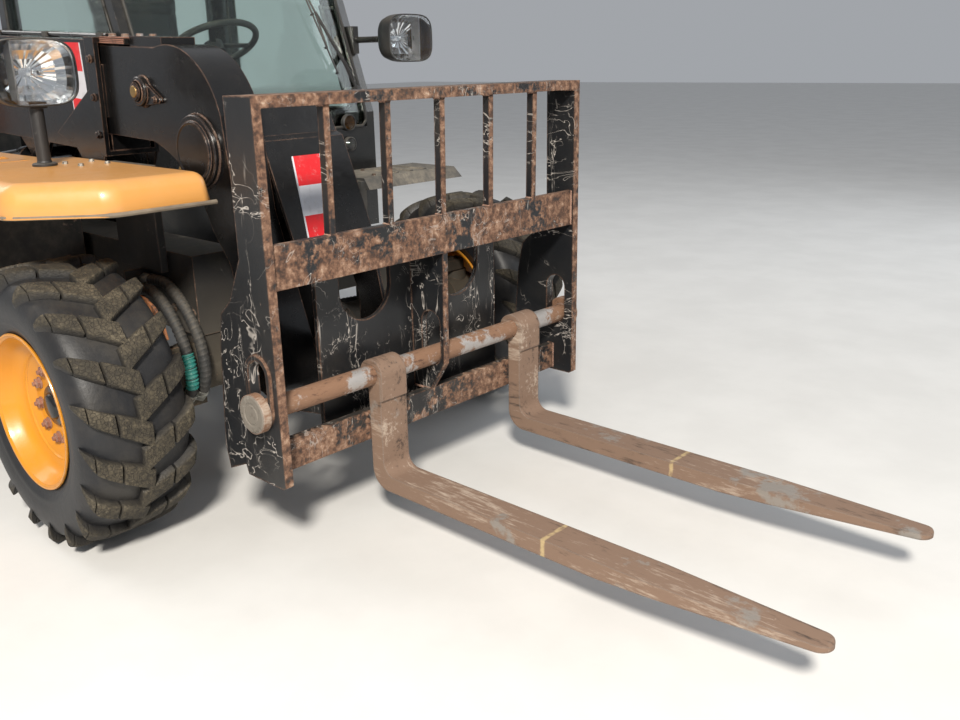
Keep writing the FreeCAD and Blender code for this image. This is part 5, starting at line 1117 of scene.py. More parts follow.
class Fasteners:
    """Bolts and nuts, gathered by body and made as one piece each."""

    def __init__(self) -> None:
        """Starts with none."""
        self.sets: dict[tuple[str, str], list[tuple[Vector, Vector, float]]] = {}

    def bolt(self, body: str, seat: Sequence[float], aim: Sequence[float], size: float = 0.022,
             slot: str = "chassis_black") -> None:
        """Adds one bolt with its seat, the way its head points and its size."""
        self.sets.setdefault((body, slot), []).append((Vector(seat), Vector(aim), size))

    def circle(self, body: str, centre: Vector, aim: Vector, radius: float, count: int, size: float = 0.022,
               slot: str = "chassis_black") -> None:
        """Adds bolts on a circle about an axis."""
        axis = Vector(aim).normalized()
        side = axis.orthogonal().normalized()
        other = axis.cross(side)
        for number in range(count):
            turn = math.tau * number / count
            self.bolt(body, Vector(centre) + (side * math.cos(turn) + other * math.sin(turn)) * radius, axis,
                      size, slot)

    def build(self) -> None:
        """Makes one piece for each body, slot and size of bolt."""
        seed = hex_bolt().mesh("bolt_seed", (ZINC,))
        for (body, slot), bolts in sorted(self.sets.items()):
            for size in sorted({b[2] for b in bolts}):
                seats, aims = zip(*((b[0], b[1]) for b in bolts if b[2] == size))
                name = f"bolts_{body}_{slot}_{round(size * 1000)}"
                made = Repeats.copies(name, seed, seats, aims, size, self.finish(slot))
                made.data.shade_flat()
                place(made, body, slot)
        bpy.data.objects.remove(seed)

    @staticmethod
    def finish(slot: str) -> Finish:
        """The finish of bolts that stand on a slot's surface."""
        return {"rim_yellow": RUSTED_NUT, "body_yellow": ZINC, "cab_black": ZINC}.get(slot, SLOT_FINISH[slot])


class Welds:
    """Weld beads along seams, as overlapping drops, one piece for each body."""

    def __init__(self) -> None:
        """Starts with none."""
        self.runs: dict[tuple[str, str], list[tuple[Vector, float]]] = {}

    def seam(self, body: str, start: Sequence[float], end: Sequence[float], size: float = 0.006,
             slot: str = "carriage_black") -> None:
        """Adds a straight bead."""
        a, b = Vector(start), Vector(end)
        steps = max(2, int((b - a).length / (size * 0.75)))
        for number in range(steps + 1):
            self.runs.setdefault((body, slot), []).append((a.lerp(b, number / steps), size))

    def ring(self, body: str, centre: Vector, axis: Axis, radius: float, size: float = 0.006,
             slot: str = "carriage_black") -> None:
        """Adds a bead round a boss."""
        steps = int(math.tau * radius / (size * 0.8))
        for number in range(steps):
            turn = math.tau * number / steps
            flat = (radius * math.cos(turn), radius * math.sin(turn))
            self.runs.setdefault((body, slot), []).append((centre + Draft.lift(flat, axis, 0.0), size))

    def build(self) -> None:
        """Makes one piece for each body, slot and size."""
        drop = Draft()
        drop.lathe(((0.0, -0.62), (0.7, -0.42), (1.0, 0.0), (0.7, 0.42), (0.0, 0.62)), Vector((0, 0, 0)),
                   Axis.Z, 8)
        seed = drop.mesh("weld_seed", (WELD_STEEL,))
        for (body, slot), drops in sorted(self.runs.items()):
            for size in sorted({d[1] for d in drops}):
                chosen = [d[0] for d in drops if d[1] == size]
                aims = [Vector((math.sin(1.7 * n), math.cos(2.3 * n), math.sin(0.9 * n) + 0.2))
                        for n in range(len(chosen))]
                name = f"welds_{body}_{slot}_{round(size * 10000)}"
                made = Repeats.copies(name, seed, chosen, aims, size, self.finish(slot))
                made.data.shade_smooth()
                place(made, body, slot)
        bpy.data.objects.remove(seed)

    @staticmethod
    def finish(slot: str) -> Finish:
        """The finish of beads on a slot's surface."""
        return WELD_STEEL if slot == "carriage_black" else SLOT_FINISH[slot]


FASTENERS = Fasteners()
WELDS = Welds()


# Wheels


def spline(knots: Sequence[Flat], shares: np.ndarray) -> np.ndarray:
    """Points on a smooth curve through knots, at shares of its knot count."""
    pts = np.array(knots, float)
    count = len(pts) - 1
    padded = np.vstack((2 * pts[0] - pts[1], pts, 2 * pts[-1] - pts[-2]))
    place_on = np.clip(np.asarray(shares, float), 0, 1) * count
    cell = np.minimum(place_on.astype(int), count - 1)
    t = (place_on - cell)[:, None]
    p0, p1, p2, p3 = padded[cell], padded[cell + 1], padded[cell + 2], padded[cell + 3]
    return 0.5 * (2 * p1 + (p2 - p0) * t + (2 * p0 - 5 * p1 + 4 * p2 - p3) * t ** 2
                  + (3 * p1 - p0 - 3 * p2 + p3) * t ** 3)


@dataclass
class Tread:
    """The lugs and carcass of one tyre, drawn about the Y axis with its outer side at +Y."""

    lugs: int = 18
    crown_radius: float = 0.403
    sweep: float = 0.118  # how far a lug trails from the crown to its tip, along the crown
    # y and radius from the crown to the bead: between the lugs, and over them
    base: tuple[Flat, ...] = ((0.0, 0.3795), (0.050, 0.3790), (0.098, 0.3755), (0.131, 0.3620),
                              (0.1475, 0.3350),
                              (0.1525, 0.3000), (0.1480, 0.2650), (0.1390, 0.2390))
    over: tuple[Flat, ...] = ((0.0, 0.4023), (0.050, 0.4020), (0.098, 0.3998), (0.138, 0.3905),
                              (0.1545, 0.3620),
                              (0.1540, 0.3120), (0.1480, 0.2650), (0.1390, 0.2390))
    # share of the profile from, to, half width from, to of each block of a lug
    blocks: tuple[tuple[float, float, float, float], ...] = ((-0.045, 0.205, 0.036, 0.031),
                                                             (0.222, 0.440, 0.029, 0.024),
                                                             (0.447, 0.640, 0.023, 0.006))
    segments: int = 120
    edge_width: float = 0.0028
    edge_angle: float = 32
    sharp_angle: float = 38

    def surface(self, share: np.ndarray, turn: np.ndarray, lift: np.ndarray) -> np.ndarray:
        """Points on the tyre.

        Args:
            share: Place on the half profile; below 0 is past the middle.
            turn: Angle about the axle, forward and down from +X.
            lift: 0 on the carcass to 1 on the lugs' faces.

        Returns:
            The points, one row each.
        """
        side = np.where(share < 0, -1.0, 1.0)
        low = spline(self.base, np.abs(share))
        high = spline(self.over, np.abs(share))
        flat = low + (high - low) * lift[:, None]
        radius = flat[:, 1]
        return np.column_stack((radius * np.cos(turn), side * flat[:, 0], -radius * np.sin(turn)))

    def block(self, spec: tuple[float, float, float, float], last: bool) -> tuple[list, list, list]:
        """One block of a lug: its points, faces and how much each point is tread."""
        start, end, wide, narrow = spec
        along = np.linspace(0, 1, 7)
        across = np.linspace(-1, 1, 4)
        points: list = []
        tread: list = []
        for level, draft in ((0.0, 1.10), (0.80, 1.02), (1.0, 0.90)):
            for a in along:
                inset = (1.0 - draft) * 0.05
                share = start + (end - start) * min(max(a, -inset), 1 + inset)
                if level == 1.0:
                    share = start + (end - start) * (0.03 + 0.94 * a)
                half = (wide + (narrow - wide) * a) * draft
                trail = self.sweep * (abs(share) / 0.62) ** 0.92 * (1 if share >= 0 else -1)
                for c in across:
                    turn = (c * half - trail) / self.crown_radius
                    drop = 0.0 if level < 1 or not last else 0.25 * a
                    height = -0.12 if level == 0 else level - drop
                    points.append(self.surface(np.array([share]), np.array([turn]), np.array([height]))[0])
                    tread.append(0.0 if level == 0 else (0.55 if level < 1 else 1.0))
        rows, columns = len(along), len(across)
        ring = [(0, c) for c in range(columns)] + [(r, columns - 1) for r in range(1, rows)]
        ring += [(rows - 1, c) for c in range(columns - 2, -1, -1)] + [(r, 0) for r in range(rows - 2, 0, -1)]
        faces = []
        layer = rows * columns
        for level in range(2):
            for number, (r, c) in enumerate(ring):
                r2, c2 = ring[(number + 1) % len(ring)]
                a, b = level * layer + r * columns + c, level * layer + r2 * columns + c2
                faces.append((a, b, b + layer, a + layer))
        for r in range(rows - 1):
            for c in range(columns - 1):
                a = 2 * layer + r * columns + c
                faces.append((a, a + 1, a + columns + 1, a + columns))
        return points, faces, tread

    def half_pitch(self) -> tuple[list, list, list]:
        """The blocks of one lug on each side, the second row half a pitch on."""
        points: list = []
        faces: list = []
        tread: list = []
        for row, side in enumerate((1, -1)):
            shift = math.pi / self.lugs * row
            spin = Matrix.Rotation(shift, 3, "Y")
            for number, spec in enumerate(self.blocks):
                block_points, block_faces, block_tread = self.block(spec, number == len(self.blocks) - 1)
                start = len(points)
                for point in block_points:
                    moved = spin @ Vector((point[0], side * point[1], point[2]))
                    points.append(moved)
                faces.extend(tuple(start + i for i in face) for face in block_faces)
                tread.extend(block_tread)
        return points, faces, tread

    def carcass(self) -> Draft:
        """The tyre between its lugs, with ridges on its walls."""
        half = [tuple(p) for p in spline(self.base, np.linspace(0, 1, 30))]
        profile = [(r, y) for y, r in half]
        ridges = []
        for radius, y in profile:
            proud = sum(0.0022 * math.exp(-((radius - at) / 0.0022) ** 2) for at in (0.318, 0.258, 0.250))
            ridges.append((radius, y + proud))
        bead = [(0.2300, 0.1350), (0.2180, 0.1290), (0.2092, 0.1270)]
        outer = ridges + bead
        inner = [(r, -y) for r, y in reversed(outer)]
        draft = Draft()
        draft.lathe(outer + inner, Vector((0, 0, 0)), Axis.Y, self.segments, closed=True)
        return draft

    def build(self) -> bpy.types.Mesh:
        """The whole tyre's mesh about the origin."""
        points, faces, tread = self.half_pitch()
        data = bpy.data.meshes.new("lug_pair")
        data.from_pydata([tuple(p) for p in points], [], faces)
        data.attributes.new("Tread", "FLOAT", "POINT").data.foreach_set("value", tread)
        work = bmesh.new()
        work.from_mesh(data)
        bmesh.ops.recalc_face_normals(work, faces=work.faces)
        work.to_mesh(data)
        work.free()
        pair = show("lug_pair", data)
        bevel = pair.modifiers.new("worn edges", "BEVEL")
        bevel.width = self.edge_width
        bevel.segments = 2
        bevel.limit_method = "ANGLE"
        bevel.angle_limit = math.radians(self.edge_angle)
        pair = settle(pair)
        ring = Repeats.run(pair, Repeats.round_axis(), Count=self.lugs, Finish=RUBBER.material())
        body = self.carcass().mesh("carcass", (RUBBER,))
        depth = body.data.attributes.new("Depth", "FLOAT", "POINT")
        radii = [math.hypot(v.co.x, v.co.z) for v in body.data.vertices]
        depth.data.foreach_set("value", [1.0 if r > 0.345 else max(0.0, (r - 0.315) / 0.03) for r in radii])
        joined = join((body, ring), "tyre")
        joined.data.shade_smooth()
        joined.data.set_sharp_from_angle(angle=math.radians(self.sharp_angle))
        mesh = joined.data
        bpy.data.objects.remove(joined)
        return mesh


def join(pieces: Sequence[bpy.types.Object], name: str) -> bpy.types.Object:
    """Joins pieces with bmesh, which keeps their attributes, into one object."""
    work = bmesh.new()
    labels = ("Tread", "Depth")
    for label in labels:
        work.verts.layers.float.new(label)
    data = bpy.data.meshes.new(name)
    for piece in pieces:
        count = len(work.verts)
        work.from_mesh(piece.data)
        work.verts.ensure_lookup_table()
        for label in labels:
            layer = work.verts.layers.float[label]
            source = piece.data.attributes.get(label)
            if source is None:
                continue
            values = np.zeros(len(piece.data.vertices), np.float32)
            source.data.foreach_get("value", values)
            for number, value in enumerate(values):
                work.verts[count + number][layer] = float(value)
    work.to_mesh(data)
    work.free()
    for material in pieces[0].data.materials:
        data.materials.append(material)
    for piece in pieces:
        bpy.data.objects.remove(piece)
    return show(name, data)


@dataclass
class Wheels:
    """Tyres, dished rims, nuts and hubs at the four corners."""

    nuts: int = 10
    nut_circle: float = 0.102
    nut_size: float = 0.027
    # radius and distance out from the wheel's middle, from the outer lip over the dish to the
    # inner lip and back
    rim: tuple[Flat, ...] = (
        (0.2165, 0.1330), (0.2225, 0.1345), (0.2238, 0.1385), (0.2222, 0.1418), (0.2170, 0.1412),
        (0.2105, 0.1360),
        (0.2055, 0.1240), (0.1990, 0.1120), (0.1950, 0.1020), (0.1860, 0.0900), (0.1760, 0.0830),
        (0.1640, 0.0790),
        (0.1560, 0.0775), (0.1520, 0.0730), (0.1400, 0.0690), (0.1310, 0.0640), (0.1250, 0.0612),
        (0.1180, 0.0602),
        (0.0650, 0.0600), (0.0620, 0.0570), (0.0620, 0.0490), (0.1250, 0.0480), (0.1480, 0.0560),
        (0.1780, 0.0650),
        (0.1860, 0.0560), (0.1900, 0.0200), (0.1900, -0.0900), (0.1960, -0.1120), (0.2030, -0.1240),
        (0.2100, -0.1360), (0.2170, -0.1412), (0.2222, -0.1418), (0.2238, -0.1385), (0.2225, -0.1345),
        (0.2165, -0.1330), (0.2088, -0.1240), (0.2080, -0.1000), (0.2080, 0.1000), (0.2088, 0.1240),
    )
    cap: tuple[Flat, ...] = ((0.0600, 0.0490), (0.0600, 0.0640), (0.0560, 0.0700), (0.0400, 0.0720),
                             (0.0360, 0.0800),
                             (0.0300, 0.0840), (0.0, 0.0850))

    def build(self) -> None:
        """Makes the four wheels."""
        tyre = Tread().build()
        seed = wheel_nut().mesh("nut_seed", (RUSTED_NUT,))
        for corner in Corner:
            self.tyre(corner, tyre)
            self.rim_piece(corner)
            self.nut_ring(corner, seed)
        bpy.data.objects.remove(seed)

    def tyre(self, corner: Corner, mesh: bpy.types.Mesh) -> None:
        """Copies the tyre's mesh to a corner, its outer side outwards."""
        data = mesh.copy()
        turn = Matrix.Scale(-1, 4, (0, 1, 0)) if corner.side < 0 else Matrix.Identity(4)
        data.transform(Matrix.Translation(corner.centre) @ turn)
        if corner.side < 0:
            data.flip_normals()
        data.name = "tyre_with_lugs_" + corner.suffix
        piece = show(data.name, data)
        place(piece, "wheel_" + corner.suffix, "tyre_rubber", "tyre_" + corner.suffix)

    def rim_piece(self, corner: Corner) -> None:
        """The rim with its valve and the hub's cap in its middle."""
        draft = Draft()
        draft.lathe(self.rim, corner.centre, Axis.Y, 96, closed=True, sign=corner.side)
        out = Vector((0, corner.side, 0))
        foot = corner.centre + Vector((0.05, 0, 0.172)) + out * 0.080
        draft.rod(foot, foot + out * 0.028 + Vector((0.004, 0, 0.010)), 0.0045, 10, slot=1)
        piece = draft.mesh("dished_rim_" + corner.suffix, (WHEEL_PAINT, SEAL))
        soften(piece, 0.0, angle=28)
        place(piece, "wheel_" + corner.suffix, "rim_yellow", "rim_" + corner.suffix)
        hub = Draft()
        hub.lathe(self.cap, corner.centre, Axis.Y, 48, sign=corner.side)
        cap = hub.mesh("hub_cap_" + corner.suffix, (BOOM_PAINT,))
        soften(cap, 0.0, angle=35)
        place(cap, "wheel_" + corner.suffix, "axle_black")

    def nut_ring(self, corner: Corner, seed: bpy.types.Object) -> None:
        """Ten nuts round the hub."""
        points = []
        for number in range(self.nuts):
            turn = math.tau * (number + 0.25) / self.nuts
            points.append(corner.centre + Vector((self.nut_circle * math.cos(turn), corner.side * 0.0600,
                                                  self.nut_circle * math.sin(turn))))
        aims = [Vector((0, corner.side, 0))] * len(points)
        made = Repeats.copies("wheel_nuts_" + corner.suffix, seed, points, aims, self.nut_size, RUSTED_NUT)
        made.data.shade_flat()
        place(made, "wheel_" + corner.suffix, "rim_yellow")


# Boom head


@dataclass
class BoomHead:
    """Pins, caps, shims and seams of the boom, its collar and its swan neck."""

    collar_along: float = 2.181
    collar_half: float = 0.093

    def build(self) -> None:
        """Makes what stands on the boom's two sections."""
        self.tilt_pin()
        self.rocker_cap()
        self.pad_carrier()
        self.collar()
        self.seams()
        self.pivot()

    def tilt_pin(self) -> None:
        """The hex pin with its keeper plate on the outer side of the head."""
        centre = Vector((0.345, NECK_FACE_Y, 1.232))
        draft = Draft()
        draft.lathe(((0.043, -0.002), (0.043, 0.019), (0.040, 0.022), (0.033, 0.022), (0.031, 0.026),
                     (0.031, 0.002)),
                    centre, Axis.Y, 40, sign=-1)
        draft.rod(centre + Vector((0, -0.020, 0)), centre + Vector((0, -0.033, 0)), 0.0265, 6)
        draft.lathe(((0.017, 0.030), (0.017, 0.036), (0.0, 0.037)), centre, Axis.Y, 24, slot=1, sign=-1)
        keeper = [(0.345, 1.276), (0.449, 1.214), (0.452, 1.206), (0.446, 1.199), (0.345, 1.190)]
        draft.prism(keeper, Axis.Y, NECK_FACE_Y - 0.0115, NECK_FACE_Y - 0.001)
        make(draft, "tilt_pin_keeper", "boom_inner", "boom_black", (BOOM_PAINT, BRASS), 0.0015)
        FASTENERS.bolt("boom_inner", (0.425, NECK_FACE_Y - 0.0115, 1.209), (0, -1, 0), 0.017, "boom_black")

    def rocker_cap(self) -> None:
        """The round cap on the rocker shaft, with a bright rim and a plug."""
        centre = Vector((ROCKER.x, NECK_FACE_Y, ROCKER.z))
        draft = Draft()
        draft.lathe(((0.102, 0.0), (0.102, 0.014), (0.099, 0.0175), (0.086, 0.0175), (0.083, 0.0255),
                     (0.079, 0.0262),
                     (0.074, 0.0235), (0.020, 0.0225), (0.0, 0.0225)), centre, Axis.Y, 72, sign=-1)
        plug = centre + Vector((-0.095, 0, -0.055))
        draft.rod(plug + Vector((0, 0.004, 0)), plug + Vector((0, -0.010, 0)), 0.013, 6, slot=1)
        draft.rod(plug + Vector((0, -0.010, 0)), plug + Vector((0, -0.016, 0)), 0.006, 10, slot=1)
        make(draft, "rocker_cap", "boom_inner", "boom_black", (BOOM_PAINT, BRASS), 0.001)

    def pad_carrier(self) -> None:
        """The rusty stack of shims over the inner section, in front of the collar."""
        draft = Draft()
        layers = (
            # along from, to, half width, up from, to
            (0.002, 0.148, 0.0735, 0.1625, 0.1665),
            (0.004, 0.146, 0.0725, 0.1675, 0.1715),
            (0.001, 0.149, 0.0730, 0.1725, 0.1765),
            (0.002, 0.148, 0.0730, 0.1785, 0.1815),
        )
        for start, end, half, low, high in layers:
            corners = [on_boom(self.collar_along + a, u, BOOM_Y + y)
                       for u in (low, high) for a, y in ((start, -half), (end, -half), (end, half),
                                                         (start, half))]
            faces = ((0, 1, 2, 3), (4, 5, 6, 7), (0, 1, 5, 4), (1, 2, 6, 5), (2, 3, 7, 6), (3, 0, 4, 7))
            draft.add(corners, faces)
        make(draft, "pad_shims", "boom_outer", "boom_black", (RUSTED_NUT,), 0.0012)
        for y in (-0.045, 0.045):
            for along in (0.035, 0.115):
                seat = on_boom(self.collar_along + along, 0.1815, BOOM_Y + y)
                FASTENERS.bolt("boom_outer", seat, (0, 0, 1), 0.020, "steel_worn")

    def collar(self) -> None:
        """Bolts down the collar's flange and its ear, on both sides."""
        for side in (-1, 1):
            y = BOOM_Y + side * self.collar_half
            out = Vector((0, side, 0))
            for up in (0.115, 0.0, -0.115):
                FASTENERS.bolt("boom_outer", on_boom(self.collar_along - 0.030, up, y), out, 0.020,
                               "boom_black")
            FASTENERS.bolt("boom_outer", on_boom(self.collar_along - 0.085, -0.222, y), out, 0.024,
                           "boom_black")
            for along in (0.30, 1.10, 1.90):
                FASTENERS.bolt("boom_outer", on_boom(along, 0.120, BOOM_Y + side * 0.085), out, 0.016,
                               "boom_black")
        top = 0.173
        draft = Draft()
        for start, end in ((0.15, 1.05), (1.15, 2.05)):
            path = [on_boom(start + (end - start) * k / 6, top + 0.009, BOOM_Y + 0.045) for k in range(7)]
            draft.pipe(path, 0.008)
            path = [on_boom(start + (end - start) * k / 6, top + 0.009, BOOM_Y + 0.022) for k in range(7)]
            draft.pipe(path, 0.008)
        for along in (0.20, 0.60, 1.00, 1.20, 1.60, 2.00):
            low = on_boom(along, top - 0.002, BOOM_Y + 0.008)
            high = on_boom(along + 0.03, top + 0.018, BOOM_Y + 0.060)
            draft.block(tuple(low), tuple(high), 1)
        make(draft, "boom_top_pipes", "boom_outer", "boom_black", (BOOM_PAINT, GUARD_PLASTIC), 0.001)

    def seams(self) -> None:
        """Weld beads round the neck's bosses and across the outer section's right side near each end."""
        body, slot = "boom_inner", "boom_black"
        WELDS.ring(body, Vector((ROCKER.x, NECK_FACE_Y - 0.001, ROCKER.z)), Axis.Y, 0.103, 0.005, slot)
        WELDS.ring(body, Vector((HITCH.x, NECK_FACE_Y - 0.001, HITCH.z)), Axis.Y, 0.048, 0.005, slot)
        WELDS.ring(body, Vector((0.345, NECK_FACE_Y - 0.001, 1.232)), Axis.Y, 0.0445, 0.004, slot)
        for along in (0.16, 2.115):
            WELDS.seam("boom_outer", on_boom(along, 0.168, BOOM_Y - 0.085), on_boom(along, -0.168,
                                                                                    BOOM_Y - 0.085),
                       0.004, slot)

    def pivot(self) -> None:
        """Caps and keeper plates over the ends of the boom's and lift cylinder's pins."""
        # middle of the pin, its face from the boom's middle, radius of its cap
        pins = ((BOOM_PIVOT, 0.132, 0.052), (Vector((-1.663, BOOM_Y, 0.850)), 0.120, 0.040))
        draft = Draft()
        for side in (-1, 1):
            for centre, stand, radius in pins:
                face = BOOM_Y + side * stand
                end = 0.1465 - stand
                middle = Vector((centre.x, face, centre.z))
                draft.lathe(((radius, -0.001), (radius, end - 0.004), (radius - 0.004, end),
                             (radius * 0.3, end),
                             (radius * 0.22, end - 0.004), (0.0, end - 0.004)), middle, Axis.Y, 40, sign=side)
                far = centre.x - radius - 0.045
                bar = [(far, centre.z - 0.016), (centre.x, centre.z - 0.016), (centre.x, centre.z + 0.016),
                       (far, centre.z + 0.016)]
                draft.prism(bar, Axis.Y, *sorted((face - side * 0.001, face + side * 0.007)))
                FASTENERS.bolt(CHASSIS, (far + 0.019, face + side * 0.007, centre.z), (0, side, 0), 0.018)
        make(draft, "pivot_pins", CHASSIS, "steel_worn", (CHASSIS_PAINT,), 0.0015)


@dataclass
class Plates:
    """Bare red and white plates stuck to the boom and to its head cover."""

    thickness: float = 0.0012
    border: float = 0.05

    def build(self) -> None:
        """Makes both plates."""
        # Corners of each plate from the top, going round, and the way it faces
        boom = (Vector((-0.092, -0.4352, 1.381)), Vector((0.018, -0.4352, 1.377)),
                Vector((0.026, -0.4352, 1.135)), Vector((-0.084, -0.4352, 1.144)))
        self.plate("boom_plate", "boom_outer", boom, Vector((0, -1, 0)), False)
        slope = Vector((0.120, 0, -0.293)).normalized()
        top = Vector((0.7372, 0, 1.0930))
        face = Vector((0.293, 0, 0.120)).normalized()
        cover = tuple(top + slope * along + Vector((0, y, 0)) + face * 0.0006
                      for along, y in ((0.052, -0.203), (0.052, -0.097), (0.300, -0.136), (0.300, -0.236)))
        self.plate("cover_plate", "boom_inner", cover, face, True)

    def plate(self, name: str, body: str, corners: Sequence[Vector], face: Vector, torn: bool) -> None:
        """One plate: red, white and red blocks inside thin white borders."""
        draft = Draft()
        edges = (0.0, 0.36, 0.655, 0.72, 1.0)
        across = (0.0, self.border, 1.0 - self.border, 1.0)
        colours = (0, 1, 1, 0)

        def spot(u: float, v: float, lift: float) -> Vector:
            """A point of the plate by its shares across and down."""
            left = corners[0].lerp(corners[3], v)
            right = corners[1].lerp(corners[2], v)
            return left.lerp(right, u) + face * lift

        for row in range(4):
            for column in range(3):
                if torn and row == 3 and column == 2:
                    continue
                u0, u1 = across[column], across[column + 1]
                v0, v1 = edges[row], edges[row + 1]
                if torn and row == 3 and column == 1:
                    outline = [(u0, v0), (u1, v0), (u1, v0 + 0.05), (u1 - 0.10, v0 + 0.08),
                               (u1 - 0.17, v0 + 0.07),
                               (u1 - 0.20, v1 - 0.04), (u1 - 0.26, v1), (u0, v1)]
                else:
                    outline = [(u0, v0), (u1, v0), (u1, v1), (u0, v1)]
                points = [spot(u, v, h) for h in (0.0, self.thickness) for u, v in outline]
                faces = end_faces(2, len(outline)) + ring_faces(2, len(outline))
                draft.add(points, faces, colours[row] if column == 1 else 1)
        make(draft, name, body, "body_yellow", (RED_FILM, WHITE_FILM), 0.0)


# Carriage


@dataclass
class CarriageTrim:
    """Weld beads and the shaft's end faces of the fork carriage."""

    half: float = 0.617
    plate: float = 0.025
    # radius and depth of the steps turned in each end of the fork shaft
    end_steps: tuple[Flat, ...] = ((0.0, 0.0024), (0.024, 0.0024), (0.026, 0.0004), (0.030, 0.0004),
                                   (0.032, 0.0024),
                                   (0.048, 0.0024), (0.051, -0.001), (0.0, -0.001))

    def shaft_ends(self) -> None:
        """The stepped faces of the fork shaft's two collars."""
        low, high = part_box("fork_shaft")
        draft = Draft()
        for side, face in ((-1, low[1]), (1, high[1])):
            centre = Vector(((low[0] + high[0]) / 2, face, (low[2] + high[2]) / 2))
            draft.lathe(self.end_steps, centre, Axis.Y, 48, 0, False, side)
        make(draft, "shaft_end_faces", "carriage", "fork_rust", (COLLAR_STEEL,), 0.0006)

    def build(self) -> None:
        """Adds the seams and the shaft's ends that the carriage carries."""
        body = "carriage"
        self.shaft_ends()
        for side in (-1, 1):
            inner = side * (self.half - self.plate)
            for low, high, x in ((0.782, 0.888, 1.176), (0.272, 0.352, 1.105)):
                WELDS.seam(body, (x, inner, low), (x, inner, high), 0.005)
            WELDS.seam(body, (1.183, inner, 1.208), (1.080, inner, 1.208), 0.005)
        for y in (-0.4, -0.2, 0.0, 0.2, 0.4):
            for edge in (-0.009, 0.009):
                WELDS.seam(body, (1.173, y + edge, 0.889), (1.152, y + edge, 0.889), 0.004)
                WELDS.seam(body, (1.178, y + edge, 1.207), (1.158, y + edge, 1.207), 0.004)
        for y in (-0.010, 0.010):
            WELDS.seam(body, (1.154, y, 0.785), (1.060, y, 0.760), 0.005)
            WELDS.seam(body, (1.100, y, 0.352), (1.040, y, 0.352), 0.005)
        for y in (-0.280, -0.255, 0.015, 0.040):
            WELDS.seam(body, (1.023, y, 0.330), (1.023, y, 0.630), 0.006)


# Lamps


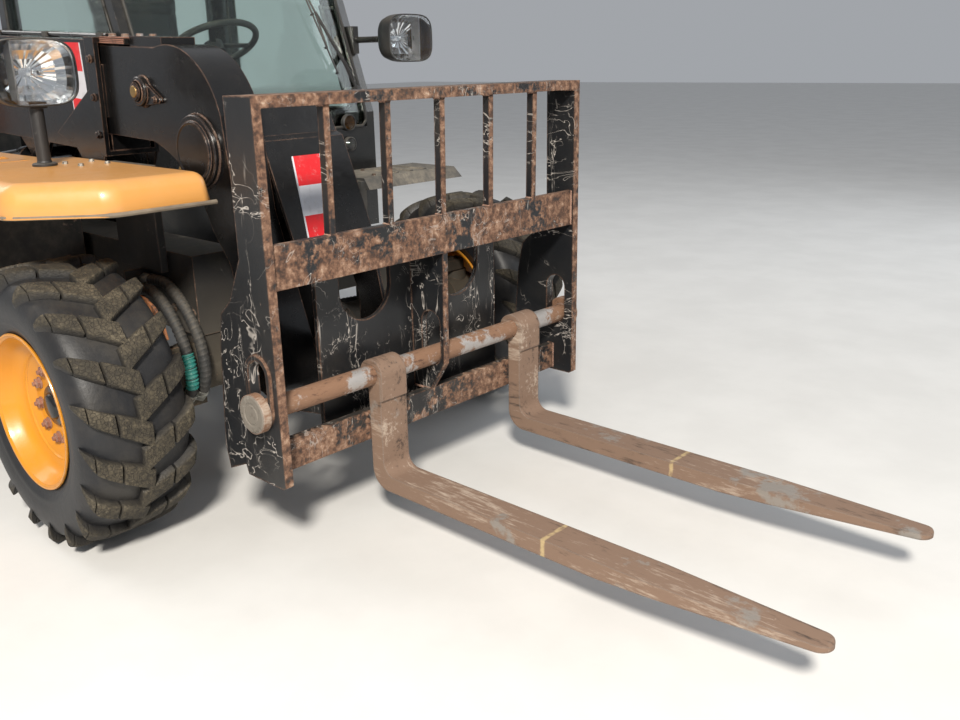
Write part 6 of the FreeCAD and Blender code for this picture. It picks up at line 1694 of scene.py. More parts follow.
@dataclass
class Headlamp:
    """A big rounded lamp: housing, chrome bowl, bulb, clear lens and amber end."""

    node: str
    centre: Vector
    outward: int
    half_width: float = 0.1195
    half_height: float = 0.0915
    steps: int = 64
    squareness: float = 3.6  # power of the rounded outline; 2 would be an ellipse
    facet_seed: int = 11
    facet_jitter: float = 0.0022

    def ring(self, share: float, x: float) -> list[Vector]:
        """A rounded rectangle about the lamp's axis at x in front of its middle."""
        points = []
        for step in range(self.steps):
            turn = math.tau * step / self.steps
            c, s = math.cos(turn), math.sin(turn)
            reach = (abs(c) ** self.squareness + abs(s) ** self.squareness) ** (-1 / self.squareness)
            y, z = self.half_width * share * reach * c, self.half_height * share * reach * s
            points.append(self.centre + Vector((x, y, z)))
        return points

    def shell(self, draft: Draft, rings: Sequence[tuple[float, float]], slot: int,
              cap_last: bool = False) -> None:
        """Joins rings given as (share, x)."""
        points = [p for share, x in rings for p in self.ring(share, x)]
        faces = ring_faces(len(rings), self.steps)
        if cap_last:
            faces.append(end_faces(len(rings), self.steps)[-1])
        draft.add(points, faces, slot)

    def build(self) -> None:
        """Makes the lamp's body and its lens."""
        body = Draft()
        self.shell(body, ((0.955, 0.030), (0.975, 0.0375), (1.0, 0.0360), (1.0, 0.004), (0.985, -0.010),
                          (0.90, -0.040),
                          (0.76, -0.062), (0.62, -0.0695), (0.30, -0.0700)), 0, cap_last=True)
        self.shell(body, ((0.955, 0.030), (0.93, 0.026), (0.93, 0.020), (0.84, 0.000), (0.66, -0.020),
                          (0.40, -0.034),
                          (0.14, -0.040)), 1, cap_last=True)
        split = self.centre.y + self.outward * self.half_width * 0.46
        body.block((self.centre.x - 0.018, split - 0.0025, self.centre.z - 0.082),
                   (self.centre.x + 0.026, split + 0.0025, self.centre.z + 0.082), 2)
        bulb = self.centre + Vector((-0.036, -self.outward * 0.03, 0))
        body.lathe(((0.0, 0.040), (0.006, 0.038), (0.010, 0.030), (0.010, 0.0)), bulb, Axis.X, 20, slot=1)
        finishes = (PLASTIC, REFLECTOR, GREY_PLASTIC, AMBER_LENS)
        lower = self.centre.z - self.half_height
        if self.node == "headlamp_right":
            self.post(body, lower)
        piece = body.mesh(self.node + "_body", finishes)
        rng = np.random.default_rng(self.facet_seed)
        for vertex in piece.data.vertices:
            inside = vertex.co.x - self.centre.x
            if -0.039 < inside < 0.015 and abs(vertex.co.z - self.centre.z) < self.half_height * 0.88:
                jitter = rng.uniform(-self.facet_jitter, self.facet_jitter)
                if self.in_bowl(vertex.co):
                    vertex.co.x += jitter
        soften(piece, 0.0, angle=22)
        for polygon in piece.data.polygons:
            if polygon.material_index == 1:
                polygon.use_smooth = False
                if (polygon.center.y - split) * self.outward > 0:
                    polygon.material_index = 3
        place(piece, CHASSIS, "trim_plastic", self.node)
        self.lens()

    def in_bowl(self, point: Vector) -> bool:
        """Whether a point lies on the bowl rather than on the housing."""
        y = abs(point.y - self.centre.y) / self.half_width
        z = abs(point.z - self.centre.z) / self.half_height
        reach = (y ** 3.6 + z ** 3.6) ** (1 / 3.6)
        depth = point.x - self.centre.x
        outer = 1.0 if depth > -0.010 else 1.0 + (depth + 0.010) * 3.5
        return reach < outer - 0.10

    def lens(self) -> None:
        """The clear front, fluted on its inside."""
        draft = Draft()
        front = ((0.955, 0.031), (0.95, 0.0365), (0.90, 0.0385), (0.70, 0.0393), (0.40, 0.0397),
                 (0.10, 0.0398))
        back = ((0.10, 0.0370), (0.40, 0.0369), (0.70, 0.0366), (0.90, 0.0357), (0.945, 0.0338),
                (0.955, 0.031))
        self.shell(draft, front + back, 0)
        piece = draft.mesh(self.node + "_lens", (LENS_GLASS,))
        soften(piece, 0.0, angle=40)
        place(piece, CHASSIS, "lamp_lens")

    def post(self, draft: Draft, lower: float) -> None:
        """The round post that carries the lamp, with its foot and bracket."""
        x, y = self.centre.x, self.centre.y
        foot = Vector((x, y, 1.035))
        draft.lathe(((0.034, 0.0), (0.034, 0.006), (0.031, 0.008), (0.021, 0.009), (0.0195, 0.014)), foot,
                    Axis.Z, 32)
        draft.rod(foot + Vector((0, 0, 0.004)), Vector((x, y, lower + 0.012)), 0.019, 28)
        draft.block((x - 0.030, y - 0.024, lower - 0.006), (x + 0.020, y + 0.024, lower + 0.012))


@dataclass
class Lamps:
    """The two headlamps and the tail lamps."""

    def build(self) -> None:
        """Makes all lamps."""
        for node, side in (("headlamp_right", -1), ("headlamp_left", 1)):
            low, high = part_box(node)
            if side < 0:
                centre = Vector((high.x - 0.040, (low.y + high.y) / 2, high.z - 0.0920))
            else:
                centre = Vector((high.x - 0.040, high.y - 0.120, (low.z + high.z) / 2))
            Headlamp(node, centre, side).build()
        self.left_arm()
        self.tail()

    def left_arm(self) -> None:
        """The bracket that holds the left lamp to the cab's corner post."""
        low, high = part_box("headlamp_left")
        middle = (low.z + high.z) / 2
        draft = Draft()
        draft.block((low.x, 0.8250, middle - 0.055), (low.x + 0.058, 0.8540, middle + 0.055))
        start = Vector((low.x + 0.040, 0.842, middle))
        end = Vector((high.x - 0.105, high.y - 0.130, middle))
        draft.pipe([start, start.lerp(end, 0.4) + Vector((0, 0.010, 0)), start.lerp(end, 0.8), end], 0.013,
                   16)
        make(draft, "left_lamp_arm", CHASSIS, "cab_black", (CAB_PAINT,), 0.002)

    def tail(self) -> None:
        """Tail lamps: a black case with red and amber ribbed lenses."""
        low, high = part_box("tail_lamps")
        draft = Draft()
        back = low.x
        for side in (-1, 1):
            y0, y1 = side * 0.600, side * 0.780
            a, b = min(y0, y1), max(y0, y1)
            draft.block((back + 0.014, a, low.z), (high.x, b, high.z))
            draft.block((back + 0.006, a + 0.006, low.z + 0.006), (back + 0.015, b - 0.006, high.z - 0.006))
            split = side * 0.720
            for start, end, slot in ((min(abs(y0), abs(split)), abs(split) - 0.003, 1), (abs(split) + 0.003,
                                                                                         abs(y1), 2)):
                inner, outer = sorted((side * (start + 0.008), side * (end - 0.008)))
                ribs = 7
                for rib in range(ribs):
                    z0 = low.z + 0.009 + rib * (high.z - low.z - 0.018) / ribs
                    z1 = z0 + (high.z - low.z - 0.018) / ribs
                    outline = [(back + 0.007, z0), (back + 0.0025, z0 + 0.001), (back + 0.0005,
                                                                                 (z0 + z1) / 2),
                               (back + 0.0025, z1 - 0.001), (back + 0.007, z1)]
                    draft.prism(outline, Axis.Y, inner, outer, slot)
        make(draft, "tail_lamp_blocks", CHASSIS, "tail_red", (PLASTIC, RED_LENS, AMBER_LENS), 0.0008,
             nodes=("tail_lamps",))


# Hoses


@dataclass
class Hoses:
    """Two sleeved hoses from the frame to the front axle, one with a coil guard."""

    radius: float = 0.0172
    # y, then x and z of each point of the route
    routes: tuple[tuple[float, tuple[Flat, ...]], ...] = (
        (-0.471, ((0.300, 0.662), (0.370, 0.674), (0.450, 0.672), (0.530, 0.615), (0.590, 0.535),
                  (0.612, 0.450),
                  (0.600, 0.372), (0.556, 0.334))),
        (-0.509, ((0.300, 0.640), (0.365, 0.652), (0.440, 0.650), (0.515, 0.592), (0.570, 0.515),
                  (0.590, 0.440),
                  (0.592, 0.366), (0.556, 0.334))),
    )

    def build(self) -> None:
        """Makes the hoses with their ends and guard."""
        draft = Draft()
        for number, (y, route) in enumerate(self.routes):
            line = self.smooth_line([Vector((x, y, z)) for x, z in route])
            self.wrapped(draft, line, self.radius, 0.0011, 0.016, 0, 0.0, 1.0)
            for end, after in ((0, 6), (-1, -7)):
                draft.rod(line[end], line[after], self.radius + 0.0028, 20, slot=1)
                draft.rod(line[end], line[after // 2], self.radius + 0.0050, 6, slot=1)
            if number == 1:
                self.wrapped(draft, line, self.radius + 0.0014, 0.0026, 0.011, 2, 0.66, 0.90)
        piece = draft.mesh("sleeved_hoses", (HOSE, ZINC, TEAL))
        soften(piece, 0.0, angle=45)
        place(piece, CHASSIS, "hose_rubber", "boom_hoses")

    @staticmethod
    def smooth_line(points: Sequence[Vector]) -> list[Vector]:
        """Points read from the route's own NURBS curve."""
        curve = bpy.data.curves.new("route", "CURVE")
        curve.dimensions = "3D"
        line = curve.splines.new("NURBS")
        line.points.add(len(points) - 1)
        for spot, point in zip(line.points, points):
            spot.co = (*point, 1)
        line.order_u = 3
        line.use_endpoint_u = True
        line.resolution_u = 14
        holder = show("route", curve)
        bpy.context.view_layer.update()
        graph = bpy.context.evaluated_depsgraph_get()
        mesh = bpy.data.meshes.new_from_object(holder.evaluated_get(graph))
        found = [v.co.copy() for v in mesh.vertices]
        bpy.data.objects.remove(holder)
        bpy.data.curves.remove(curve)
        bpy.data.meshes.remove(mesh)
        return found

    @staticmethod
    def wrapped(draft: Draft, line: Sequence[Vector], radius: float, ridge: float, pitch: float, slot: int,
                start: float, end: float) -> None:
        """Adds a tube whose surface rises in a helix, over a share of a line."""
        count, sides = len(line), 24
        first, last = int(start * (count - 1)), int(end * (count - 1))
        fine: list[Vector] = []
        for number in range(first, last):
            for step in range(4):
                fine.append(line[number].lerp(line[number + 1], step / 4))
        fine.append(line[last])
        points = []
        run = 0.0
        for number, (spot, side, above) in enumerate(across_path(fine, Vector((0, 1, 0)))):
            if number:
                run += (spot - fine[number - 1]).length
            for step in range(sides):
                turn = math.tau * step / sides
                wave = 0.5 + 0.5 * math.cos(math.tau * run / pitch - turn)
                reach = radius + ridge * (wave ** 2.5 - 0.4)
                points.append(spot + (side * math.cos(turn) + above * math.sin(turn)) * reach)
        draft.add(points, end_faces(len(fine), sides) + ring_faces(len(fine), sides), slot)


# Front bay


@dataclass
class FrontBay:
    """What shows between the front tyre and the boom: a rusted horn beside the hoses, and its foot."""

    inner_y: float = -0.536
    outer_y: float = -0.545
    # x and z of the horn's edge, over and back under
    horn: tuple[Flat, ...] = ((0.302, 0.642), (0.360, 0.643), (0.430, 0.638), (0.480, 0.617), (0.515, 0.582),
                              (0.537, 0.524), (0.519, 0.520), (0.497, 0.565), (0.468, 0.592), (0.425, 0.608),
                              (0.360, 0.614), (0.302, 0.612))

    def build(self) -> None:
        """Makes the horn and the bolts of its foot."""
        draft = Draft()
        draft.prism(self.horn, Axis.Y, self.outer_y, self.inner_y)
        draft.block((0.299, self.outer_y, 0.606), (0.309, -0.529, 0.648))
        draft.block((0.299, -0.532, 0.600), (0.305, -0.490, 0.619))
        make(draft, "hose_horn", CHASSIS, "chassis_black", (HORN_RUST,), 0.0025)
        for y in (-0.520, -0.500):
            FASTENERS.bolt(CHASSIS, (0.305, y, 0.609), (1, 0, 0), 0.010)


# Seat


@dataclass
class Seat:
    """The operator's seat: two pads swollen by simulated pressure, and the bellows under them."""

    voxel: float = 0.006
    pressure: float = 4.0
    cap: float = 0.022
    frames: int = 20
    shrink: float = 0.015
    groove: float = 0.0055
    groove_width: float = 0.006

    def build(self) -> None:
        """Makes both pads, and the bellows and lever under them."""
        base = ((-1.050, 1.015), (-0.570, 1.015), (-0.570, 1.118), (-0.950, 1.103), (-1.050, 1.103))
        back = ((-1.070, 1.104), (-0.950, 1.104), (-1.010, 1.624), (-1.090, 1.624))
        # Seams: axis they are set out on, places along it, and the side of the pad that shows them
        base_seams = ((Axis.Y, (0.195, 0.485), Axis.Z), (Axis.X, (-0.900, -0.760), Axis.Z))
        back_seams = ((Axis.Y, (0.205, 0.475), Axis.X), (Axis.Z, (1.250, 1.400, 1.530), Axis.X))
        self.pad("seat_pad", "seat_cushion", base, (0.100, 0.580), base_seams)
        self.pad("back_pad", "seat_backrest", back, (0.115, 0.565), back_seams)
        draft = Draft()
        for fold in range(12):
            low = 0.700 + fold * 0.022
            draft.block((-1.016, 0.134, low), (-0.624, 0.546, low + 0.013))
        draft.block((-0.640, 0.545, 0.990), (-0.600, 0.570, 1.010), 1)
        draft.rod(Vector((-0.620, 0.557, 1.000)), Vector((-0.560, 0.575, 1.000)), 0.007, 10, 1)
        make(draft, "seat_bellows", CHASSIS, "trim_plastic", (SEAL, GREY_PLASTIC), 0.004)

    def pad(self, name: str, node: str, outline: Sequence[Flat], sides: Flat,
            seams: Sequence[tuple[Axis, tuple[float, ...], Axis]]) -> None:
        """One pad, shrunk, remeshed evenly, swollen, grooved and kept in its solid's space."""
        low, high = (Vector(corner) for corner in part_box(node))
        middle = (low + high) / 2
        draft = Draft()
        draft.prism(outline, Axis.Y, *sides)
        piece = draft.mesh(name, (VINYL,))
        for vertex in piece.data.vertices:
            for axis in range(3):
                gap = vertex.co[axis] - middle[axis]
                vertex.co[axis] -= math.copysign(self.shrink, gap)
        soften(piece, 0.024, 4)
        piece = settle(piece)
        remesh = piece.modifiers.new("even mesh", "REMESH")
        remesh.mode = "VOXEL"
        remesh.voxel_size = self.voxel
        piece = settle(piece)
        piece = self.swell(piece)
        self.sew(piece, seams)
        finer = piece.modifiers.new("finer", "SUBSURF")
        finer.levels = finer.render_levels = 1
        piece = settle(piece)
        for vertex in piece.data.vertices:
            for axis in range(3):
                vertex.co[axis] = min(max(vertex.co[axis], low[axis] + 0.0005), high[axis] - 0.0005)
        piece.data.materials.clear()
        piece.data.materials.append(VINYL.material())
        piece.data.shade_smooth()
        place(piece, CHASSIS, "seat_vinyl", node)

    def swell(self, piece: bpy.types.Object) -> bpy.types.Object:
        """Runs the cloth under pressure and holds each point within the cap."""
        start = [vertex.co.copy() for vertex in piece.data.vertices]
        cloth = piece.modifiers.new("swelling", "CLOTH")
        cloth.settings.use_pressure = True
        cloth.settings.uniform_pressure_force = self.pressure
        cloth.settings.effector_weights.gravity = 0
        for number in range(1, self.frames + 1):
            bpy.context.scene.frame_set(number)
        piece = settle(piece)
        bpy.context.scene.frame_set(1)
        for vertex, before in zip(piece.data.vertices, start):
            move = vertex.co - before
            if move.length > self.cap:
                vertex.co = before + move.normalized() * self.cap
        return piece

    def sew(self, piece: bpy.types.Object, seams: Sequence[tuple[Axis, tuple[float, ...], Axis]]) -> None:
        """Presses sewn channels into the side of a pad that faces the operator."""
        normals = [vertex.normal.copy() for vertex in piece.data.vertices]
        for axis, places, face in seams:
            for vertex, normal in zip(piece.data.vertices, normals):
                outward = max(0.0, normal[face.value])
                near = sum(math.exp(-((vertex.co[axis.value] - spot) / self.groove_width) ** 2)
                           for spot in places)
                vertex.co[face.value] -= self.groove * near * outward


# Cab


def screen_x(z: float) -> float:
    """X of the cab's front face at a height."""
    return -0.083 - 0.3506 * max(0.0, z - 1.100)


@dataclass
class Cab:
    """Seals, wiper, lamps and rails outside the cab, controls and linings inside it."""

    right_y: float = -0.185
    left_y: float = 0.860
    rear_x: float = -1.180

    def build(self) -> None:
        """Makes what the cab carries, outside and inside."""
        self.seals()
        self.wiper()
        self.front_lamps()
        self.roof()
        self.controls()
        self.console()
        self.door()
        for z in (0.885, 1.645):
            for lift in (0.010, 0.030):
                FASTENERS.bolt(CHASSIS, (-1.120, 0.868, z + lift), (0, 1, 0), 0.010, "cab_black")
                FASTENERS.bolt("cab_door", (-1.072, 0.868, z + 0.042 + lift), (0, 1, 0), 0.010, "cab_black")

    @staticmethod
    def loop(draft: Draft, corners: Sequence[Point], radius: float, slot: int = 0, sides: int = 8) -> None:
        """A bead of rubber round a window, with short corners."""
        count = len(corners)
        path = []
        for number in range(count):
            here, after = Vector(corners[number]), Vector(corners[(number + 1) % count])
            run = (after - here).normalized() * 0.022
            path += [here + run, here.lerp(after, 0.5), after - run]
        path += [path[0].copy(), path[1].copy()]
        draft.pipe(path, radius, sides, slot)

    def seals(self) -> None:
        """Rubber round the front, right and rear glass, and round the door's window."""
        draft = Draft()
        levels = (1.044, 1.100, 1.882)
        front = [(screen_x(z) + 0.001, 0.816, z) for z in levels]
        front += [(screen_x(z) + 0.001, -0.141, z) for z in reversed(levels)]
        self.loop(draft, front, 0.0065)
        outline = ((screen_x(1.120) - 0.057, 1.120), (screen_x(1.885) - 0.057, 1.885), (-1.110, 1.885),
                   (-1.110, 1.120))
        self.loop(draft, [(x, self.right_y - 0.001, z) for x, z in outline], 0.006)
        rear = ((-0.115, 1.180), (0.790, 1.180), (0.790, 1.885), (-0.115, 1.885))
        self.loop(draft, [(self.rear_x - 0.001, y, z) for y, z in rear], 0.006)
        make(draft, "window_seals", CHASSIS, "cab_black", (SEAL,), 0.0)
        leaf = Draft()
        window = ((screen_x(1.110) - 0.102, 1.110), (screen_x(1.840) - 0.102, 1.840), (-1.050, 1.840),
                  (-1.050, 1.110))
        for y in (self.left_y + 0.001, self.left_y - 0.041):
            self.loop(leaf, [(x, y, z) for x, z in window], 0.006)
        make(leaf, "door_window_seals", "cab_door", "cab_black", (SEAL,), 0.0)

    def wiper(self) -> None:
        """The front wiper: motor cover, sprung arm and its blade on the glass."""
        draft = Draft()
        foot = Vector((screen_x(1.182) + 0.002, 0.786, 1.182))
        tip = Vector((screen_x(1.500) + 0.026, 0.672, 1.500))
        out = Vector((0.944, 0, 0.331))
        draft.rod(foot, foot + out * 0.024, 0.021, 20)
        draft.rod(foot + out * 0.024, foot + out * 0.032, 0.013, 6)
        knee = foot.lerp(tip, 0.30) + out * 0.022
        draft.pipe([foot + out * 0.020, knee, tip], 0.0065, 8)
        draft.pipe([foot.lerp(tip, 0.12) + out * 0.030, foot.lerp(tip, 0.36) + out * 0.030], 0.0045, 8)
        low = Vector((screen_x(1.260) + 0.010, 0.712, 1.260))
        high = Vector((screen_x(1.720) + 0.010, 0.618, 1.720))
        draft.pipe([low.lerp(high, k / 6) + out * 0.004 for k in range(7)], 0.0035, 6)
        draft.pipe([low.lerp(high, 0.22) + out * 0.006, tip, low.lerp(high, 0.80) + out * 0.006], 0.0040, 6)
        for share in (0.0, 0.22, 0.5, 0.80, 1.0):
            spot = low.lerp(high, share)
            draft.rod(spot - out * 0.006, spot + out * 0.008, 0.0055, 6)
        make(draft, "front_wiper", CHASSIS, "trim_plastic", (PLASTIC,), 0.0)

    def front_lamps(self) -> None:
        """Two round lamps on the cab's front corner, amber over clear."""
        draft = Draft()
        for y, z, radius, slot in ((0.714, 1.062, 0.034, 1), (0.714, 0.974, 0.030, 2)):
            spot = Vector((-0.083, y, z))
            draft.lathe(((radius, -0.002), (radius, 0.014), (radius - 0.004, 0.017), (radius - 0.006, 0.012)),
                        spot, Axis.X, 32)
            draft.lathe(((radius - 0.005, 0.004), (radius - 0.005, 0.014), (radius * 0.6, 0.021),
                         (0.0, 0.024)), spot,
                        Axis.X, 32, slot)
        make(draft, "cab_front_lamps", CHASSIS, "trim_plastic", (PLASTIC, AMBER_LENS, LENS_GLASS), 0.0)

    def roof(self) -> None:
        """The drip rail round the roof, ribs on its top and two work lamps under its front."""
        draft = Draft()
        low, high = (-1.198, -0.192), (-0.334, 0.878)
        edge = [(low[0], low[1], 1.937), (high[0], low[1], 1.937), (high[0], high[1], 1.937),
                (low[0], high[1], 1.937)]
        self.loop(draft, edge, 0.0055)
        for y in (0.020, 0.180, 0.340, 0.500, 0.660):
            draft.prism(((y - 0.022, 1.9745), (y + 0.022, 1.9745), (y + 0.012, 1.9995), (y - 0.012, 1.9995)),
                        Axis.X,
                        -1.170, -0.386)
        make(draft, "roof_rails", CHASSIS, "cab_black", (CAB_PAINT,), 0.002)
        lamps = Draft()
        for y in (0.060, 0.620):
            lamps.block((-0.372, y - 0.014, 1.912), (-0.340, y + 0.014, 1.932))
            lamps.prism(((y - 0.055, 1.838), (y + 0.055, 1.838), (y + 0.050, 1.914), (y - 0.050, 1.914)),
                        Axis.X,
                        -0.330, -0.300)
            lamps.block((-0.3005, y - 0.046, 1.846), (-0.2965, y + 0.046, 1.906), 1)
            lamps.rod(Vector((-0.352, y, 1.920)), Vector((-0.322, y, 1.890)), 0.008, 10)
        make(lamps, "roof_work_lamps", CHASSIS, "trim_plastic", (PLASTIC, LENS_GLASS), 0.0025)

    def controls(self) -> None:
        """Gauges, switches and a round knob on the dashboard, the pedals and the mat."""
        draft = Draft()
        slope = Vector((0.928, 0, 0.371))
        normal = Vector((-0.371, 0, 0.928))
        for y, size in ((0.200, 0.034), (0.290, 0.042), (0.390, 0.042), (0.480, 0.034)):
            spot = Vector((-0.265, y, 1.147))
            draft.rod(spot, spot + normal * 0.012, size, 28)
            draft.rod(spot + normal * 0.012, spot + normal * 0.013, size * 0.86, 28, 1)
        for number in range(8):
            spot = Vector((-0.205, 0.120 + 0.052 * number, 1.171))
            draft.rod(spot, spot + normal * 0.014, 0.012, 4, 2)
        draft.rod(Vector((-0.245, 0.580, 1.150)), Vector((-0.245, 0.580, 1.150)) + normal * 0.030, 0.016, 12,
                  2)
        make(draft, "dash_gauges", CHASSIS, "trim_plastic", (PLASTIC, LENS_GLASS, GREY_PLASTIC), 0.0012)
        floor = Draft()
        floor.block((-0.600, 0.060, 0.6502), (-0.250, 0.640, 0.6545))
        for row in range(11):
            floor.block((-0.592 + row * 0.031, 0.070, 0.6540), (-0.580 + row * 0.031, 0.630, 0.6575))
        for y, width in ((0.180, 0.030), (0.340, 0.034), (0.500, 0.030)):
            pad = Vector((-0.330, y, 0.770))
            floor.prism(((-0.345, 0.725), (-0.337, 0.720), (-0.312, 0.800), (-0.320, 0.805)), Axis.Y,
                        y - width, y + width)
            floor.pipe([pad + Vector((0.010, 0, 0)), pad + Vector((0.050, 0, 0.030)),
                        pad + Vector((0.105, 0, 0.045))], 0.008, 8)
        make(floor, "pedals_and_mat", CHASSIS, "trim_plastic", (SEAL,), 0.0015)

    def console(self) -> None:
        """The side console with its lever, and a lining under the roof."""
        draft = Draft()
        draft.prism(((-0.980, 0.652), (-0.520, 0.652), (-0.500, 0.900), (-0.560, 1.010), (-0.900, 1.030),
                     (-0.980, 0.980)),
                    Axis.Y, -0.120, 0.050)
        foot = Vector((-0.600, -0.035, 1.005))
        draft.rod(foot - Vector((0, 0, 0.010)), foot + Vector((0, 0, 0.020)), 0.030, 20, 1, 0.016)
        draft.rod(foot, foot + Vector((-0.012, 0, 0.090)), 0.007, 12, 2)
        draft.rod(foot + Vector((-0.012, 0, 0.085)), foot + Vector((-0.020, 0, 0.155)), 0.018, 16, 1, 0.024)
        for y in (-0.080, 0.005):
            stem = Vector((-0.680, y, 1.015))
            draft.rod(stem, stem + Vector((0, 0, 0.050)), 0.005, 10, 2)
            draft.rod(stem + Vector((0, 0, 0.048)), stem + Vector((0, 0, 0.072)), 0.012, 12, 1)
        draft.block((-1.125, -0.138, 1.908), (-0.440, 0.812, 1.928), 3)
        make(draft, "side_console", CHASSIS, "trim_plastic", (GREY_PLASTIC, PLASTIC, CHROME, LINING), 0.006,
             3)
        rail = Draft()
        rail.pipe([Vector((screen_x(z) - 0.075, 0.790, z)) for z in (1.180, 1.210, 1.500, 1.530)], 0.011, 12)
        for z in (1.190, 1.520):
            rail.rod(Vector((screen_x(z) - 0.075, 0.790, z)), Vector((screen_x(z) - 0.034, 0.824, z)), 0.009,
                     10)
        make(rail, "grab_rail", CHASSIS, "cab_black", (PLASTIC,), 0.0)

    def door(self) -> None:
        """The door's latch, its pull and the pressed panel below its window."""
        draft = Draft()
        draft.block((-0.352, 0.8595, 0.996), (-0.246, 0.8635, 1.059))
        draft.rod(Vector((-0.262, 0.874, 1.0275)), Vector((-0.262, 0.878, 1.0275)), 0.011, 16, 1)
        draft.block((-0.980, 0.8595, 0.760), (-0.300, 0.8640, 0.960))
        draft.block((-0.940, 0.8635, 0.790), (-0.340, 0.8665, 0.930))
        draft.pipe([Vector((-0.420, 0.822, 0.980)), Vector((-0.420, 0.790, 0.980)),
                    Vector((-0.640, 0.790, 0.980)),
                    Vector((-0.640, 0.822, 0.980))], 0.009, 10)
        make(draft, "door_trim", "cab_door", "cab_black", (CAB_PAINT, CHROME), 0.002)


# Engine pod


@dataclass
class EnginePod:
    """Louvres, latches and bolts of the pod, and the exhaust's bands, flap and shield."""

    side_y: float = -0.962
    pipe: Vector = field(default_factory=lambda: Vector((-1.195, -0.600, 0.0)))

    def build(self) -> None:
        """Makes the hood's pressings and the exhaust's trim."""
        hood = Draft()
        for number in range(9):
            z = 0.700 + number * 0.020
            hood.prism(((self.side_y, z - 0.003), (self.side_y - 0.009, z), (self.side_y - 0.011, z + 0.003),
                        (self.side_y, z + 0.014)), Axis.X, -0.897, -0.503)
        for x in (-0.400, -0.200):
            hood.prism(((-0.860, 1.0095), (-0.560, 1.0095), (-0.580, 1.0185), (-0.840, 1.0185)), Axis.X,
                       x - 0.045, x + 0.045)
        hood.block((-1.110, self.side_y - 0.004, 0.652), (-0.090, self.side_y + 0.001, 0.668))
        make(hood, "hood_pressings", "engine_hood", "body_yellow", (BODY_PAINT,), 0.0015)
        latches = Draft()
        for x in (-0.240, -0.960):
            spot = Vector((x, self.side_y, 0.705))
            latches.lathe(((0.030, 0.0), (0.030, 0.005), (0.026, 0.008), (0.010, 0.008)), spot, Axis.Y, 28,
                          sign=-1)
            latches.block((x - 0.006, self.side_y - 0.017, 0.688), (x + 0.006, self.side_y - 0.006, 0.722))
        make(latches, "hood_latches", "engine_hood", "trim_plastic", (PLASTIC,), 0.001)
        for x in (-1.090, -0.820, -0.550, -0.280, -0.110):
            FASTENERS.bolt(CHASSIS, (x, -0.950, 0.470), (0, -1, 0), 0.016)
        for y in (-0.900, -0.700, -0.540):
            for z in (0.480, 0.700):
                FASTENERS.bolt(CHASSIS, (-0.060, y, z), (1, 0, 0), 0.016)
        self.exhaust()

    def exhaust(self) -> None:
        """Bands round the muffler, bars of its shield and the flap on its outlet."""
        draft = Draft()
        for z in (1.074, 1.175, 1.276):
            draft.lathe(((0.0455, -0.007), (0.0478, -0.006), (0.0478, 0.006), (0.0455, 0.007)),
                        self.pipe + Vector((0, 0, z)), Axis.Z, 40)
        for step in range(9):
            turn = math.radians(108 + 18 * step)
            spot = self.pipe + Vector((0.054 * math.cos(turn), 0.054 * math.sin(turn), 0))
            draft.pipe([spot + Vector((0, 0, z)) for z in (1.060, 1.175, 1.290)], 0.0042, 8)
        draft.lathe(((0.0335, 0.0), (0.0335, 0.016), (0.031, 0.016), (0.031, 0.0)),
                    self.pipe + Vector((0, 0, 1.372)), Axis.Z,
                    32, closed=True)
        draft.prism(((-1.238, 1.404), (-1.166, 1.404), (-1.162, 1.407), (-1.240, 1.408)), Axis.Y, -0.636,
                    -0.564)
        draft.rod(Vector((-1.238, -0.620, 1.402)), Vector((-1.238, -0.580, 1.402)), 0.006, 10)
        make(draft, "exhaust_shield", CHASSIS, "steel_worn", (RUSTED_NUT,), 0.0)


# Fenders


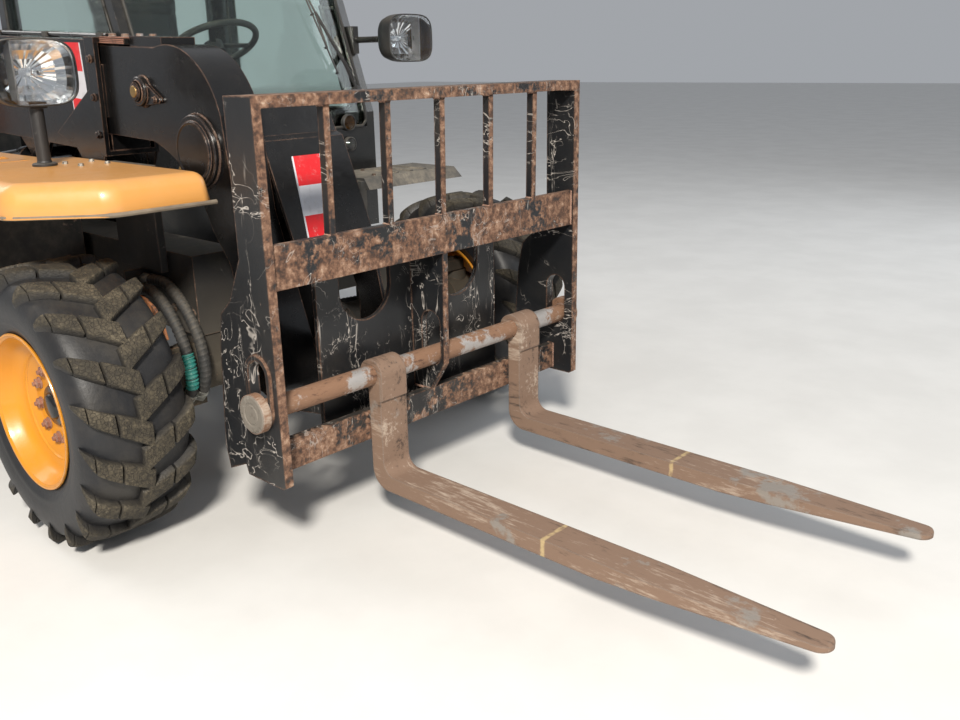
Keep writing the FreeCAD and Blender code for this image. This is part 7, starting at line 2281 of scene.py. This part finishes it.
@dataclass
class Fenders:
    """The rounded yellow fender with its edge strip, and fasteners on all four."""

    low: float = 0.951
    top: float = 1.0345
    wall: float = 0.007
    bottom: tuple[Flat, ...] = ((0.811, -0.501), (0.811, -0.790), (0.629, -0.984), (0.018, -0.984),
                                (0.018, -0.501))
    crown: tuple[Flat, ...] = ((0.782, -0.501), (0.770, -0.770), (0.617, -0.957), (0.018, -0.957),
                               (0.018, -0.501))

    def build(self) -> None:
        """Makes the yellow fender and the bolts of the others."""
        draft = Draft()
        count = len(self.bottom)
        rings = ((self.bottom, self.low), (self.crown, self.top))
        points = [Vector((x, y, z)) for outline, z in rings for x, y in outline]
        faces = [(i, (i + 1) % count, (i + 1) % count + count, i + count) for i in range(count)]
        faces.append(tuple(range(count, 2 * count)))
        draft.add(points, faces)
        shell = draft.mesh("rounded_fender", (BODY_PAINT,))
        soften(shell, 0.030, 6, 12)
        shell = settle(shell)
        thick = shell.modifiers.new("wall", "SOLIDIFY")
        thick.thickness = self.wall
        thick.offset = -1
        place(settle(shell), CHASSIS, "body_yellow", "fender_front_right")
        inner = Draft()
        inner.block((0.177, -0.4762, 0.701), (0.427, -0.4502, 1.024))
        inner.block((0.177, -0.512, 0.971), (0.427, -0.474, 0.981))
        for x in (0.190, 0.402):
            inner.prism(((-0.476, 0.900), (-0.476, 1.020), (-0.700, 1.020), (-0.700, 1.004), (-0.520, 0.960)),
                        Axis.X, x,
                        x + 0.012)
        make(inner, "fender_stay", CHASSIS, "chassis_black", (CHASSIS_PAINT,), 0.003)
        strip = Draft()
        edge = [Vector((x, y, self.low + 0.003)) for x, y in self.bottom[:4]]
        path = [edge[0]]
        for before, corner, after in zip(edge, edge[1:], edge[2:]):
            path += [corner.lerp(before, 0.10), corner.lerp(before, 0.03).lerp(corner.lerp(after, 0.03), 0.5),
                     corner.lerp(after, 0.10)]
        path.append(edge[-1])
        strip.pipe([p + Vector((-0.004, 0.006, 0)) for p in path], 0.0062, 8)
        make(strip, "fender_edge_strip", CHASSIS, "trim_plastic", (EDGE_STRIP,), 0.0)
        for x in (0.250, 0.350):
            for y in (-0.560, -0.640):
                FASTENERS.bolt(CHASSIS, (x, y, self.top), (0, 0, 1), 0.014, "body_yellow")
        for node in ("fender_front_left", "fender_rear_left", "fender_rear_right"):
            low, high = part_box(node)
            middle = (low.x + high.x) / 2
            side = 1 if low.y + high.y > 0 else -1
            for x in (middle - 0.080, middle + 0.080):
                for y in (0.560, 0.640):
                    FASTENERS.bolt(CHASSIS, (x, side * y, high.z), (0, 0, 1), 0.014)
            ribs = Draft()
            for share in (0.25, 0.5, 0.75):
                y = side * (0.60 + 0.30 * share)
                ribs.prism(((y - 0.012, high.z - 0.001), (y + 0.012, high.z - 0.001),
                            (y + 0.006, high.z + 0.005),
                            (y - 0.006, high.z + 0.005)), Axis.X, low.x + 0.060, high.x - 0.060)
            make(ribs, "ribs_" + node, CHASSIS, "trim_plastic", (GUARD_PLASTIC,), 0.0015)


# Under the body


@dataclass
class Underbody:
    """Bolts, covers, boots and straps of the chassis, axles, counterweight and tank."""

    rail_y: float = 0.450

    def build(self) -> None:
        """Makes the small parts of everything under the cab and boom."""
        for axle_x in (FRONT_AXLE_X, REAR_AXLE_X):
            self.axle(axle_x)
        self.rails()
        self.tail()
        self.tank()

    def axle(self, x: float) -> None:
        """The axle's cover with its bolts, bolts of its yokes and boots on its tie rod."""
        name = "front" if x == FRONT_AXLE_X else "rear"
        draft = Draft()
        centre = Vector((x, 0, AXLE_Z))
        draft.lathe(((0.138, 0.108), (0.138, 0.116), (0.112, 0.122), (0.096, 0.136), (0.050, 0.146),
                     (0.0, 0.148)), centre,
                    Axis.X, 48)
        draft.rod(centre + Vector((0.118, 0, -0.100)), centre + Vector((0.134, 0, -0.100)), 0.012, 6, 1)
        for side in (-1, 1):
            profile = [(0.0345, 0.232)]
            for fold in range(9):
                start = 0.236 + fold * 0.018
                profile += [(0.022, start), (0.036 - fold * 0.0010, start + 0.009)]
            profile += [(0.020, 0.402), (0.018, 0.414)]
            draft.lathe(profile, Vector((x - 0.150, 0, AXLE_Z + 0.020)), Axis.Y, 28, 2, sign=side)
            for dx in (-0.030, 0.030):
                FASTENERS.bolt(CHASSIS, (x + dx, side * 0.640, AXLE_Z + 0.153), (0, 0, 1), 0.018,
                               "axle_black")
        make(draft, name + "_axle_cover", CHASSIS, "axle_black", (AXLE_PAINT, BRASS, SEAL), 0.001)
        FASTENERS.circle(CHASSIS, centre + Vector((0.116, 0, 0)), Vector((1, 0, 0)), 0.126, 12, 0.016,
                         "axle_black")
        for corner in Corner:
            if abs(corner.centre.x - x) < 0.01:
                pin = Vector((x, corner.side * 0.735, AXLE_Z + 0.148))
                FASTENERS.bolt("knuckle_" + corner.suffix, pin, (0, 0, 1), 0.022, "axle_black")

    def rails(self) -> None:
        """Bolts on the rails' outer sides over each axle, and a seam along each rail."""
        for side in (-1, 1):
            y = side * self.rail_y
            for axle_x in (FRONT_AXLE_X, REAR_AXLE_X):
                for dx in (-0.055, 0.055):
                    FASTENERS.bolt(CHASSIS, (axle_x + dx, y, 0.548), (0, side, 0), 0.022)
                    FASTENERS.bolt(CHASSIS, (axle_x + dx, y, 0.588), (0, side, 0), 0.022)
            WELDS.seam(CHASSIS, (-1.500, y, 0.521), (0.200, y, 0.521), 0.004, "chassis_black")

    def tail(self) -> None:
        """The tow pin, its ring and the counterweight's bolts and lifting eyes."""
        draft = Draft()
        pin = Vector((-2.398, 0, 0))
        draft.rod(pin + Vector((0, 0, 0.552)), pin + Vector((0, 0, 0.715)), 0.0145, 24)
        draft.rod(pin + Vector((0, 0, 0.705)), pin + Vector((0, 0, 0.716)), 0.022, 24)
        ring = [pin + Vector((0.024 * math.cos(t), 0, 0.738 + 0.024 * math.sin(t)))
                for t in (math.tau * k / 20 for k in range(21))]
        draft.pipe(ring, 0.0045, 8)
        make(draft, "tow_pin", CHASSIS, "steel_worn", (ZINC,), 0.001)
        eyes = Draft()
        for side in (-1, 1):
            y = side * 0.420
            eyes.prism(((-2.330, 0.978), (-2.285, 0.978), (-2.292, 1.012), (-2.308, 1.022), (-2.323, 1.012)),
                       Axis.Y,
                       y - 0.009, y + 0.009)
            for x in (-2.350, -2.290):
                FASTENERS.bolt(CHASSIS, (x, side * 0.250, 0.980), (0, 0, 1), 0.030)
            for z in (0.600, 0.860):
                FASTENERS.bolt(CHASSIS, (-2.300, side * 0.900, z), (0, side, 0), 0.026)
        make(eyes, "lifting_eyes", CHASSIS, "chassis_black", (CAST_PAINT,), 0.003)

    def tank(self) -> None:
        """The tank's cap, straps and the grip of its step."""
        draft = Draft()
        draft.lathe(((0.046, -0.001), (0.046, 0.010), (0.040, 0.014), (0.040, 0.024), (0.036, 0.028),
                     (0.0, 0.028)),
                    Vector((-0.905, 0.850, 0.525)), Axis.Y, 40)
        for row in range(7):
            draft.block((-0.412 + row * 0.036, 0.785, 0.3515), (-0.400 + row * 0.036, 0.846, 0.3575))
        for x in (-0.300, -0.820):
            draft.block((x - 0.020, 0.8495, 0.384), (x + 0.020, 0.8535, 0.596), 1)
            draft.block((x - 0.020, 0.455, 0.3765), (x + 0.020, 0.8535, 0.3805), 1)
            FASTENERS.bolt(CHASSIS, (x, 0.8535, 0.575), (0, 1, 0), 0.016)
        make(draft, "tank_cap_and_straps", CHASSIS, "chassis_black", (PLASTIC, ZINC), 0.0015)


# Studio


@dataclass
class Studio:
    """Pale floor, soft light and the camera at the photograph's angle."""

    eye: Point = (3.016, -1.860, 1.307)
    right: Point = (0.7393, 0.6731, -0.0181)
    up: Point = (-0.1960, 0.2408, 0.9506)
    forward: Point = (-0.6442, 0.6993, -0.3099)
    focal_pixels: float = 925.2
    image_width: float = 960.0
    sensor: float = 36.0

    def build(self) -> None:
        """Makes the camera, the floor and the lights."""
        self.camera()
        self.floor()
        self.lights()
        bpy.context.scene.view_settings.view_transform = "Standard"

    def camera(self) -> None:
        """The camera that sees what the photograph sees."""
        data = bpy.data.cameras.new("camera")
        data.sensor_width = self.sensor
        data.lens = self.focal_pixels / self.image_width * self.sensor
        data.clip_start = 0.05
        data.clip_end = 200
        camera = show("camera", data)
        axes = (Vector(self.right).normalized(), Vector(self.up).normalized(),
                -Vector(self.forward).normalized())
        turn = Matrix.Identity(4)
        for column, axis in enumerate(axes):
            for row in range(3):
                turn[row][column] = axis[row]
        camera.matrix_world = Matrix.Translation(Vector(self.eye)) @ turn
        bpy.context.scene.camera = camera

    def floor(self) -> None:
        """A wide pale floor, and a world of the same tone."""
        draft = Draft()
        size = 40.0
        draft.add(((-size, -size, 0), (size, -size, 0), (size, size, 0), (-size, size, 0)), ((0, 1, 2, 3),))
        plane = draft.mesh("floor", ())
        material = bpy.data.materials.new("floor")
        material.use_nodes = True
        material.node_tree.nodes.clear()
        w = Wiring(material.node_tree)
        place_on = w.put("ShaderNodeTexCoord").outputs["Object"]
        mottle = w.remap(w.noise(place_on, 2.5, 6.0, 0.6), 0.3, 0.7)
        colour = w.blend(mottle, (0.66, 0.655, 0.64), (0.71, 0.705, 0.69))
        shader = w.put("ShaderNodeBsdfPrincipled", {"Base Color": colour, "Roughness": 0.75})
        w.put("ShaderNodeOutputMaterial", {0: shader.outputs[0]})
        plane.data.materials.append(material)
        world = bpy.data.worlds.new("studio")
        world.use_nodes = True
        background = world.node_tree.nodes["Background"]
        background.inputs[0].default_value = (0.90, 0.94, 1.0, 1)
        background.inputs[1].default_value = 0.40
        bpy.context.scene.world = world

    def lights(self) -> None:
        """A soft key from the front right, as the sun stood, and a weak fill."""
        # name, place, size, watts, colour
        lamps = (
            ("key", (5.2, -4.4, 5.2), 1.1, 900.0, (1.0, 0.94, 0.85)),
            ("fill", (2.5, 6.0, 4.0), 4.0, 95.0, (0.90, 0.95, 1.0)),
            ("rear", (-6.0, -2.5, 5.0), 4.0, 150.0, (1.0, 0.98, 0.95)),
        )
        for name, spot, size, watts, colour in lamps:
            data = bpy.data.lights.new(name, "AREA")
            data.shape = "DISK"
            data.size = size
            data.energy = watts
            data.color = colour
            lamp = show(name, data)
            aim = Vector((0.2, 0.0, 0.6)) - Vector(spot)
            lamp.rotation_mode = "QUATERNION"
            lamp.rotation_quaternion = aim.to_track_quat("-Z", "Y")
            lamp.location = spot


def main() -> None:
    """Dresses the frame and builds each sub-assembly in order."""
    logging.basicConfig(level=logging.INFO, format="%(message)s")
    Studio().build()
    dress_nodes()
    for part in (Wheels(), BoomHead(), Plates(), CarriageTrim(), Lamps(), Hoses(), FrontBay(), Seat(), Cab(),
                 EnginePod(), Fenders(), Underbody()):
        part.build()
        LOG.info("%s done", type(part).__name__)
    FASTENERS.build()
    WELDS.build()


if __name__ == "__main__":
    main()
